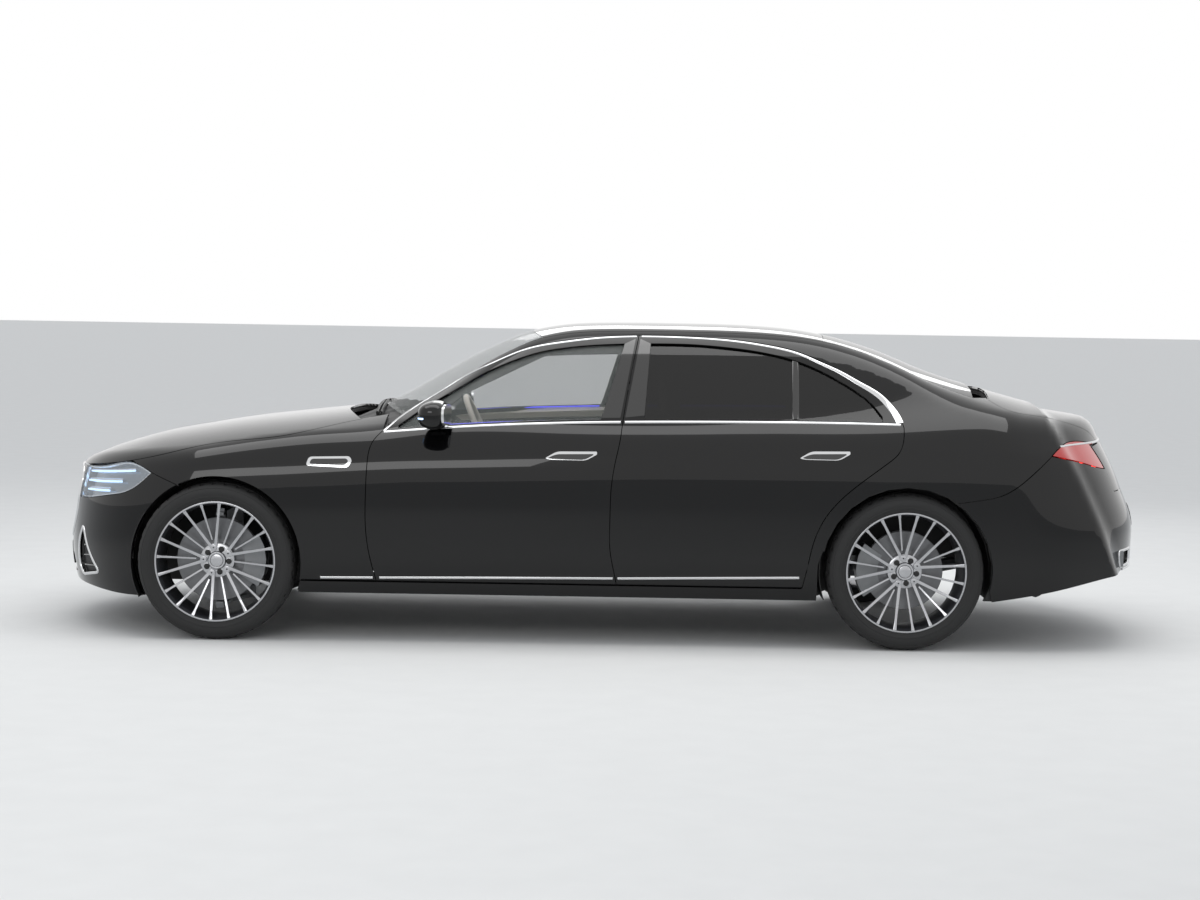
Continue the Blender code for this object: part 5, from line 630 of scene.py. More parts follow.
@dataclass(frozen=True)
class Finish:
    """A real surface: its colour, its gloss and the fine pattern that breaks it up.

    The grain is the pattern's size in millimetres, and the depth is how far it stands up, in millimetres.
    """

    name: str
    colour: str
    roughness: float
    metallic: float = 0.0
    second: str | None = None
    grain_mm: float = 1.0
    depth_mm: float = 0.01
    spread: float = 0.04
    coat: float = 0.0
    coat_roughness: float = 0.03
    sheen: float = 0.0
    alpha: float = 1.0
    ior: float = 1.5
    specular: float = 0.5
    glow: str | None = None
    glow_strength: float = 0.0
    cells: bool = False

    def build(self) -> bpy.types.Material:
        """Return the finish as a material, made once."""
        if self.name in bpy.data.materials:
            return bpy.data.materials[self.name]
        material = bpy.data.materials.new(self.name)
        material.use_nodes = True
        tree = material.node_tree
        shader = tree.nodes["Principled BSDF"]
        place = add_node(tree, "ShaderNodeTexCoord").outputs["Object"]
        scale = 1000.0 / self.grain_mm
        fine = add_node(tree, "ShaderNodeTexNoise", {"Scale": scale, "Detail": 3.0, "Roughness": 0.55},
                        {"Vector": place}).outputs["Fac"]
        wide = add_node(tree, "ShaderNodeTexNoise", {"Scale": scale / 60, "Detail": 4.0}, {"Vector": place})
        relief = fine
        if self.cells:
            relief = add_node(tree, "ShaderNodeTexVoronoi", {"Scale": scale, "feature": "DISTANCE_TO_EDGE"},
                              {"Vector": place}).outputs["Distance"]
        both = add_node(tree, "ShaderNodeMath", {"operation": "ADD"}, {0: fine, 1: wide.outputs["Fac"]})
        tint = add_node(tree, "ShaderNodeMix", {"data_type": "RGBA"},
                        {"Factor": wide.outputs["Fac"]})
        tint.inputs["A"].default_value = linear(self.colour)
        tint.inputs["B"].default_value = linear(self.second or self.colour)
        gloss = add_node(tree, "ShaderNodeMapRange", {"From Min": 0.6, "From Max": 1.4,
                                                      "To Min": max(0.0, self.roughness - self.spread),
                                                      "To Max": self.roughness + self.spread},
                         {"Value": both.outputs[0]})
        bump = add_node(tree, "ShaderNodeBump", {"Strength": 0.6, "Distance": self.depth_mm / 1000},
                        {"Height": relief})
        tree.links.new(tint.outputs["Result"], shader.inputs["Base Color"])
        tree.links.new(gloss.outputs["Result"], shader.inputs["Roughness"])
        tree.links.new(bump.outputs["Normal"], shader.inputs["Normal"])
        shader.inputs["Metallic"].default_value = self.metallic
        shader.inputs["Coat Weight"].default_value = self.coat
        shader.inputs["Coat Roughness"].default_value = self.coat_roughness
        shader.inputs["Sheen Weight"].default_value = self.sheen
        shader.inputs["Alpha"].default_value = self.alpha
        if not self.metallic:
            shader.inputs["IOR"].default_value = self.ior
            shader.inputs["Specular IOR Level"].default_value = self.specular
        if self.glow:
            shader.inputs["Emission Color"].default_value = linear(self.glow)
            shader.inputs["Emission Strength"].default_value = self.glow_strength
        return material


# Black two-layer car paint: a deep base under a polished clear coat, which mirrors the room
PAINT = Finish("black_clearcoat_paint", "#020203", 0.16, second="#040405", grain_mm=1.2, depth_mm=0.0015,
               spread=0.02, coat=0.75, coat_roughness=0.012, specular=0.05)
# Inner pressings: satin black primer with a light dust-like mottling
PRIMER = Finish("satin_black_primer", "#0b0b0c", 0.45, second="#121213", grain_mm=2.0, depth_mm=0.01)
# Laminated glass with a grey tint, seen through
CLEAR_GLASS = Finish("clear_tinted_glass", "#8a8f8c", 0.015, grain_mm=40.0, depth_mm=0.0, spread=0.005,
                     alpha=0.16, ior=1.52)
# Privacy glass: dyed so dark that only outlines show through
DARK_GLASS = Finish("dark_privacy_glass", "#030303", 0.02, grain_mm=40.0, depth_mm=0.0, spread=0.008,
                    alpha=0.90)
# The panoramic roof: black float glass with a printed edge
ROOF_GLASS = Finish("black_roof_glass", "#040405", 0.03, grain_mm=40.0, depth_mm=0.0, spread=0.01,
                    specular=0.35)
# Bright trim: electroplated, polished, with faint wiping haze
CHROME = Finish("polished_bright_trim", "#d9dadb", 0.09, 1.0, second="#cfd0d2", grain_mm=3.0, depth_mm=0.001,
                spread=0.03)
# Wheel faces: diamond-turned aluminium under clear lacquer
TURNED_ALLOY = Finish("turned_alloy", "#b9babd", 0.24, 1.0, second="#a9aaad", grain_mm=0.6, depth_mm=0.004,
                      spread=0.05, coat=0.4)
# Wheel wells: grey metallic lacquer on cast aluminium
CAST_ALLOY = Finish("grey_wheel_lacquer", "#5b5c60", 0.36, 0.8, second="#4d4e52", grain_mm=0.8,
                    depth_mm=0.006)
# Tyre: matt carbon-black rubber with a fine moulded grain
RUBBER = Finish("tyre_rubber", "#141414", 0.72, second="#1b1b1a", grain_mm=1.6, depth_mm=0.05, spread=0.08)
# Brake disc: ground grey iron, brighter where the pads run
IRON = Finish("ground_disc_iron", "#77787a", 0.32, 1.0, second="#5f6062", grain_mm=0.9, depth_mm=0.01)
# Caliper and arms: sand-cast aluminium
CASTING = Finish("sand_cast_aluminium", "#8d8f91", 0.45, 0.9, second="#76787a", grain_mm=1.5, depth_mm=0.05)
# Moulded black plastic with a leather-like grain
PLASTIC = Finish("grained_black_plastic", "#111112", 0.55, second="#161617", grain_mm=1.4, depth_mm=0.04,
                 cells=True)
# Piano-black trim round the windows
PIANO = Finish("piano_black_trim", "#040404", 0.06, grain_mm=6.0, depth_mm=0.001, coat=1.0)
# Natural nappa leather: fine pores and soft folds in ivory
LEATHER = Finish("ivory_nappa_leather", "#d6d0c5", 0.48, second="#cbc3b6", grain_mm=1.1, depth_mm=0.05,
                 sheen=0.15, cells=True)
# Headliner: warm grey knitted microfibre
LINING = Finish("grey_microfibre_lining", "#9a968f", 0.9, second="#8e8a83", grain_mm=0.8, depth_mm=0.08,
                sheen=0.4)
# Clear polycarbonate lamp cover
LENS = Finish("clear_lamp_cover", "#c9d2da", 0.02, grain_mm=40.0, depth_mm=0.0, spread=0.005, alpha=0.22,
              ior=1.58)
# Red tail lamp cover, lit from behind
RED_LENS = Finish("red_lamp_cover", "#7d0509", 0.08, second="#5d0306", grain_mm=4.0, depth_mm=0.02, coat=1.0,
                  glow="#ff1a12", glow_strength=0.25)
# Light bars behind the lamp covers, and the cabin's light lines
RED_GLOW = Finish("lit_red_bar", "#ff2a20", 0.3, glow="#ff3126", glow_strength=3.0)
BLUE_GLOW = Finish("blue_light_strip", "#3a3fd0", 0.3, glow="#4a48f0", glow_strength=1.1)
# Plate blanks: satin white enamel with nothing on it
BLANK = Finish("blank_plate_enamel", "#d9d9d6", 0.35, second="#d2d2cf", grain_mm=2.0, depth_mm=0.005,
               coat=0.3)
# The studio's floor: pale matt vinyl with a faint mottling
FLOOR = Finish("pale_studio_floor", "#dededc", 0.75, second="#d8d8d6", grain_mm=3.0, depth_mm=0.02)
ICE_GLOW = Finish("ice_white_lamp_bar", "#cfe4ff", 0.25, glow="#a9d0ff", glow_strength=1.8)


# Panels

@dataclass(frozen=True)
class Panel:
    """A panel trimmed from the body form.

    Its outline and holes are flat loops on its chart. It lies proud of the form by one size and is as thick
    as another, and its outer edges are rounded over a third.
    """

    name: str
    chart: Chart
    outline: Loop
    finish: Finish
    holes: list[Loop] = field(default_factory=list)
    cell: float = 0.030
    proud: float = 0.0
    wall: float = 0.010
    edge: float = 0.0012

    def build(self) -> bpy.types.Object:
        """Return the panel's object."""
        bm = trimmed_grid(self.outline, self.holes, self.cell)
        flat = np.array([vert.co[:2] for vert in bm.verts])
        places = self.chart.place(flat)
        places += FORM.normal(places) * self.proud
        for vert, place in zip(bm.verts, places):
            vert.co = place
        bm.normal_update()
        faces = sorted(bm.faces, key=lambda face: -face.calc_area())[:20]
        out = FORM.normal(np.array([face.calc_center_median()[:] for face in faces]))
        if sum(face.normal.dot(Vector(way)) for face, way in zip(faces, out)) < 0:
            bmesh.ops.reverse_faces(bm, faces=bm.faces)
        if self.wall:
            bmesh.ops.solidify(bm, geom=bm.faces[:], thickness=self.wall)
            bm.normal_update()
        if self.edge:
            self.round_edges(bm)
        made = give_piece(self.name, bm, self.finish.build())
        follow_form(made.data, self.proud)
        return made

    def round_edges(self, bm: bmesh.types.BMesh) -> None:
        """Round the sharp edges on the panel's outer side."""
        bm.verts.ensure_lookup_table()
        away = FORM.distance(np.array([vert.co[:] for vert in bm.verts])) - self.proud
        outer = {vert for vert, far in zip(bm.verts, away) if abs(far) < 0.0008}
        sharp = [edge for edge in bm.edges if len(edge.link_faces) == 2 and edge.calc_face_angle(0) > 0.9
                 and all(vert in outer for vert in edge.verts)]
        bevelled(bm, sharp, self.edge)


def smooth_under(piece: bpy.types.Object, angle_deg: float) -> None:
    """Shade a piece smooth, but for edges sharper than an angle."""
    bm = bmesh.new()
    bm.from_mesh(piece.data)
    for face in bm.faces:
        face.smooth = True
    for edge in bm.edges:
        edge.smooth = edge.calc_face_angle(0.0) < math.radians(angle_deg)
    bm.to_mesh(piece.data)
    bm.free()


def finished(name: str, bm: bmesh.types.BMesh, finish: Finish, smooth_deg: float,
             closed: bool = False) -> bpy.types.Object:
    """Return a new piece in its finish, shaded smooth but for sharp edges.

    Args:
        name: The piece's name.
        bm: Its mesh.
        finish: What it is made of.
        smooth_deg: The sharpest angle that is shaded smooth.
        closed: Whether its faces are first turned to point outwards.

    Returns:
        The piece.
    """
    if closed:
        bmesh.ops.recalc_face_normals(bm, faces=bm.faces)
    made = give_piece(name, bm, finish.build())
    smooth_under(made, smooth_deg)
    return made


def soft_piece(name: str, bm: bmesh.types.BMesh, finish: Finish) -> bpy.types.Object:
    """Return a new closed piece in its finish, shaded smooth all over."""
    bmesh.ops.recalc_face_normals(bm, faces=bm.faces)
    made = give_piece(name, bm, finish.build())
    made.data.polygons.foreach_set("use_smooth", [True] * len(made.data.polygons))
    return made


def mirrored(piece: bpy.types.Object, name: str, proud: float | None = None) -> bpy.types.Object:
    """Return the right side's copy of a left side's piece.

    Args:
        piece: The left side's piece.
        name: The copy's name.
        proud: How far a panel lies outside the body form, or nothing for other pieces.

    Returns:
        The mirrored piece.
    """
    bm = bmesh.new()
    bm.from_mesh(piece.data)
    bmesh.ops.scale(bm, vec=(1, -1, 1), verts=bm.verts)
    bmesh.ops.reverse_faces(bm, faces=bm.faces)
    mesh = bpy.data.meshes.new(name)
    bm.to_mesh(mesh)
    bm.free()
    made = bpy.data.objects.new(name, mesh)
    bpy.context.scene.collection.objects.link(made)
    for material in piece.data.materials:
        mesh.materials.append(material)
    if proud is not None:
        follow_form(mesh, proud)
    return made


def drawn_in(node: str, name: str, depth: float, finish: Finish) -> bpy.types.Object:
    """Return a copy of a CAD solid whose outer skin is drawn in to a depth under the body form.

    Args:
        node: The CAD node.
        name: The copy's name.
        depth: How far under the form its outermost places lie.
        finish: What it is made of.

    Returns:
        The copy, as the pressing behind a fine panel.
    """
    source = bpy.data.objects[node]
    bm = bmesh.new()
    bm.from_mesh(source.data)
    bmesh.ops.transform(bm, matrix=source.matrix_world, verts=bm.verts)
    bmesh.ops.remove_doubles(bm, verts=bm.verts, dist=0.00005)
    bmesh.ops.dissolve_limit(bm, angle_limit=0.02, verts=bm.verts, edges=bm.edges)
    places = np.array([vert.co[:] for vert in bm.verts])
    for _ in range(2):
        over = FORM.distance(places) + depth
        places -= FORM.normal(places) * np.clip(over, 0, 0.05)[:, None]
    for vert, place in zip(bm.verts, places):
        vert.co = place
    bmesh.ops.triangulate(bm, faces=bm.faces)
    return give_piece(name, bm, finish.build())


# Outer skin

HALF_GAP = 0.0019
INNER_DEPTH = 0.0145
SKIRT_Z_SHARE = 0.191
SILL_RISE_SHARE = 0.009
PANE_DEPTH = 0.012
SIDE_INTAKE_SHARES = ((-0.565, 0.165), (-0.74, 0.185), (-0.70, 0.24), (-0.64, 0.31), (-0.615, 0.325),
                      (-0.575, 0.28), (-0.545, 0.20))
MIDDLE_INTAKE_SHARES = ((0.44, 0.165), (0.46, 0.185), (0.42, 0.225), (-0.42, 0.225), (-0.46, 0.185),
                        (-0.44, 0.165))
TAILPIPE_Y, TAILPIPE_Z, TAILPIPE_WIDTH, TAILPIPE_HEIGHT = 0.560, 0.415, 0.190, 0.075


def belt_line(start: float, end: float, rise: float = SILL_RISE_SHARE, count: int = 24) -> Loop:
    """Return shares along the windows' lower edge, a rise over the belt line."""
    return [(float(x), float(FORM.belt(x)) + rise) for x in np.linspace(start, end, count)]


def flipped(places: np.ndarray) -> np.ndarray:
    """Return places mirrored to the other side, in the opposite order."""
    return places[::-1] * np.array((1.0, -1.0, 1.0))


def rounded(corners: Pairs, radius: float, count: int = 6) -> Loop:
    """Return a closed outline with its corners rounded.

    Args:
        corners: The outline's corners.
        radius: How far from a corner its curve starts, at most.
        count: The points on each corner's curve.

    Returns:
        The outline's points.
    """
    points = np.array(list(corners), float)
    outline = []
    for before, here, after in zip(np.roll(points, 1, axis=0), points, np.roll(points, -1, axis=0)):
        reach = min(radius, 0.45 * np.linalg.norm(before - here), 0.45 * np.linalg.norm(after - here))
        start = here + (before - here) / np.linalg.norm(before - here) * reach
        end = here + (after - here) / np.linalg.norm(after - here) * reach
        for share in np.linspace(0, 1, count):
            rest = 1 - share
            outline.append(tuple(start * rest ** 2 + here * 2 * share * rest + end * share ** 2))
    return outline


def grille_edge(grow: float = 0.0) -> Loop:
    """Return the grille's outline seen from the front, in metres, grown by an amount."""
    half, low_half = GRILLE_HALF_WIDTH_SHARE * HALF_WIDTH, GRILLE_LOW_HALF_WIDTH_SHARE * HALF_WIDTH
    top, low = GRILLE_TOP_SHARE * HEIGHT, GRILLE_LOW_SHARE * HEIGHT
    middle = low + (top - low) * 0.45
    side = [(low_half * 0.82, low), (low_half, low + (middle - low) * 0.3), (half, middle),
            (half * 0.985, top - (top - middle) * 0.28), (half * 0.88, top)]
    outline = rounded(side + [(-y, z) for y, z in side[::-1]], 0.045)
    return shrunk(outline, -grow) if grow else outline


def even_loop(loop: Loop, pitch: float = 0.018) -> Loop:
    """Return a closed outline with long sides split to a pitch."""
    result = []
    for start, end in zip(loop, loop[1:] + loop[:1]):
        steps = max(1, int(math.dist(start, end) / pitch))
        result += [(start[0] + (end[0] - start[0]) * i / steps, start[1] + (end[1] - start[1]) * i / steps)
                   for i in range(steps)]
    return result


def round_outline(corners: Pairs, radius: float, pitch: float = 0.018) -> Loop:
    """Return a rounded outline with long sides split to a pitch."""
    return even_loop(rounded(corners, radius), pitch)


def pipe_outline(side: float, pitch: float = 0.018) -> Loop:
    """Return the outline of the exhaust opening on one side, seen from behind."""
    corners = [(side * TAILPIPE_Y + a * TAILPIPE_WIDTH / 2, TAILPIPE_Z + b * TAILPIPE_HEIGHT / 2)
               for a, b in ((-1, -1), (1, -1), (1, 1), (-1, 1))]
    return round_outline(corners, 0.02, pitch)


def side_shade(places: np.ndarray, half_width: float) -> np.ndarray:
    """Return only the places further than a half width from the car's middle."""
    return places[np.abs(places[:, 1]) > half_width]


@dataclass
class OuterSkin:
    """The painted panels: doors, sides, fenders, lids and bumpers."""

    gap: float = HALF_GAP
    wall: float = 0.0095
    cell: float = 0.030
    made: list[bpy.types.Object] = field(default_factory=list)

    def panel(self, name: str, chart: Chart, runs: list[np.ndarray], finish: Finish = PAINT,
              holes: list[Loop] | None = None, gap: float | None = None, **sizes: float) -> bpy.types.Object:
        """Return a panel whose edge follows runs of places on the body form.

        Args:
            name: The panel's name.
            chart: The flat coordinates that it is trimmed in.
            runs: Lines of places that make up its edge, in order.
            finish: Its finish.
            holes: Flat outlines of its openings.
            gap: Half the gap to its neighbours, or nothing for the usual one.
            sizes: Other sizes of the panel, such as its cell or wall.

        Returns:
            The panel.
        """
        outline = shrunk(chart.find(np.vstack(runs)), self.gap if gap is None else gap)
        sizes = {"cell": self.cell, "wall": self.wall, **sizes}
        made = Panel(name, chart, outline, finish, holes or [], **sizes).build()
        self.made.append(made)
        return made

    def put_on(self, piece: bpy.types.Object, body: str, *nodes: str, slot: str = "black_paint") -> None:
        """Let a piece ride on a body and stand for CAD nodes."""
        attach(piece, body)
        if nodes:
            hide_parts(*nodes)

    def both_sides(self, piece: bpy.types.Object, body: str, node: str | None, proud: float | None = 0.0,
                   slot: str = "black_paint") -> None:
        """Put a left side's piece and its mirrored copy on their bodies.

        Args:
            piece: The left piece, whose name ends in _L.
            body: The left body's name, or the root's.
            node: The left CAD node that it replaces, if any.
            proud: How far a panel lies outside the form, or nothing for other pieces.
            slot: The material slot's name; not used.
        """
        copy = mirrored(piece, piece.name[:-1] + "R", proud)
        for made, side in ((piece, "L"), (copy, "R")):
            nodes = [node[:-1] + side] if node else []
            self.put_on(made, on_side(body, side), *nodes, slot=slot)

    def doors(self) -> None:
        """Build the four door skins, each with its window opening."""
        base = side_run([(0.581, SKIRT_Z_SHARE), (0.233, SKIRT_Z_SHARE)])
        window = np.vstack([side_run(FRONT_WINDOW_TOP_SHARES), side_run(FRONT_WINDOW_BACK_SHARES),
                            side_run(belt_line(0.5545, 0.26))])
        front = self.panel("front_door_skin_L", ROUND_AXIS,
                           [side_run(FRONT_DOOR_LEAD_SHARES), side_run(FRONT_DOOR_TOP_SHARES),
                            side_run(DOOR_SPLIT_SHARES), base], holes=[ROUND_AXIS.find(window)])
        self.both_sides(front, "door_front_L_body", "door_front_L")
        base = side_run([(0.85, SKIRT_Z_SHARE), (0.581, SKIRT_Z_SHARE)])
        window = np.vstack([side_run(REAR_WINDOW_FRONT_SHARES), side_run(REAR_WINDOW_TOP_SHARES),
                            side_run(belt_line(0.965, 0.6185))])
        rear = self.panel("rear_door_skin_L", ROUND_AXIS,
                          [side_run(DOOR_SPLIT_SHARES[::-1]), side_run(REAR_DOOR_TOP_SHARES),
                           side_run(REAR_DOOR_TRAIL_SHARES), base], holes=[ROUND_AXIS.find(window)])
        self.both_sides(rear, "door_rear_L_body", "door_rear_L")

    def sides(self) -> None:
        """Build the body sides: sill, rear quarter, roof rail and pillars in one pressing."""
        runs = [side_run([(0.118, SILL_LOW_SHARE), (0.872, SILL_LOW_SHARE)]),
                side_run([(0.872, 0.150), (0.8702, 0.20), (0.8715, 0.26), (0.8790, 0.308)]),
                arch_run(REAR_AXLE_X, 163, 55.5),
                side_run(QUARTER_SEAM_SHARES[::-1]),
                side_run([(1.21, 0.613), (1.222, 0.634), (1.295, 0.6385)]),
                side_run(BOOT_SEAM_SHARES[::-1]),
                plan_run(GLASS_EDGE_SHARES[::-1]),
                side_run(FRONT_DOOR_TOP_SHARES), side_run(REAR_DOOR_TOP_SHARES)[1:],
                side_run(REAR_DOOR_TRAIL_SHARES)[1:],
                side_run([(0.848, SILL_TOP_SHARE), (0.122, SILL_TOP_SHARE)])]
        self.both_sides(self.panel("body_side_skin_L", ROUND_AXIS, runs), "body", "body_side_L")

    def fenders(self) -> None:
        """Build the front fenders, from the bumper's seam round the arch to the doors."""
        runs = [side_run(FENDER_SEAM_SHARES[::-1]), side_run([(-0.096, 0.514), (-0.13, 0.546)])[1:-1],
                side_run(BONNET_SEAM_SHARES[3:]), side_run(FRONT_DOOR_LEAD_SHARES[::-1]),
                side_run([(0.2325, SKIRT_Z_SHARE), (0.1225, SKIRT_Z_SHARE)])[1:],
                arch_run(FRONT_AXLE_X, -11.5, 115.5)]
        self.both_sides(self.panel("fender_skin_L", ROUND_AXIS, runs, wall=0.0065), "body", "fender_L")

    def lids(self) -> None:
        """Build the bonnet and the boot lid."""
        inner = 0.5 * HALF_WIDTH
        seam = side_shade(side_run(BONNET_SEAM_SHARES[1:-1] + ((0.214, 0.6893),)), inner)
        half = [end_run([(0.0, 0.5165), (-0.25, 0.5168), (-0.5, 0.5178)], End.NOSE), seam,
                plan_run(BONNET_REAR_SHARES[::-1][1:])]
        runs = half + [flipped(run) for run in half[::-1]]
        bonnet = self.panel("bonnet_skin", ROUND_AXIS, runs)
        self.put_on(bonnet, "bonnet_body", "bonnet")
        face = BOOT_FACE_HALF_WIDTH_SHARE
        half = [plan_run(BOOT_FRONT_SHARES[:-1]), side_run(BOOT_SEAM_SHARES),
                end_run([(-face, 0.63), (-face, BOOT_FACE_LOW_SHARE)], End.TAIL),
                end_run([(-face, BOOT_FACE_LOW_SHARE), (0.0, BOOT_FACE_LOW_SHARE)], End.TAIL)[1:]]
        runs = half + [flipped(run) for run in half[::-1]]
        boot = self.panel("boot_lid_skin", BOOT_BEAM, runs)
        self.put_on(boot, "boot_lid_body", "boot_lid")

    def bumpers(self) -> None:
        """Build the bumper skins with their intakes and exhaust openings."""
        lamp = LAMP_INNER_SHARE
        low_lamp = side_shade(side_run([(-0.25, 0.412), (-0.206, 0.418), (-0.17, 0.433), (-0.134, 0.452),
                                        (-0.096, 0.514)]), lamp * HALF_WIDTH)
        low = side_shade(side_run([(-0.112, 0.122), (-0.15, 0.122), (-0.20, 0.132), (-0.245, 0.139)]), 0.42)
        side = [end_run([(-0.455, 0.5162), (-lamp, 0.5166)], End.NOSE),
                end_run([(-lamp, 0.514), (-lamp, 0.414)], End.NOSE),
                low_lamp, side_run(FENDER_SEAM_SHARES)[1:], arch_run(FRONT_AXLE_X, 116.5, 206.5), low,
                end_run([(-0.40, 0.1405), (-0.2, 0.142), (0.0, 0.1425)], End.NOSE)]
        top = GRILLE_TOP_SHARE * HEIGHT - 0.004
        edge = [point for point in even_loop(grille_edge(0.001)) if point[1] < top]
        start = max(range(len(edge)), key=lambda i: math.dist(edge[i], edge[i - 1]))
        edge = edge[start:] + edge[:start]
        if edge[0][0] < 0:
            edge = edge[::-1]
        runs = side + [flipped(run) for run in side[::-1]] + [FORM.on_end(edge, End.NOSE)]
        holes = [round_outline(end_metres(SIDE_INTAKE_SHARES, side), 0.03)
                 for side in (-1, 1)]
        holes.append(round_outline(end_metres(MIDDLE_INTAKE_SHARES), 0.02))
        front = self.panel("front_bumper_skin", NOSE_POST, runs,
                           holes=[NOSE_POST.find(FORM.on_end(hole, End.NOSE)) for hole in holes], cell=0.026)
        self.put_on(front, "body", "front_bumper")
        face, tail = BOOT_FACE_HALF_WIDTH_SHARE, TAIL_LAMP_INNER_SHARE
        low_lamp = side_shade(side_run([(1.21, 0.609), (1.266, 0.5825), (1.314, 0.558), (1.36, 0.560)]),
                              tail * HALF_WIDTH)
        low = side_shade(side_run(REAR_LOW_SHARES), 0.40)
        side = [arch_run(REAR_AXLE_X, -12, 55.5), side_run(QUARTER_SEAM_SHARES[::-1])[1:], low_lamp,
                end_run([(-tail, 0.5615), (-face, 0.5615), (-face, BOOT_FACE_LOW_SHARE)], End.TAIL)[1:],
                end_run([(-face, BOOT_FACE_LOW_SHARE), (0.0, BOOT_FACE_LOW_SHARE)], End.TAIL)[1:]]
        under = [end_run([(0.0, 0.247), (-0.4, 0.2465)], End.TAIL), low[::-1]]
        runs = under + side + [flipped(run) for run in side[::-1]] + [flipped(run) for run in under[::-1]]
        holes = [TAIL_POST.find(FORM.on_end(pipe_outline(side), End.TAIL)) for side in (-1, 1)]
        rear = self.panel("rear_bumper_skin", TAIL_POST, runs, holes=holes, cell=0.026)
        self.put_on(rear, "body", "rear_bumper")

    def pressings(self) -> None:
        """Stand the drawn-in copies of the CAD solids behind the panels."""
        for node, body in (("door_front_L", "door_front_L_body"), ("door_rear_L", "door_rear_L_body"),
                           ("body_side_L", "body")):
            for side in ("L", "R"):
                name = node[:-1] + side
                inner = drawn_in(name, name[:-2] + "_pressing_" + side, INNER_DEPTH, PRIMER)
                self.put_on(inner, on_side(body, side))
        for node, body in (("bonnet", "bonnet_body"), ("boot_lid", "boot_lid_body"), ("front_bumper", "body"),
                           ("rear_bumper", "body")):
            self.put_on(drawn_in(node, node + "_pressing", INNER_DEPTH, PRIMER), body)

    def build(self) -> None:
        """Build every painted panel."""
        self.doors()
        self.sides()
        self.fenders()
        self.lids()
        self.bumpers()
        self.pressings()


def on_side(name: str, side: str) -> str:
    """Return the name of a left body for a side, L or R."""
    return name.replace("_L", "_" + side)


@dataclass
class Glazing:
    """The roof panel, both screens and the side glass."""

    skin: OuterSkin
    screen_wall: float = 0.005
    pane_wall: float = 0.004

    def tops(self) -> None:
        """Build the windscreen, the panoramic roof and the rear window."""
        rail = np.array(GLASS_EDGE_SHARES)
        bands = (("windscreen_glass", "windscreen", SCREEN_BASE_SHARES, SCREEN_TOP_SHARES, CLEAR_GLASS,
                  "window_glass"),
                 ("roof_glass", "roof_panel", SCREEN_TOP_SHARES, BACKLIGHT_TOP_SHARES, ROOF_GLASS,
                  "black_paint"),
                 ("rear_window_glass", "rear_window", BACKLIGHT_TOP_SHARES, BACKLIGHT_BASE_SHARES, DARK_GLASS,
                  "window_glass"))
        for name, node, front, back, finish, slot in bands:
            between = [tuple(p) for p in rail if front[-1][0] < p[0] < back[-1][0]]
            edge = [front[-1], *between, back[-1]]
            half = [plan_run(front), plan_run(edge)[1:], plan_run(back[::-1])[1:]]
            runs = half + [flipped(run) for run in half[::-1]]
            glass = self.skin.panel(name, ROUND_AXIS, runs, finish, cell=0.035, wall=self.screen_wall,
                                    gap=0.0012)
            self.skin.put_on(glass, "body", node, slot=slot)

    def panes(self) -> None:
        """Build the side glass, let into the door frames."""
        for name, node, body, top, back, sill, finish in (
                ("front_pane_L", "glass_front_L", "door_front_L_body", FRONT_WINDOW_TOP_SHARES,
                 FRONT_WINDOW_BACK_SHARES, (0.5545, 0.26), CLEAR_GLASS),
                ("rear_pane_L", "glass_rear_L", "door_rear_L_body",
                 REAR_WINDOW_FRONT_SHARES, REAR_WINDOW_TOP_SHARES, (0.965, 0.6185), DARK_GLASS)):
            runs = [side_run(top), side_run(back)[1:], side_run(belt_line(*sill))[1:]]
            pane = self.skin.panel(name, ROUND_AXIS, runs, finish, cell=0.04, wall=self.pane_wall, gap=-0.008,
                                   proud=-PANE_DEPTH, edge=0.0)
            self.skin.both_sides(pane, body, node, -PANE_DEPTH, "window_glass")

    def build(self) -> None:
        """Build all the glass."""
        self.tops()
        self.panes()


# Wheels

Section = Iterable[tuple[float, float]]


def turned(section: Section, centre: Vector, steps: int, closed: bool = True) -> bmesh.types.BMesh:
    """Return a shape of revolution about a wheel's axis.

    Args:
        section: Its section as (radius, offset towards the outer side) points.
        centre: The wheel's centre.
        steps: The segments round the axis.
        closed: Whether the section's last point joins its first.

    Returns:
        The turned shape, its faces pointing outwards.
    """
    bm = bmesh.new()
    ring = [bm.verts.new((radius, -offset, 0.0)) for radius, offset in section]
    pairs = list(zip(ring, ring[1:])) + ([(ring[-1], ring[0])] if closed else [])
    edges = [bm.edges.new(pair) for pair in pairs]
    bmesh.ops.spin(bm, geom=ring + edges, cent=(0, 0, 0), axis=(0, 1, 0), angle=2 * math.pi, steps=steps,
                   use_merge=True, use_duplicate=False)
    bmesh.ops.remove_doubles(bm, verts=bm.verts, dist=WELD)
    bmesh.ops.translate(bm, vec=centre, verts=bm.verts)
    bmesh.ops.recalc_face_normals(bm, faces=bm.faces)
    return bm


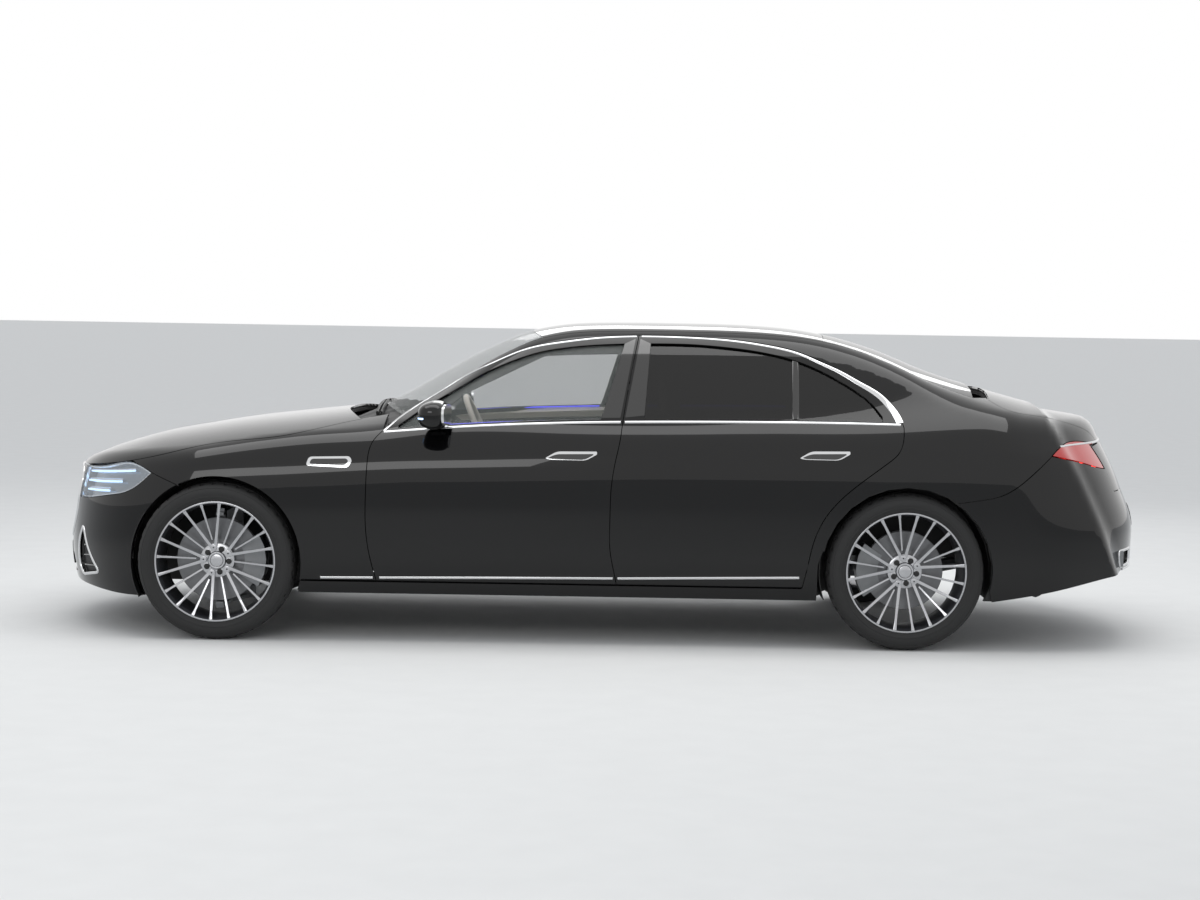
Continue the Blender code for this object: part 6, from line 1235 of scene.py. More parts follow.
def worked_bar(bm: bmesh.types.BMesh, place: Callable[[float, float, float], Vector], stations: int,
               bevel: float) -> None:
    """Add a bar with bevelled front edges, bent to its place.

    Args:
        bm: The mesh that it is added to.
        place: Where the bar's (length share, -1..1 across, 0..1 from back to front) lies.
        stations: The pieces along its length.
        bevel: The bevel's share of the front face.
    """
    bar = bmesh.new()
    bmesh.ops.create_cube(bar, size=1.0)
    bmesh.ops.translate(bar, vec=(0.5, 0, 0.5), verts=bar.verts)
    long_edges = [edge for edge in bar.edges if all(vert.co.z > 0.5 for vert in edge.verts)
                  and abs(edge.verts[0].co.x - edge.verts[1].co.x) > 0.5]
    bevelled(bar, long_edges, bevel)
    for i in range(1, stations):
        bmesh.ops.bisect_plane(bar, geom=bar.verts[:] + bar.edges[:] + bar.faces[:], dist=1e-6,
                               plane_co=(i / stations, 0, 0), plane_no=(1, 0, 0))
    for vert in bar.verts:
        vert.co = place(vert.co.x, vert.co.y * 2, vert.co.z)
    add_mesh(bm, bar)


def add_mesh(bm: bmesh.types.BMesh, part: bmesh.types.BMesh) -> None:
    """Add one mesh to another and free it."""
    held = bpy.data.meshes.new("held")
    part.to_mesh(held)
    part.free()
    bm.from_mesh(held)
    bpy.data.meshes.remove(held)


@dataclass
class Wheel:
    """One left wheel: a tyre, a rim of twenty slim spokes in five fans, a vented disc and a plain cap."""

    end: str
    centre: Vector
    phase_deg: float
    disc_radius: float
    tyre_radius: float = 0.366
    rim_radius: float = 0.2828
    rim_half: float = 0.118
    fans: int = 5
    hub_offset: float = 0.066
    steps: int = 90

    def tyre(self) -> bpy.types.Object:
        """Return the tyre, with its grooves, shoulder slots and rim guard."""
        tread, bead = self.tyre_radius, self.rim_radius + 0.0004
        side = [(tread, 0.012), (tread - 0.007, 0.0135), (tread - 0.007, 0.0215), (tread, 0.023),
                (tread - 0.0002, 0.038), (tread - 0.0004, 0.052), (tread - 0.0075, 0.0535),
                (tread - 0.0075, 0.0625), (tread - 0.0007, 0.064), (tread - 0.0018, 0.080),
                (tread - 0.0042, 0.096), (tread - 0.0085, 0.110), (tread - 0.014, 0.1185),
                (tread - 0.022, 0.1248), (tread - 0.0235, 0.1240), (tread - 0.030, 0.1285),
                (tread - 0.040, 0.1318), (tread - 0.050, 0.1325), (tread - 0.058, 0.1306),
                (tread - 0.0605, 0.1318), (tread - 0.066, 0.1300), (tread - 0.069, 0.1262),
                (tread - 0.076, 0.1225), (bead, 0.1175), (bead, 0.100)]
        section = side + [(radius, -offset) for radius, offset in side[::-1]]
        bm = turned(section, self.centre, 120)
        slots = []
        for face in bm.faces:
            middle = face.calc_center_median() - self.centre
            radius, offset = math.hypot(middle.x, middle.z), abs(middle.y)
            turn = int(round(math.degrees(math.atan2(middle.z, middle.x)) / 3 + 60))
            shoulder, rib = 0.066 < offset < 0.113, 0.026 < offset < 0.050 and middle.y > 0
            if radius > tread - 0.012 and (shoulder or rib) and turn % 3 == 0:
                slots.append(face)
        bmesh.ops.inset_region(bm, faces=slots, thickness=0.0012, depth=-0.0045, use_even_offset=True)
        return finished("tyre_tread_" + self.end + "_L", bm, RUBBER, 32)

    def barrel(self) -> bpy.types.Object:
        """Return the rim's lip and barrel."""
        lip, half = self.rim_radius, self.rim_half
        section = [(lip, half - 0.004), (lip - 0.0015, half - 0.0008), (lip - 0.004, half),
                   (lip - 0.0085, half - 0.0005), (lip - 0.0105, half - 0.003), (lip - 0.0125, half - 0.010),
                   (lip - 0.0165, half - 0.016), (lip - 0.018, half - 0.030), (lip - 0.022, half - 0.060),
                   (lip - 0.024, 0.0), (lip - 0.020, -half + 0.030), (lip - 0.010, -half), (lip, -half),
                   (lip, -half + 0.02), (lip - 0.009, -half + 0.045), (lip - 0.014, 0.0),
                   (lip - 0.009, half - 0.05),
                   (lip, half - 0.028)]
        return finished("rim_barrel_" + self.end + "_L", turned(section, self.centre, self.steps), CAST_ALLOY,
                        35)

    def polar(self, angle_deg: float, radius: float, offset: float) -> Vector:
        """Return the place at an angle from the tail side up, a radius and an outward offset."""
        angle = math.radians(angle_deg)
        return self.centre + Vector((math.cos(angle) * radius, -offset, math.sin(angle) * radius))

    def spoke(self, bm: bmesh.types.BMesh, root_deg: float, root_radius: float, tip_deg: float,
              widths: tuple[float, float], sunk: float) -> None:
        """Add one spoke.

        Args:
            bm: The mesh that it is added to.
            root_deg: Its angle at the hub.
            root_radius: Its inner end's radius.
            tip_deg: Its angle at the lip.
            widths: Its width at the hub and at the lip.
            sunk: How much lower than the fans' own spokes it lies at the hub.
        """
        tip_radius = self.rim_radius - 0.009
        start, end = self.polar(root_deg, root_radius, 0.0), self.polar(tip_deg, tip_radius, 0.0)
        along = (end - start).normalized()
        across = Vector((-along.z, 0.0, along.x))
        face = self.rim_half - 0.0035

        def place(share: float, side: float, deep: float) -> Vector:
            """Return where a point of the bar lies."""
            width = widths[0] + (widths[1] - widths[0]) * share ** 0.7
            width += 0.006 * max(0.0, share - 0.93) / 0.07
            height = self.hub_offset - sunk * (1 - share) ** 2 + (face - self.hub_offset) * share ** 1.35
            thick = 0.026 - 0.008 * share
            narrow = 1.0 - 0.45 * (1 - deep)
            return start.lerp(end, share) + across * (side * narrow * width / 2) + Vector((0, -1, 0)) * (
                height - thick * (1 - deep))

        worked_bar(bm, place, 7, 0.09)

    def spokes(self) -> bpy.types.Object:
        """Return the five fans: a pair that springs from a pad, one spoke inside it and one beside it."""
        bm = bmesh.new()
        for fan in range(self.fans):
            axis = self.phase_deg + fan * 360 / self.fans
            for side in (-1, 1):
                self.spoke(bm, axis + side * 4.0, 0.052, axis + side * 18.0, (0.0165, 0.0115), 0.0)
            self.spoke(bm, axis, 0.098, axis, (0.0085, 0.0105), 0.012)
            self.spoke(bm, axis + 36, 0.080, axis + 36, (0.0095, 0.0105), 0.012)
        return finished("rim_spokes_" + self.end + "_L", bm, TURNED_ALLOY, 30, closed=True)

    def lip(self) -> bpy.types.Object:
        """Return the turned bright edge of the rim."""
        lip, half = self.rim_radius, self.rim_half
        section = [(lip - 0.0006, half - 0.0030), (lip - 0.0020, half + 0.0002),
                   (lip - 0.0046, half + 0.0010),
                   (lip - 0.0092, half + 0.0003), (lip - 0.0102, half - 0.0030)]
        return finished("rim_edge_" + self.end + "_L", turned(section, self.centre, self.steps), TURNED_ALLOY,
                        40)

    def hub(self) -> bpy.types.Object:
        """Return the hub with its pads, bolt wells and plain domed cap."""
        deep = self.hub_offset
        section = [(0.0, deep + 0.0065), (0.012, deep + 0.0062), (0.022, deep + 0.0050),
                   (0.0285, deep + 0.0028),
                   (0.0300, deep + 0.0005), (0.0305, deep - 0.0015), (0.0312, deep + 0.0012),
                   (0.0350, deep + 0.0022),
                   (0.0390, deep + 0.0012), (0.0405, deep - 0.0030), (0.0440, deep - 0.0075),
                   (0.0740, deep - 0.0105),
                   (0.0800, deep - 0.0135), (0.0820, deep - 0.020), (0.0820, deep - 0.040),
                   (0.0, deep - 0.040)]
        bm = turned(section, self.centre, 60, closed=False)
        for fan in range(self.fans):
            axis = self.phase_deg + fan * 360 / self.fans
            self.stud(bm, self.polar(axis, 0.0625, deep - 0.010), 0.0155, 0.0125, 48)
            self.stud(bm, self.polar(axis + 36, 0.056, deep - 0.016), 0.0165, 0.0085, 48)
        return finished("rim_hub_" + self.end + "_L", bm, TURNED_ALLOY, 35)

    def stud(self, bm: bmesh.types.BMesh, place: Vector, radius: float, tall: float, sides: int) -> None:
        """Add a round boss with a bevelled edge that faces outwards."""
        boss = bmesh.new()
        bmesh.ops.create_cone(boss, cap_ends=True, segments=sides, radius1=radius, radius2=radius, depth=tall)
        top = [edge for edge in boss.edges if all(vert.co.z > 0 for vert in edge.verts)]
        bevelled(boss, top, min(radius * 0.12, tall * 0.4))
        bmesh.ops.translate(boss, vec=(0, 0, tall / 2), verts=boss.verts)
        bmesh.ops.rotate(boss, verts=boss.verts, cent=(0, 0, 0), matrix=Matrix.Rotation(math.pi / 2, 3, "X"))
        bmesh.ops.translate(boss, vec=place, verts=boss.verts)
        add_mesh(bm, boss)

    def bolts(self) -> bpy.types.Object:
        """Return the five wheel bolts, each on a thin black disc that paints the shade of its well, and a
        black dot on each pad that paints the shade of a drilling.
        """
        bm = bmesh.new()
        for fan in range(self.fans):
            axis = self.phase_deg + fan * 360 / self.fans
            # Thin black discs stand in for holes: painted shade of the bolt wells and of the pads' drillings
            self.stud(bm, self.polar(axis + 36, 0.056, self.hub_offset - 0.008), 0.0135, 0.0012, 32)
            self.stud(bm, self.polar(axis + 36, 0.056, self.hub_offset - 0.008), 0.0085, 0.0060, 6)
            self.stud(bm, self.polar(axis, 0.0625, self.hub_offset + 0.0022), 0.0036, 0.0008, 24)
        return finished("wheel_bolts_" + self.end + "_L", bm, PLASTIC, 35)

    def disc(self) -> bpy.types.Object:
        """Return the vented brake disc on its bell."""
        out, radius = 0.008, self.disc_radius
        section = [(0.070, out + 0.020), (0.078, out + 0.018), (0.082, out + 0.002), (0.098, out - 0.001),
                   (0.104, out), (radius - 0.0015, out), (radius, out - 0.0015), (radius, out - 0.010),
                   (radius - 0.012, out - 0.011), (radius - 0.012, out - 0.019), (radius, out - 0.020),
                   (radius, out - 0.029), (radius - 0.0015, out - 0.030), (0.100, out - 0.030),
                   (0.070, out - 0.010)]
        bm = turned(section, self.centre, 90)
        return finished("brake_disc_" + self.end + "_L", bm, IRON, 30)

    def build(self) -> list[bpy.types.Object]:
        """Return every piece of the wheel."""
        return [self.barrel(), self.lip(), self.spokes(), self.hub(), self.bolts(), self.disc(), self.tyre()]


@dataclass
class RunningGear:
    """The four wheels, each on its own body."""

    def build(self) -> None:
        """Build the wheels of both axles on both sides."""
        for end, x, phase, disc in (("front", FRONT_AXLE_X, 104.0, 0.196),
                                    ("rear", REAR_AXLE_X, 98.0, 0.185)):
            pieces = Wheel(end, Vector((x, -TRACK_HALF, AXLE_Z)), phase, disc).build()
            for piece in pieces:
                copy = mirrored(piece, piece.name[:-1] + "R")
                copy.data.polygons.foreach_set("use_smooth", [True] * len(copy.data.polygons))
                for made, side in ((piece, "L"), (copy, "R")):
                    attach(made, "wheel_" + end + "_" + side)
                    if made.name.startswith("rim_barrel"):
                        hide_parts("rim_" + end + "_" + side)
                    if made.name.startswith("tyre"):
                        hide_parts("tyre_" + end + "_" + side)


# Trim that follows the body form

STRIP_SECTION = ((-0.5, -1.0), (-0.5, 0.25), (-0.40, 0.75), (-0.18, 1.0), (0.18, 1.0), (0.40, 0.75),
                 (0.5, 0.25), (0.5, -1.0))


def strip(name: str, run: np.ndarray, width: Callable[[float], float] | float, height: float, finish: Finish,
          shift: float = 0.0, closed: bool = False) -> bpy.types.Object:
    """Return a crowned strip of trim along a line on the body form.

    Args:
        name: The strip's name.
        run: The line's places.
        width: Its width, or its width by the share of its length.
        height: How far its crown stands out.
        finish: What it is made of.
        shift: How far its middle lies to the left of the line.
        closed: Whether the line is a ring.

    Returns:
        The strip.
    """
    kept = [0] + [i for i in range(1, len(run)) if np.linalg.norm(run[i] - run[i - 1]) > 0.002]
    run = run[kept]
    if closed:
        run = np.vstack([run, run[:1]])
    count, rows = len(run), len(STRIP_SECTION)
    tangent = np.gradient(run, axis=0)
    if closed:
        tangent[0] = tangent[-1] = run[1] - run[-2]
    tangent /= np.linalg.norm(tangent, axis=1, keepdims=True)
    across = np.cross(FORM.normal(run), tangent)
    bm = bmesh.new()
    bmesh.ops.create_grid(bm, x_segments=count - 1, y_segments=rows, size=0.5)
    spots = [(int(round((vert.co.x + 0.5) * (count - 1))), int(round((vert.co.y + 0.5) * rows)) % rows)
             for vert in bm.verts]
    places = []
    for i, row in spots:
        wide = width(i / (count - 1)) if callable(width) else width
        places.append(run[i] + across[i] * (shift + wide * STRIP_SECTION[row][0]))
    places = np.array(places)
    for _ in range(2):
        places -= FORM.normal(places) * FORM.distance(places)[:, None]
    places += FORM.normal(places) * (np.array([STRIP_SECTION[row][1] for _, row in spots]) * height)[:, None]
    for vert, place in zip(bm.verts, places):
        vert.co = place
    bmesh.ops.remove_doubles(bm, verts=bm.verts, dist=0.00001)
    if not closed:
        bmesh.ops.holes_fill(bm, edges=[edge for edge in bm.edges if edge.is_boundary], sides=rows)
    return finished(name, bm, finish, 50, closed=True)


def side_plate(name: str, corners: Pairs, radius: float, finish: Finish, proud: float, wall: float = 0.006,
               holes: list[Pairs] | None = None) -> bpy.types.Object:
    """Return a thin plate on the left side, drawn in side view in shares.

    Args:
        name: The plate's name.
        corners: Its corners.
        radius: How round they are.
        finish: Its finish.
        proud: How far its face stands outside the body form.
        wall: Its thickness.
        holes: The corners of its openings.

    Returns:
        The plate.
    """
    def flat(shares: Pairs) -> Loop:
        """Return a rounded outline on the chart."""
        return ROUND_AXIS.find(FORM.on_side(round_outline(metres(shares), radius, 0.006)))

    return Panel(name, ROUND_AXIS, flat(corners), finish, [flat(hole) for hole in holes or []], 0.012, proud,
                 wall,
                 0.0009).build()


@dataclass
class BrightTrim:
    """The bright window surround, waist and sill strips, handles, bezels and rings."""

    skin: OuterSkin

    def on_sides(self, piece: bpy.types.Object, body: str, slot: str = "chrome",
                 proud: float | None = None) -> None:
        """Put a trim piece and its mirrored copy on their bodies."""
        self.skin.both_sides(piece, body, None, proud, slot)

    def window_surround(self) -> None:
        """Lay the bright line round the side windows, wider where it meets the rear quarter."""
        front = side_run(((0.2365, 0.6555),) + FRONT_DOOR_TOP_SHARES[1:-1] + ((0.6055, 0.9617),))
        self.on_sides(strip("surround_front_L", front, 0.0125, 0.0022, CHROME, shift=-0.0105),
                      "door_front_L_body")
        rear = side_run(((0.6135, 0.962),) + REAR_DOOR_TOP_SHARES[1:-1] + ((0.9925, 0.705),))

        def widening(share: float) -> float:
            """Return the rear strip's width along its length."""
            return 0.0125 + 0.020 * max(0.0, min(1.0, (share - 0.55) / 0.40)) ** 1.6

        self.on_sides(strip("surround_rear_L", rear, widening, 0.0022, CHROME, shift=-0.0105),
                      "door_rear_L_body")

    def waist(self) -> None:
        """Lay the bright strip along the foot of the side windows."""
        for name, body, start, end in (("waist_front_L", "door_front_L_body", 0.240, 0.5835),
                                       ("waist_rear_L", "door_rear_L_body", 0.5895, 0.990)):
            run = side_run(belt_line(start, end, 0.0015, 40))
            self.on_sides(strip(name, run, 0.0130, 0.0024, CHROME), body)

    def sills(self) -> None:
        """Lay the bright strip low along the fender and the doors."""
        for name, body, points in (
                ("sill_strip_fender_L", "body", ((0.152, 0.1985), (0.228, 0.2005))),
                ("sill_strip_front_L", "door_front_L_body", ((0.2375, 0.2007), (0.40, 0.206),
                                                             (0.5755, 0.2105))),
                ("sill_strip_rear_L", "door_rear_L_body", ((0.5825, 0.2107), (0.70, 0.216),
                                                           (0.845, 0.2225)))):
            self.on_sides(strip(name, side_run(points), 0.0125, 0.0028, CHROME), body)

    def handles(self) -> None:
        """Fit the flush door handles: a bright blade round a black grip."""
        for name, body, low, high, middle in (("front", "door_front_L_body", 0.474, 0.550, 0.590),
                                              ("rear", "door_rear_L_body", 0.841, 0.915, 0.603)):
            outline = [(low, middle - 0.0105), (low + 0.010, middle - 0.0138),
                       (high - 0.016, middle - 0.0148),
                       (high, middle + 0.0040), (high, middle + 0.0128), (low + 0.018, middle + 0.0112)]
            grip = [(low + 0.0045, middle - 0.0090), (low + 0.0105, middle - 0.0118),
                    (high - 0.0175, middle - 0.0128),
                    (high - 0.0052, middle + 0.0022), (high - 0.0056, middle + 0.0052),
                    (low + 0.0170, middle + 0.0030)]
            blade = side_plate(name + "_handle_blade_L", outline, 0.020, CHROME, 0.0042, 0.006, [grip])
            self.on_sides(blade, body, proud=0.0042)
            well = side_plate(name + "_handle_grip_L", grip, 0.014, PIANO, 0.0028, 0.005)
            self.on_sides(well, body, "black_paint", 0.0028)

    def bezel(self) -> None:
        """Fit the bright bezel on the fender, with a plain black panel in it."""
        low, high, middle, half = 0.130, 0.197, 0.5585, 0.0175
        outline = [(low, middle - half * 0.75), (high - 0.006, middle - half), (high, middle + half * 0.2),
                   (high - 0.004, middle + half), (low + 0.004, middle + half * 0.8)]
        inner = [(low + 0.005, middle - half * 0.42), (high - 0.0105, middle - half * 0.62),
                 (high - 0.0055, middle + half * 0.15), (high - 0.0085, middle + half * 0.60),
                 (low + 0.008, middle + half * 0.45)]
        ring = side_plate("fender_bezel_L", outline, 0.016, CHROME, 0.0035, 0.005, [inner])
        self.on_sides(ring, "body", proud=0.0035)
        self.on_sides(side_plate("fender_bezel_panel_L", inner, 0.010, PIANO, 0.0016, 0.004), "body",
                      "black_paint", 0.0016)

    def intake_rings(self) -> None:
        """Ring the side intakes and the exhaust openings with bright trim, and lay a bright strip across the
        rear apron.
        """
        edge = round_outline(end_metres(SIDE_INTAKE_SHARES), 0.03, 0.008)
        ring = FORM.on_end(edge, End.NOSE)
        self.on_sides(strip("intake_ring_L", ring, 0.0150, 0.0040, CHROME, closed=True), "body")
        pipe = pipe_outline(-1, 0.008)
        self.on_sides(strip("exhaust_trim_L", FORM.on_end(pipe, End.TAIL), 0.0135, 0.0050, CHROME,
                            closed=True), "body")
        sash = end_run([(-0.63, 0.2405), (-0.4, 0.2395), (0.0, 0.2395), (0.4, 0.2395), (0.63, 0.2405)],
                       End.TAIL)
        made = strip("rear_apron_strip", sash, 0.012, 0.0035, CHROME)
        self.skin.put_on(made, "body", slot="chrome")

    def build(self) -> None:
        """Fit all the bright trim."""
        self.window_surround()
        self.waist()
        self.sills()
        self.handles()
        self.bezel()
        self.intake_rings()


# Lamps

@dataclass
class Lamps:
    """The headlamps and tail lamps, with what shows inside them."""

    skin: OuterSkin
    depth: float = 0.028

    def headlamps(self) -> None:
        """Build a clear cover, a dark bowl, a bright rim and three lit bars on bright shelves in each
        headlamp.
        """
        inner = LAMP_INNER_SHARE
        upper = side_shade(side_run([(-0.25, 0.513), (-0.209, 0.517), (-0.170, 0.528), (-0.13, 0.542),
                                     (-0.096, 0.514)]), inner * HALF_WIDTH)
        lower = side_shade(side_run([(-0.096, 0.514), (-0.134, 0.452), (-0.17, 0.433), (-0.206, 0.418),
                                     (-0.25, 0.412)]), inner * HALF_WIDTH)
        ends = [end_run([(-inner, 0.5145), (-inner, 0.414)], End.NOSE)[::-1]]
        cover = self.skin.panel("headlamp_cover_L", NOSE_POST, [upper, lower, *ends], LENS, cell=0.02,
                                wall=0.003,
                                gap=0.0016)
        self.skin.both_sides(cover, "body", "headlamp_L", 0.0, "clear_lens")
        bowl = self.skin.panel("headlamp_bowl_L", NOSE_POST, [upper, lower, *ends], PIANO, cell=0.02,
                               wall=0.006,
                               gap=0.006, proud=-self.depth - 0.012, edge=0.0)
        self.skin.both_sides(bowl, "body", None, -self.depth - 0.012, "black_plastic")
        rim = self.skin.panel("headlamp_rim_L", NOSE_POST, [upper, lower, *ends], CHROME, cell=0.02,
                              wall=0.012,
                              gap=0.0035, proud=-0.007, edge=0.0,
                              holes=[shrunk(NOSE_POST.find(np.vstack([upper, lower, *ends])), 0.0075)])
        self.skin.both_sides(rim, "body", None, -0.007, "chrome")
        for i, (lead, rear, low, high) in enumerate(((-0.232, -0.128, 0.497, 0.520),
                                                     (-0.236, -0.150, 0.468, 0.482),
                                                     (-0.236, -0.172, 0.440, 0.449))):
            line = side_shade(side_run([(lead, low), ((lead + rear) / 2, (low + high) / 2), (rear, high)]),
                              (inner + 0.02) * HALF_WIDTH)
            bar = self.sunk(strip("headlamp_bar_%d_L" % i, line, 0.0085, 0.004, ICE_GLOW), self.depth - 0.006)
            self.skin.both_sides(bar, "body", None, None, "clear_lens")
            shelf = self.sunk(strip("headlamp_shelf_%d_L" % i, line, 0.016, 0.006, CHROME, shift=0.010),
                              self.depth + 0.002)
            self.skin.both_sides(shelf, "body", None, None, "chrome")

    def sunk(self, piece: bpy.types.Object, depth: float) -> bpy.types.Object:
        """Return a piece moved in from the body form by a depth."""
        places = np.array([vert.co[:] for vert in piece.data.vertices])
        places -= FORM.normal(places) * depth
        piece.data.vertices.foreach_set("co", places.ravel())
        piece.data.update()
        return piece

    def tail_lamps(self) -> None:
        """Build a red cover over lit bars in each tail lamp, with the bright line above them."""
        tail = TAIL_LAMP_INNER_SHARE
        upper = side_run([(1.21, 0.611), (1.222, 0.633), (1.295, 0.638)])
        upper = np.vstack([upper, side_shade(side_run([(1.295, 0.638), (1.33, 0.637)]), tail * HALF_WIDTH)])
        lower = side_shade(side_run([(1.345, 0.560), (1.314, 0.559), (1.266, 0.584), (1.21, 0.611)]),
                           tail * HALF_WIDTH)
        ends = [end_run([(-tail, 0.637), (-tail, 0.562)], End.TAIL)]
        cover = self.skin.panel("tail_lamp_cover_L", TAIL_POST, [upper, *ends, lower], RED_LENS, cell=0.02,
                                wall=0.0035, gap=0.0016)
        self.skin.both_sides(cover, "body", "tail_lamp_L", 0.0, "red_lens")
        bowl = self.skin.panel("tail_lamp_bowl_L", TAIL_POST, [upper, *ends, lower], PIANO, cell=0.02,
                               wall=0.006, gap=0.005, proud=-0.034, edge=0.0)
        self.skin.both_sides(bowl, "body", None, -0.034, "black_plastic")
        for i, (lead, low) in enumerate(((1.232, 0.622), (1.240, 0.606), (1.262, 0.590), (1.285, 0.575))):
            line = side_shade(side_run([(lead, low), (1.30, low - 0.002), (1.345, low - 0.004)]),
                              (tail + 0.02) * HALF_WIDTH)
            bar = self.sunk(strip("tail_lamp_bar_%d_L" % i, line, 0.0075, 0.004, RED_GLOW), 0.010)
            self.skin.both_sides(bar, "body", None, None, "red_lens")
        line = side_run([(1.224, 0.6385), (1.262, 0.6415), (1.297, 0.6425)])
        bright = strip("tail_lamp_line_L", line, 0.010, 0.003, CHROME)
        self.skin.both_sides(bright, "body", None, None, "chrome")
        line = end_run([(-0.57, 0.641), (-0.3, 0.6445), (0.0, 0.6455), (0.3, 0.6445), (0.57, 0.641)],
                       End.TAIL)
        self.skin.put_on(strip("boot_lid_line", line, 0.012, 0.003, CHROME), "boot_lid_body", slot="chrome")

    def build(self) -> None:
        """Build all four lamps."""
        self.headlamps()
        self.tail_lamps()


# Grille

@dataclass
class Grille:
    """The grille: a bright frame, twin louvres and a dark core behind them."""

    skin: OuterSkin
    rim: float = 0.022
    louvres: int = 4
    recess: float = 0.020

    def build(self) -> None:
        """Build the grille's frame, louvres, uprights and core."""
        edge = even_loop(grille_edge(-self.rim / 2), 0.010)
        frame_ring = strip("grille_frame", FORM.on_end(edge, End.NOSE), self.rim, 0.005, CHROME, closed=True)
        self.skin.put_on(frame_ring, "body", "grille", slot="chrome")
        inner = np.array(grille_edge(-self.rim))
        low, top = inner[:, 1].min(), inner[:, 1].max()
        for i in range(self.louvres):
            z = low + (top - low) * (i + 0.6) / (self.louvres + 0.2)
            half = self.half_at(inner, z) - 0.004
            line = end_run([(s * half / HALF_WIDTH, z / HEIGHT) for s in np.linspace(-1, 1, 13)], End.NOSE)
            for k, (shift, wide) in enumerate(((0.0075, 0.011), (-0.0075, 0.011))):
                louvre = strip("grille_louvre_%d_%d" % (i, k), line, wide, 0.007, CHROME, shift=shift)
                self.skin.put_on(self.sunk_to(louvre, self.recess), "body", slot="chrome")
        uprights = bmesh.new()
        for share in np.linspace(-0.92, 0.92, 33):
            y = share * inner[:, 0].max()
            inside = [z for z in np.linspace(low, top, 60) if abs(y) < self.half_at(inner, z) - 0.003]
            line = end_run([(y / HALF_WIDTH, z / HEIGHT) for z in np.linspace(min(inside), max(inside), 9)],
                           End.NOSE)
            bar = strip("grille_upright", line, 0.0045, 0.006, PIANO)
            uprights.from_mesh(self.sunk_to(bar, self.recess + 0.016).data)
            bpy.data.objects.remove(bar)
        made = give_piece("grille_uprights", uprights, PIANO.build())
        self.skin.put_on(made, "body", slot="black_plastic")
        edge = FORM.on_end(even_loop(grille_edge(-0.006), 0.01), End.NOSE)
        core = self.skin.panel("grille_core", NOSE_POST, [edge], PLASTIC, cell=0.03, wall=0.006, gap=0.0,
                               proud=-self.recess - 0.030, edge=0.0)
        self.skin.put_on(core, "body", slot="black_plastic")
        for side, name in ((-1, "L"), (1, "R")):
            hole = round_outline(end_metres(SIDE_INTAKE_SHARES, -side), 0.03)
            grid = self.skin.panel("intake_grid_" + name, NOSE_POST, [FORM.on_end(hole, End.NOSE)], PLASTIC,
                                   wall=0.005,
                                  gap=-0.006, proud=-0.020, edge=0.0)
            self.skin.put_on(grid, "body", slot="black_plastic")
            for i in range(3):
                ends = ((0.60 + 0.012 * i, 0.20 + 0.032 * i), (0.705 - 0.022 * i, 0.205 + 0.032 * i))
                line = end_run([(side * y, z) for y, z in ends], End.NOSE)
                blade = strip("intake_blade_%d_%s" % (i, name), line, 0.007, 0.006, PIANO)
                self.skin.put_on(self.sunk_to(blade, 0.012), "body", slot="black_plastic")
        hole = round_outline(end_metres(MIDDLE_INTAKE_SHARES), 0.02)
        grid = self.skin.panel("lower_intake_grid", NOSE_POST, [FORM.on_end(hole, End.NOSE)], PLASTIC,
                               wall=0.005,
                              gap=-0.006, proud=-0.024, edge=0.0)
        self.skin.put_on(grid, "body", slot="black_plastic")
        for i in range(3):
            z = 0.178 + 0.016 * i
            half = 0.452 - 0.010 * i
            line = end_run([(s * half, z) for s in np.linspace(-1, 1, 11)], End.NOSE)
            blade = strip("lower_intake_blade_%d" % i, line, 0.008, 0.006, PIANO)
            self.skin.put_on(self.sunk_to(blade, 0.014), "body", slot="black_plastic")

    def half_at(self, outline: np.ndarray, z: float) -> float:
        """Return the outline's half width at a height."""
        best = 0.0
        for (ay, az), (by, bz) in zip(outline, np.roll(outline, -1, axis=0)):
            if az != bz and min(az, bz) <= z <= max(az, bz):
                best = max(best, ay + (by - ay) * (z - az) / (bz - az))
        return best

    def sunk_to(self, piece: bpy.types.Object, depth: float) -> bpy.types.Object:
        """Return a piece moved straight back from the nose by a depth."""
        for vert in piece.data.vertices:
            vert.co.x += depth
        piece.data.update()
        return piece


# Cabin

def pad(name: str, place: Callable[[float, float, float], Vector], channels: Iterable[float], finish: Finish,
        depth: float = 0.10, cuts: int = 22, power: float = 5.0) -> bpy.types.Object:
    """Return a stuffed pad: crowned, pulled in between its corners, with sewn channels and a piped edge.

    Args:
        name: The pad's name.
        place: Where the pad's (across, along, out) point lies, each from -1 to 1.
        channels: Where the sewn channels run, across the pad.
        finish: Its leather.
        depth: How deep a channel is, as a share of half the pad's thickness.
        cuts: The cuts along each edge of the block that it starts from.
        power: How square the pad is.

    Returns:
        The pad.
    """
    bm = bmesh.new()
    bmesh.ops.create_cube(bm, size=2.0)
    bmesh.ops.subdivide_edges(bm, edges=bm.edges, cuts=cuts, use_grid_fill=True)
    for vert in bm.verts:
        across, along, out = vert.co
        norm = (abs(across) ** power + abs(along) ** power + abs(out) ** power) ** (1 / power)
        across, along, out = across / norm, along / norm, out / norm
        crown = (1 - 0.22 * across ** 4) * (1 - 0.22 * along ** 4)
        out *= crown
        if vert.co.z > 0.2:
            for line in channels:
                out -= depth * math.exp(-((across - line) / 0.035) ** 2) * min(1.0, 4 * (1 - abs(along)))
            edge = max(abs(across), abs(along))
            out -= 0.5 * depth * math.exp(-((edge - 0.86) / 0.02) ** 2)
        vert.co = (across * (1 - 0.03 * (1 - along ** 2)), along * (1 - 0.03 * (1 - across ** 2)), out)
    for vert in bm.verts:
        vert.co = place(*vert.co)
    made = soft_piece(name, bm, finish)
    return made


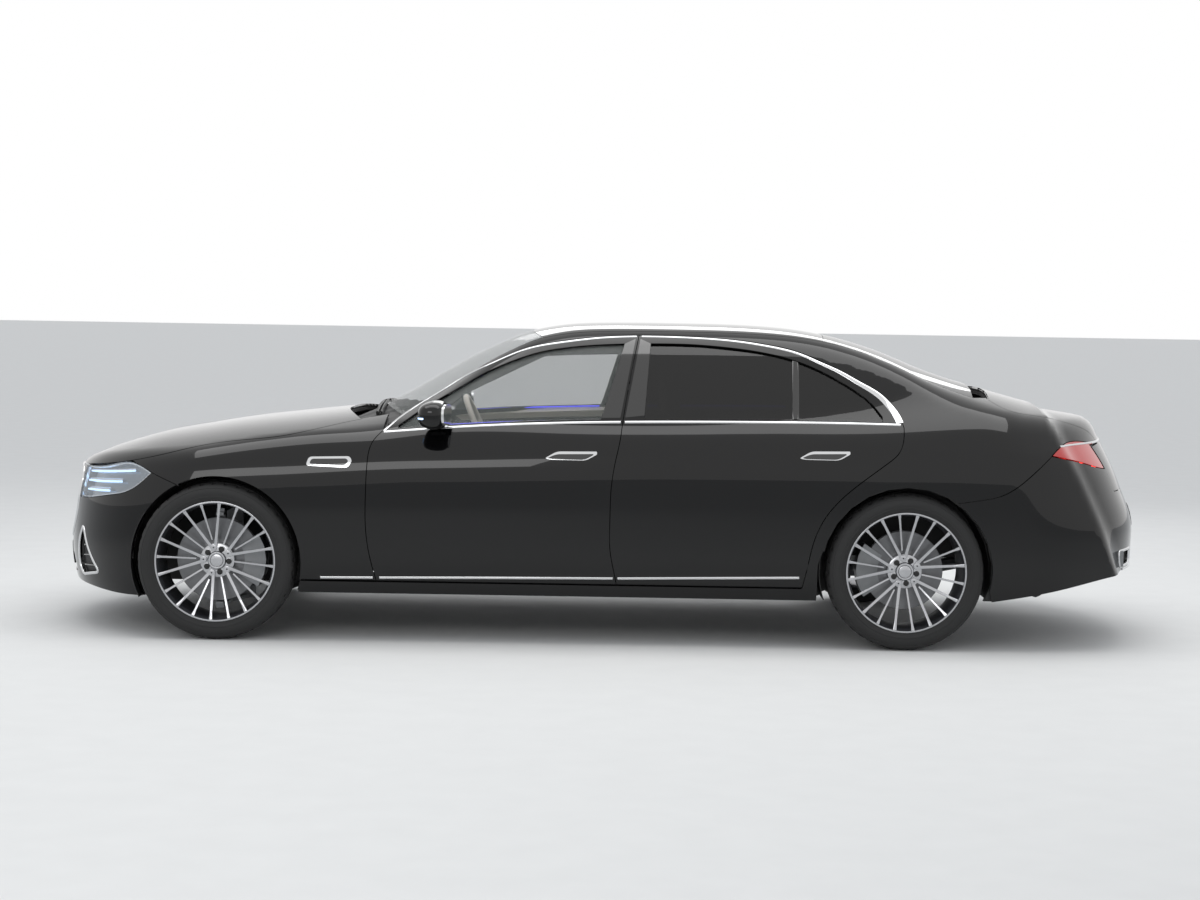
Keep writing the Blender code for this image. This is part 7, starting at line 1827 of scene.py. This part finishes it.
def slab_place(middle: Vector, across: Vector, along: Vector,
               out: Vector) -> Callable[[float, float, float], Vector]:
    """Return a place function for a pad from its middle and half-size directions."""
    def place(a: float, b: float, c: float) -> Vector:
        """Return the place of one point."""
        return middle + across * a + along * b + out * c

    return place


@dataclass
class Seats:
    """Two front seats and the rear bench, in ivory leather."""

    front_x: float = -0.412
    rear_x: float = 0.697
    seat_y: float = 0.390
    floor_z: float = 0.281

    def place_all(self, pads: list[bpy.types.Object], node: str) -> None:
        """Ride pads on the body, the first standing for the CAD seat."""
        for i, made in enumerate(pads):
            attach(made, "body")
            if i == 0:
                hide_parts(node)

    def back_place(self, x: float, y: float, low: float, half: float, start: float, end: float,
                   thick: float, lift: float = 0.0) -> Callable[[float, float, float], Vector]:
        """Return the place function of a leaning pad on a seat back.

        Args:
            x: The seat's front.
            y: The pad's middle across the car.
            low: The seat's foot.
            half: Half the pad's width.
            start: The pad's lower end, as a share of the back.
            end: Its upper end.
            thick: Half its thickness.
            lift: How far it stands in front of the back's own middle.

        Returns:
            The place function.
        """
        foot, head = Vector((x + 0.520, 0.0, low + 0.165)), Vector((x + 0.735, 0.0, low + 0.755))
        along = head - foot
        out = Vector((-along.z, 0.0, along.x)).normalized()
        middle = foot.lerp(head, (start + end) / 2) + out * lift + Vector((0.0, y, 0.0))
        return slab_place(middle, Vector((0.0, half, 0.0)), along * ((end - start) / 2), out * thick)

    def seat(self, tag: str, x: float, y: float, low: float, half: float) -> list[bpy.types.Object]:
        """Return the pads of one place to sit: cushion, thigh roll, back, side bolsters and headrest."""
        lines = (-0.55, -0.27, 0.0, 0.27, 0.55)
        cushion = pad("seat_cushion_" + tag, slab_place(
            Vector((x + 0.235, y, low + 0.155)), Vector((0, half * 0.78, 0)), Vector((-0.225, 0, 0.010)),
            Vector((0, 0, 0.070))), lines, LEATHER)
        roll = pad("seat_thigh_roll_" + tag, slab_place(
            Vector((x + 0.055, y, low + 0.150)), Vector((0, half * 0.80, 0)), Vector((0.050, 0, 0)),
            Vector((0, 0, 0.070))), (), LEATHER, cuts=12, power=3.0)
        back = pad("seat_back_" + tag, self.back_place(x, y, low, half * 0.76, 0.02, 0.98, 0.052, 0.006),
                   lines,
                   LEATHER)
        pads = [cushion, roll, back]
        for side, name in ((-1, "a"), (1, "b")):
            pads.append(pad("seat_bolster_" + name + "_" + tag, slab_place(
                Vector((x + 0.235, y + side * half * 0.87, low + 0.165)), Vector((0, half * 0.125, 0)),
                Vector((-0.215, 0, 0.012)), Vector((0, 0, 0.066))), (), LEATHER, cuts=12, power=2.8))
            pads.append(pad("seat_wing_" + name + "_" + tag, self.back_place(
                x, y + side * half * 0.86, low, half * 0.13, 0.05, 0.86, 0.066, 0.002), (), LEATHER, cuts=12,
                power=2.8))
        return pads

    def headrest(self, tag: str, x: float, y: float, low: float, tall: float) -> bpy.types.Object:
        """Return a headrest pad."""
        return pad("headrest_" + tag, slab_place(
            Vector((x + 0.742, y, low + 0.755 + tall / 2)), Vector((0, 0.128, 0)),
            Vector((0.008, 0, tall / 2)),
            Vector((-0.046, 0, 0.004))), (), LEATHER, cuts=16, power=3.4)

    def plinth(self, tag: str, x: float, y: float, low: float, half: float) -> bpy.types.Object:
        """Return the moulded base under a seat and the shell behind its back."""
        bm = bmesh.new()

        def base(share: float, side: float, deep: float) -> Vector:
            """Return where a point of the base lies."""
            return Vector((x + 0.03 + 0.50 * share, y + side * half * (0.72 + 0.14 * deep),
                           low + 0.085 * deep))

        worked_bar(bm, base, 5, 0.12)
        foot, head = Vector((x + 0.520, y, low + 0.165)), Vector((x + 0.735, y, low + 0.755))
        along = head - foot
        out = Vector((-along.z, 0.0, along.x)).normalized()

        def shell(share: float, side: float, deep: float) -> Vector:
            """Return where a point of the back shell lies."""
            across = Vector((0, side * half * 0.86, 0))
            return foot + along * (share * 0.99) + out * (-0.018 - 0.034 * deep) + across

        worked_bar(bm, shell, 6, 0.18)
        return finished("seat_shell_" + tag, bm, PLASTIC, 35, closed=True)

    def build(self) -> None:
        """Build the front seats and the rear bench."""
        for side, name in ((-1, "L"), (1, "R")):
            y = side * self.seat_y
            pads = self.seat("front_" + name, self.front_x, y, self.floor_z, 0.243)
            pads.append(self.headrest("front_" + name, self.front_x, y, self.floor_z, 0.188))
            self.place_all(pads, "seat_front_" + name)
            shell = self.plinth("front_" + name, self.front_x, y, self.floor_z, 0.243)
            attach(shell, "body")
        pads = []
        for side, name in ((-1, "L"), (1, "R")):
            y = side * 0.273
            pads += self.seat("rear_" + name, self.rear_x, y, 0.4315, 0.250)
            pads.append(self.headrest("rear_" + name, self.rear_x, y, 0.4315, 0.100))
            shell = self.plinth("rear_" + name, self.rear_x, y, 0.4315, 0.250)
            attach(shell, "body")
        self.place_all(pads, "seat_rear")


@dataclass
class Cabin:
    """What shows through the glass besides the seats."""

    skin: OuterSkin
    wheel_place: tuple[float, float, float] = (-0.5954, -0.390, 0.9619)
    wheel_radius: float = 0.182
    tilt_deg: float = 66.0

    def steering_wheel(self) -> None:
        """Build the steering wheel: a stitched rim, three spokes, a boss and its column."""
        turn = (Matrix.Translation(self.wheel_place) @ Matrix.Rotation(math.radians(self.tilt_deg), 4, "Y")
                @ Matrix.Rotation(math.radians(90), 4, "Z"))
        bm = bmesh.new()
        ring = [bm.verts.new((self.wheel_radius + 0.0150 * math.cos(a), 0.0, 0.0142 * math.sin(a)))
                for a in np.linspace(0, 2 * math.pi, 14, endpoint=False)]
        edges = [bm.edges.new(pair) for pair in zip(ring, ring[1:] + ring[:1])]
        bmesh.ops.spin(bm, geom=ring + edges, cent=(0, 0, 0), axis=(0, 0, 1), angle=2 * math.pi, steps=64,
                       use_merge=True)
        bmesh.ops.remove_doubles(bm, verts=bm.verts, dist=WELD)
        bmesh.ops.recalc_face_normals(bm, faces=bm.faces)
        bmesh.ops.transform(bm, matrix=turn, verts=bm.verts)
        rim = finished("steering_rim", bm, LEATHER, 60)
        self.skin.put_on(rim, "body", "steering_wheel", slot="pale_leather")
        bm = bmesh.new()
        for angle in (4.0, 176.0, 270.0):
            way = Vector((math.cos(math.radians(angle)), math.sin(math.radians(angle)), 0.0))
            side_way = Vector((-way.y, way.x, 0.0))

            def spoke(share: float, side: float, deep: float, way: Vector = way,
                      side_way: Vector = side_way) -> Vector:
                """Return where a point of a spoke lies."""
                return (way * (0.045 + 0.130 * share) + side_way * side * (0.020 - 0.008 * share)
                        + Vector((0, 0, -0.008 + 0.016 * deep)))

            worked_bar(bm, spoke, 6, 0.2)
        flat = Matrix.Translation((0, 0, -0.012)) @ Matrix.Diagonal((1.15, 1.0, 0.42, 1.0))
        bmesh.ops.create_uvsphere(bm, u_segments=32, v_segments=16, radius=0.062, matrix=flat)
        bmesh.ops.recalc_face_normals(bm, faces=bm.faces)
        bmesh.ops.transform(bm, matrix=turn, verts=bm.verts)
        boss = finished("steering_spokes", bm, PIANO, 40)
        self.skin.put_on(boss, "body", slot="black_plastic")
        bm = bmesh.new()
        bmesh.ops.create_cone(bm, cap_ends=True, segments=32, radius1=0.036, radius2=0.028, depth=0.19,
                              matrix=Matrix.Translation((0, 0, -0.118)))
        bevelled(bm, bm.edges[:], 0.003)
        bmesh.ops.transform(bm, matrix=turn, verts=bm.verts)
        column = finished("steering_column", bm, PLASTIC, 40)
        self.skin.put_on(column, "body", slot="black_plastic")

    def door_cards(self) -> None:
        """Build the door cards, their armrest rolls and the blue lines along them."""
        for name, body, start, end in (("front", "door_front_L_body", 0.262, 0.562),
                                       ("rear", "door_rear_L_body", 0.612, 0.875)):
            outline = ((start, 0.30), (end, 0.30), (end + (0.0 if name == "front" else 0.03), 0.60),
                       (end, 0.655),
                       (start, 0.640))
            card = side_plate(name + "_door_card_L", outline, 0.05, LEATHER, -0.110, 0.010)
            self.skin.both_sides(card, body, None, -0.110, "pale_leather")
            ledge = side_run(belt_line(start + 0.01, end, -0.012, 30))
            top = strip(name + "_door_ledge_L", ledge, 0.042, 0.020, LEATHER)
            self.skin.both_sides(moved_in(top, 0.104), body, None, None, "pale_leather")
            line = side_run(belt_line(start + 0.02, end - 0.01, 0.0065, 30))
            glow = strip(name + "_door_light_L", line, 0.0042, 0.004, BLUE_GLOW)
            self.skin.both_sides(moved_in(glow, 0.092), body, None, None, "black_plastic")
            rest = side_run([(start + 0.05, 0.50), ((start + end) / 2, 0.505), (end - 0.03, 0.515)])
            roll = strip(name + "_door_armrest_L", rest, 0.050, 0.045, LEATHER)
            self.skin.both_sides(moved_in(roll, 0.150), body, None, None, "pale_leather")

    def headliner(self) -> None:
        """Hang the headliner under the roof."""
        rail = [tuple(p) for p in GLASS_EDGE_SHARES if 0.47 < p[0] < 0.88]
        edge = [(0.47, 0.54), *[(x, y - 0.03) for x, y in rail], (0.88, 0.54)]
        half = [plan_run(((0.455, 0.0), (0.460, 0.3), (0.47, 0.54))), plan_run(edge)[1:],
                plan_run(((0.88, 0.54), (0.887, 0.3), (0.889, 0.0)))[1:]]
        runs = half + [flipped(run) for run in half[::-1]]
        lining = self.skin.panel("headliner", ROUND_AXIS, runs, LINING, cell=0.05, wall=0.006, gap=0.0,
                                 proud=-0.030, edge=0.0)
        self.skin.put_on(lining, "body", slot="pale_leather")

    def dash(self) -> None:
        """Dress the dashboard: a padded brow and two dark screens."""
        brow = pad("dash_brow", slab_place(Vector((-0.935, 0.0, 0.925)), Vector((0, 0.688, 0)),
                                           Vector((0.155, 0, 0.0)), Vector((0, 0, 0.030))), (), PLASTIC,
                                           cuts=16)
        self.skin.put_on(brow, "body", slot="black_plastic")
        bm = bmesh.new()

        def screen(y: float, z: float, half: float, tall: float) -> Callable[[float, float, float], Vector]:
            """Return the place function of an upright screen."""
            def place(share: float, side: float, deep: float) -> Vector:
                """Return where a point of the screen lies."""
                lean = 0.035 * (share - 0.5)
                return Vector((-0.795 + lean + 0.008 * deep, y + side * half, z + tall * (share - 0.5)))

            return place

        worked_bar(bm, screen(-0.39, 0.905, 0.150, 0.115), 3, 0.3)
        worked_bar(bm, screen(0.0, 0.800, 0.130, 0.250), 3, 0.3)
        screens = finished("dash_screens", bm, PIANO, 35, closed=True)
        self.skin.put_on(screens, "body", slot="black_plastic")

    def build(self) -> None:
        """Build the cabin's pieces."""
        self.steering_wheel()
        self.door_cards()
        self.headliner()
        self.dash()


def moved_in(piece: bpy.types.Object, depth: float) -> bpy.types.Object:
    """Return a left side's piece moved straight in towards the car's middle by a depth."""
    for vert in piece.data.vertices:
        vert.co.y += depth
    piece.data.update()
    return piece


@dataclass
class Fittings:
    """Mirrors, wipers, arch liners, pillar covers and the quarter light's divider."""

    skin: OuterSkin
    mirror_place: tuple[float, float, float] = (-0.785, -0.957, 1.066)
    mirror_half: tuple[float, float, float] = (0.064, 0.117, 0.066)
    mirror_power: float = 3.2
    liner_radius: float = 0.4005
    liner_wall: float = 0.0035
    liner_flange: float = 0.030
    inner_wall: float = 0.075

    def mirrors(self) -> None:
        """Build the door mirrors: a rounded shell, its glass, an arm and a lit strip."""
        middle = Vector(self.mirror_place)
        long, wide, tall = self.mirror_half
        bm = bmesh.new()
        bmesh.ops.create_cube(bm, size=2.0)
        bmesh.ops.subdivide_edges(bm, edges=bm.edges, cuts=14, use_grid_fill=True)
        for vert in bm.verts:
            x, y, z = vert.co
            norm = sum(abs(part) ** self.mirror_power for part in (x, y, z)) ** (1 / self.mirror_power)
            x, y, z = x / norm, y / norm, z / norm
            front = max(0.0, -x)
            vert.co = middle + Vector((x * long + 0.012 * y, y * (wide - 0.016 * front),
                                       z * (tall - 0.014 * front) + 0.004 * y))
        self.skin.both_sides(soft_piece("mirror_shell_L", bm, PAINT), "door_front_L_body", "mirror_L", None)
        bm = bmesh.new()
        bmesh.ops.create_circle(bm, cap_ends=True, segments=40, radius=1.0)
        for vert in bm.verts:
            a, b = vert.co.x, vert.co.y
            norm = (abs(a) ** 3 + abs(b) ** 3) ** (1 / 3)
            vert.co = middle + Vector((0.0655 + 0.012 * a / norm, a / norm * 0.094, b / norm * 0.050))
        faces = bmesh.ops.extrude_face_region(bm, geom=bm.faces[:])["geom"]
        bmesh.ops.translate(bm, vec=(-0.012, 0, 0),
                            verts=[g for g in faces if isinstance(g, bmesh.types.BMVert)])
        bmesh.ops.recalc_face_normals(bm, faces=bm.faces)
        glass = give_piece("mirror_glass_L", bm, CHROME.build())
        self.skin.both_sides(glass, "door_front_L_body", None, None, "chrome")
        for name, finish, slot, low, high, z, tall in (
                ("mirror_arm_L", PIANO, "black_plastic", -0.900, -0.800, 1.012, 0.026),
                ("mirror_light_L", ICE_GLOW, "clear_lens", -1.0665, -0.94, 1.052, 0.008)):
            bm = bmesh.new()

            def place(share: float, side: float, deep: float, low: float = low, high: float = high,
                      z: float = z, tall: float = tall, lamp: bool = finish is ICE_GLOW) -> Vector:
                """Return where a point of the arm or the strip lies."""
                y = low + (high - low) * share
                if lamp:
                    bow = 0.052 * math.sqrt(max(0.0, 1 - ((y + 0.957) / 0.123) ** 2)) + 0.010
                    return Vector((-0.785 - bow - 0.006 + 0.012 * (1 - deep) + 0.012 * (y + 0.957) / 0.117,
                                   y, z + side * tall / 2))
                return Vector((-0.770 - 0.034 * side * (1 + 0.25 * share), y,
                               z - tall / 2 + tall * deep - 0.01 * share))

            worked_bar(bm, place, 8, 0.22)
            made = finished(name, bm, finish, 40, closed=True)
            self.skin.both_sides(made, "door_front_L_body", None, None, slot)

    def pillars(self) -> None:
        """Cover the middle pillars and the quarter light's divider in piano black."""
        covers = (("pillar_cover_front_L", "door_front_L_body",
                   ((0.5555, 0.704), (0.583, 0.7055), (0.6045, 0.950), (0.5885, 0.934))),
                  ("pillar_cover_rear_L", "door_rear_L_body",
                   ((0.5900, 0.7065), (0.6180, 0.7135), (0.6265, 0.936), (0.6115, 0.950))))
        for name, body, corners in covers:
            made = side_plate(name, corners, 0.004, PIANO, 0.0016, 0.004)
            self.skin.both_sides(made, body, None, 0.0016, "black_plastic")
        line = side_run([(0.8385, 0.7085), (0.8395, 0.80), (0.8405, 0.888)])
        divider = strip("quarter_divider_L", line, 0.030, 0.004, PIANO)
        for vert in divider.data.vertices:
            vert.co.y += 0.009
        self.skin.both_sides(divider, "door_rear_L_body", None, None, "black_plastic")

    def wipers(self) -> None:
        """Lay two wiper arms and blades at the foot of the windscreen."""
        for i, (near, far, y0, y1) in enumerate(((0.217, 0.226, 0.10, -0.62), (0.217, 0.221, 0.66, 0.02))):
            course = [(near + (far - near) * s, y0 + (y1 - y0) * s) for s in np.linspace(0, 1, 9)]
            line = plan_run(course, 1.0)
            for name, width, height, shift in (("arm", 0.014, 0.011, -0.014), ("blade", 0.008, 0.008, 0.006)):
                made = strip("wiper_%s_%d" % (name, i), line, width, height, PLASTIC, shift=shift)
                self.skin.put_on(made, "body", slot="black_plastic")

    def liners(self) -> None:
        """Line the wheel arches with moulded shells."""
        for end, axle_x, low, high in (("front", FRONT_AXLE_X, -19, 206), ("rear", REAR_AXLE_X, -18, 200)):
            bm = bmesh.new()
            wall, flange = self.liner_wall, self.liner_flange
            inner = ((0.0, 0.640),)
            if end == "rear":
                inner = ((0.0, 0.644), (-self.inner_wall, 0.644), (-self.inner_wall, 0.640))
            section = ((0.0, 0.905), (0.0, 0.78), *inner, (wall, 0.640), (wall, 0.715), (flange, 0.715),
                       (flange, 0.719), (wall, 0.719), (wall, 0.905))
            ring = [bm.verts.new((self.liner_radius + lift, -out, 0.0)) for lift, out in section]
            edges = [bm.edges.new(pair) for pair in zip(ring, ring[1:] + ring[:1])]
            bmesh.ops.rotate(bm, verts=bm.verts, cent=(0, 0, 0),
                             matrix=Matrix.Rotation(math.radians(-low), 3, "Y"))
            bmesh.ops.spin(bm, geom=ring + edges, cent=(0, 0, 0), axis=(0, -1, 0),
                           angle=math.radians(high - low),
                           steps=54, use_duplicate=False)
            bmesh.ops.holes_fill(bm, edges=[edge for edge in bm.edges if edge.is_boundary], sides=12)
            bmesh.ops.translate(bm, vec=(axle_x, 0, AXLE_Z), verts=bm.verts)
            made = finished("arch_liner_" + end + "_L", bm, PLASTIC, 30, closed=True)
            self.skin.both_sides(made, "body", None, None, "black_plastic")

    def plates(self) -> None:
        """Fit blank number plate holders at both ends."""
        for name, towards, z in (("front", End.NOSE, 0.215), ("rear", End.TAIL, 0.395)):
            corners = [(-0.272, z - 0.038), (0.272, z - 0.038), (0.272, z + 0.038), (-0.272, z + 0.038)]
            outline = round_outline(end_metres(corners), 0.012)
            chart = NOSE_POST if towards is End.NOSE else TAIL_POST
            for part, gap, proud, finish, slot in (("holder", 0.0, 0.004, PLASTIC, "black_plastic"),
                                                   ("blank", 0.006, 0.006, BLANK, "clear_lens")):
                made = self.skin.panel("plate_%s_%s" % (part, name), chart, [FORM.on_end(outline, towards)],
                                       finish,
                                       gap=gap, proud=proud, wall=0.005, edge=0.0008)
                self.skin.put_on(made, "body", slot=slot)

    def build(self) -> None:
        """Fit everything."""
        self.mirrors()
        self.pillars()
        self.wipers()
        self.liners()
        self.plates()


# CAD nodes that keep their shape

def dress(finish: Finish, *nodes: str) -> None:
    """Give CAD nodes a finish in place of their plain material."""
    material = finish.build()
    for node in nodes:
        mesh = bpy.data.objects[node].data
        mesh.materials.clear()
        mesh.materials.append(material)


@dataclass
class Studio:
    """The floor, the light and the camera."""

    lens: float = 64.92
    camera_place: tuple[float, float, float] = (-0.013, -10.95, 1.5625)
    pitch_deg: float = 3.70
    roll_deg: float = 0.945
    floor_half: float = 160.0

    def camera(self) -> None:
        """Place the camera as it stood for the photograph: level with the roof, well out to the left."""
        data = bpy.data.cameras.new("camera")
        data.lens, data.sensor_width, data.clip_end = self.lens, 36.0, 200.0
        made = bpy.data.objects.new("camera", data)
        bpy.context.scene.collection.objects.link(made)
        turn = (Matrix.Rotation(math.radians(90 - self.pitch_deg), 4, "X")
                @ Matrix.Rotation(math.radians(self.roll_deg), 4, "Z"))
        made.matrix_world = Matrix.Translation(self.camera_place) @ turn
        bpy.context.scene.camera = made

    def floor(self) -> None:
        """Lay a plain pale floor."""
        bm = bmesh.new()
        bmesh.ops.create_grid(bm, x_segments=8, y_segments=8, size=self.floor_half)
        give_piece("studio_floor", bm, FLOOR.build())

    def world(self) -> None:
        """Light the room softly, with a white background where the camera, gloss and glass look past it."""
        world = bpy.data.worlds.new("studio")
        bpy.context.scene.world = world
        world.use_nodes = True
        tree = world.node_tree
        tree.nodes.clear()
        path = add_node(tree, "ShaderNodeLightPath")
        seen = add_node(tree, "ShaderNodeMath", {"operation": "ADD"},
                        {0: path.outputs["Is Camera Ray"], 1: path.outputs["Is Glossy Ray"]})
        seen = add_node(tree, "ShaderNodeMath", {"operation": "ADD", "use_clamp": True},
                        {0: seen.outputs[0], 1: path.outputs["Is Transmission Ray"]})
        soft = add_node(tree, "ShaderNodeBackground", {"Color": (0.92, 0.95, 1.0, 1.0), "Strength": 0.80})
        plain = add_node(tree, "ShaderNodeBackground", {"Color": (1.0, 1.0, 1.0, 1.0), "Strength": 1.0})
        both = add_node(tree, "ShaderNodeMixShader", {}, {0: seen.outputs[0], 1: soft.outputs[0],
                                                          2: plain.outputs[0]})
        add_node(tree, "ShaderNodeOutputWorld", {}, {"Surface": both.outputs[0]})

    def lamp(self, name: str, place: tuple[float, float, float], aim: tuple[float, float, float],
             size: tuple[float, float], power: float) -> None:
        """Hang one soft box light.

        Args:
            name: The lamp's name.
            place: Where it hangs.
            aim: The place that it faces.
            size: Its width and length.
            power: Its power in watts.
        """
        data = bpy.data.lights.new(name, "AREA")
        data.shape, data.size, data.size_y, data.energy = "RECTANGLE", size[0], size[1], power
        made = bpy.data.objects.new(name, data)
        bpy.context.scene.collection.objects.link(made)
        turn = (Vector(aim) - Vector(place)).to_track_quat("-Z", "Y").to_matrix().to_4x4()
        made.matrix_world = Matrix.Translation(place) @ turn

    def build(self) -> None:
        """Set up the studio."""
        self.camera()
        self.floor()
        self.world()
        self.lamp("ceiling_box", (0.0, -0.5, 5.2), (0.0, 0.0, 0.0), (7.5, 3.0), 170.0)
        self.lamp("side_box", (-2.5, -7.5, 3.4), (0.0, 0.0, 0.6), (4.0, 1.6), 60.0)
        self.lamp("rear_box", (1.0, 6.5, 3.6), (0.0, 0.0, 0.7), (5.0, 2.0), 70.0)
        scene = bpy.context.scene
        scene.view_settings.view_transform = "Standard"


def main() -> None:
    """Build the car's sub-assemblies in order and report each."""
    logging.basicConfig(level=logging.INFO, format="%(message)s")
    Studio().build()
    skin = OuterSkin()
    skin.build()
    LOG.info("outer skin: %d panels", len(skin.made))
    Glazing(skin).build()
    LOG.info("glass: three bands and four panes")
    BrightTrim(skin).build()
    LOG.info("bright trim: surrounds, strips, handles, bezels and rings")
    Lamps(skin).build()
    LOG.info("lamps: two headlamps and two tail lamps")
    Grille(skin).build()
    LOG.info("grille: frame, louvres, uprights and intakes")
    Fittings(skin).build()
    LOG.info("fittings: mirrors, pillar covers, wipers, liners and plate holders")
    Seats().build()
    Cabin(skin).build()
    LOG.info("cabin: seats, steering wheel, door cards, headliner and dashboard")
    RunningGear().build()
    LOG.info("wheels: four, each a tyre, rim, hub and disc")
    dress(PLASTIC, "front_structure", "rear_structure", "floor_pan", "engine_block", "dashboard")
    dress(LEATHER, "centre_console")
    dress(CASTING, "knuckle_L", "knuckle_R", "front_axle", "rear_axle", "exhaust")


if __name__ == "__main__":
    main()
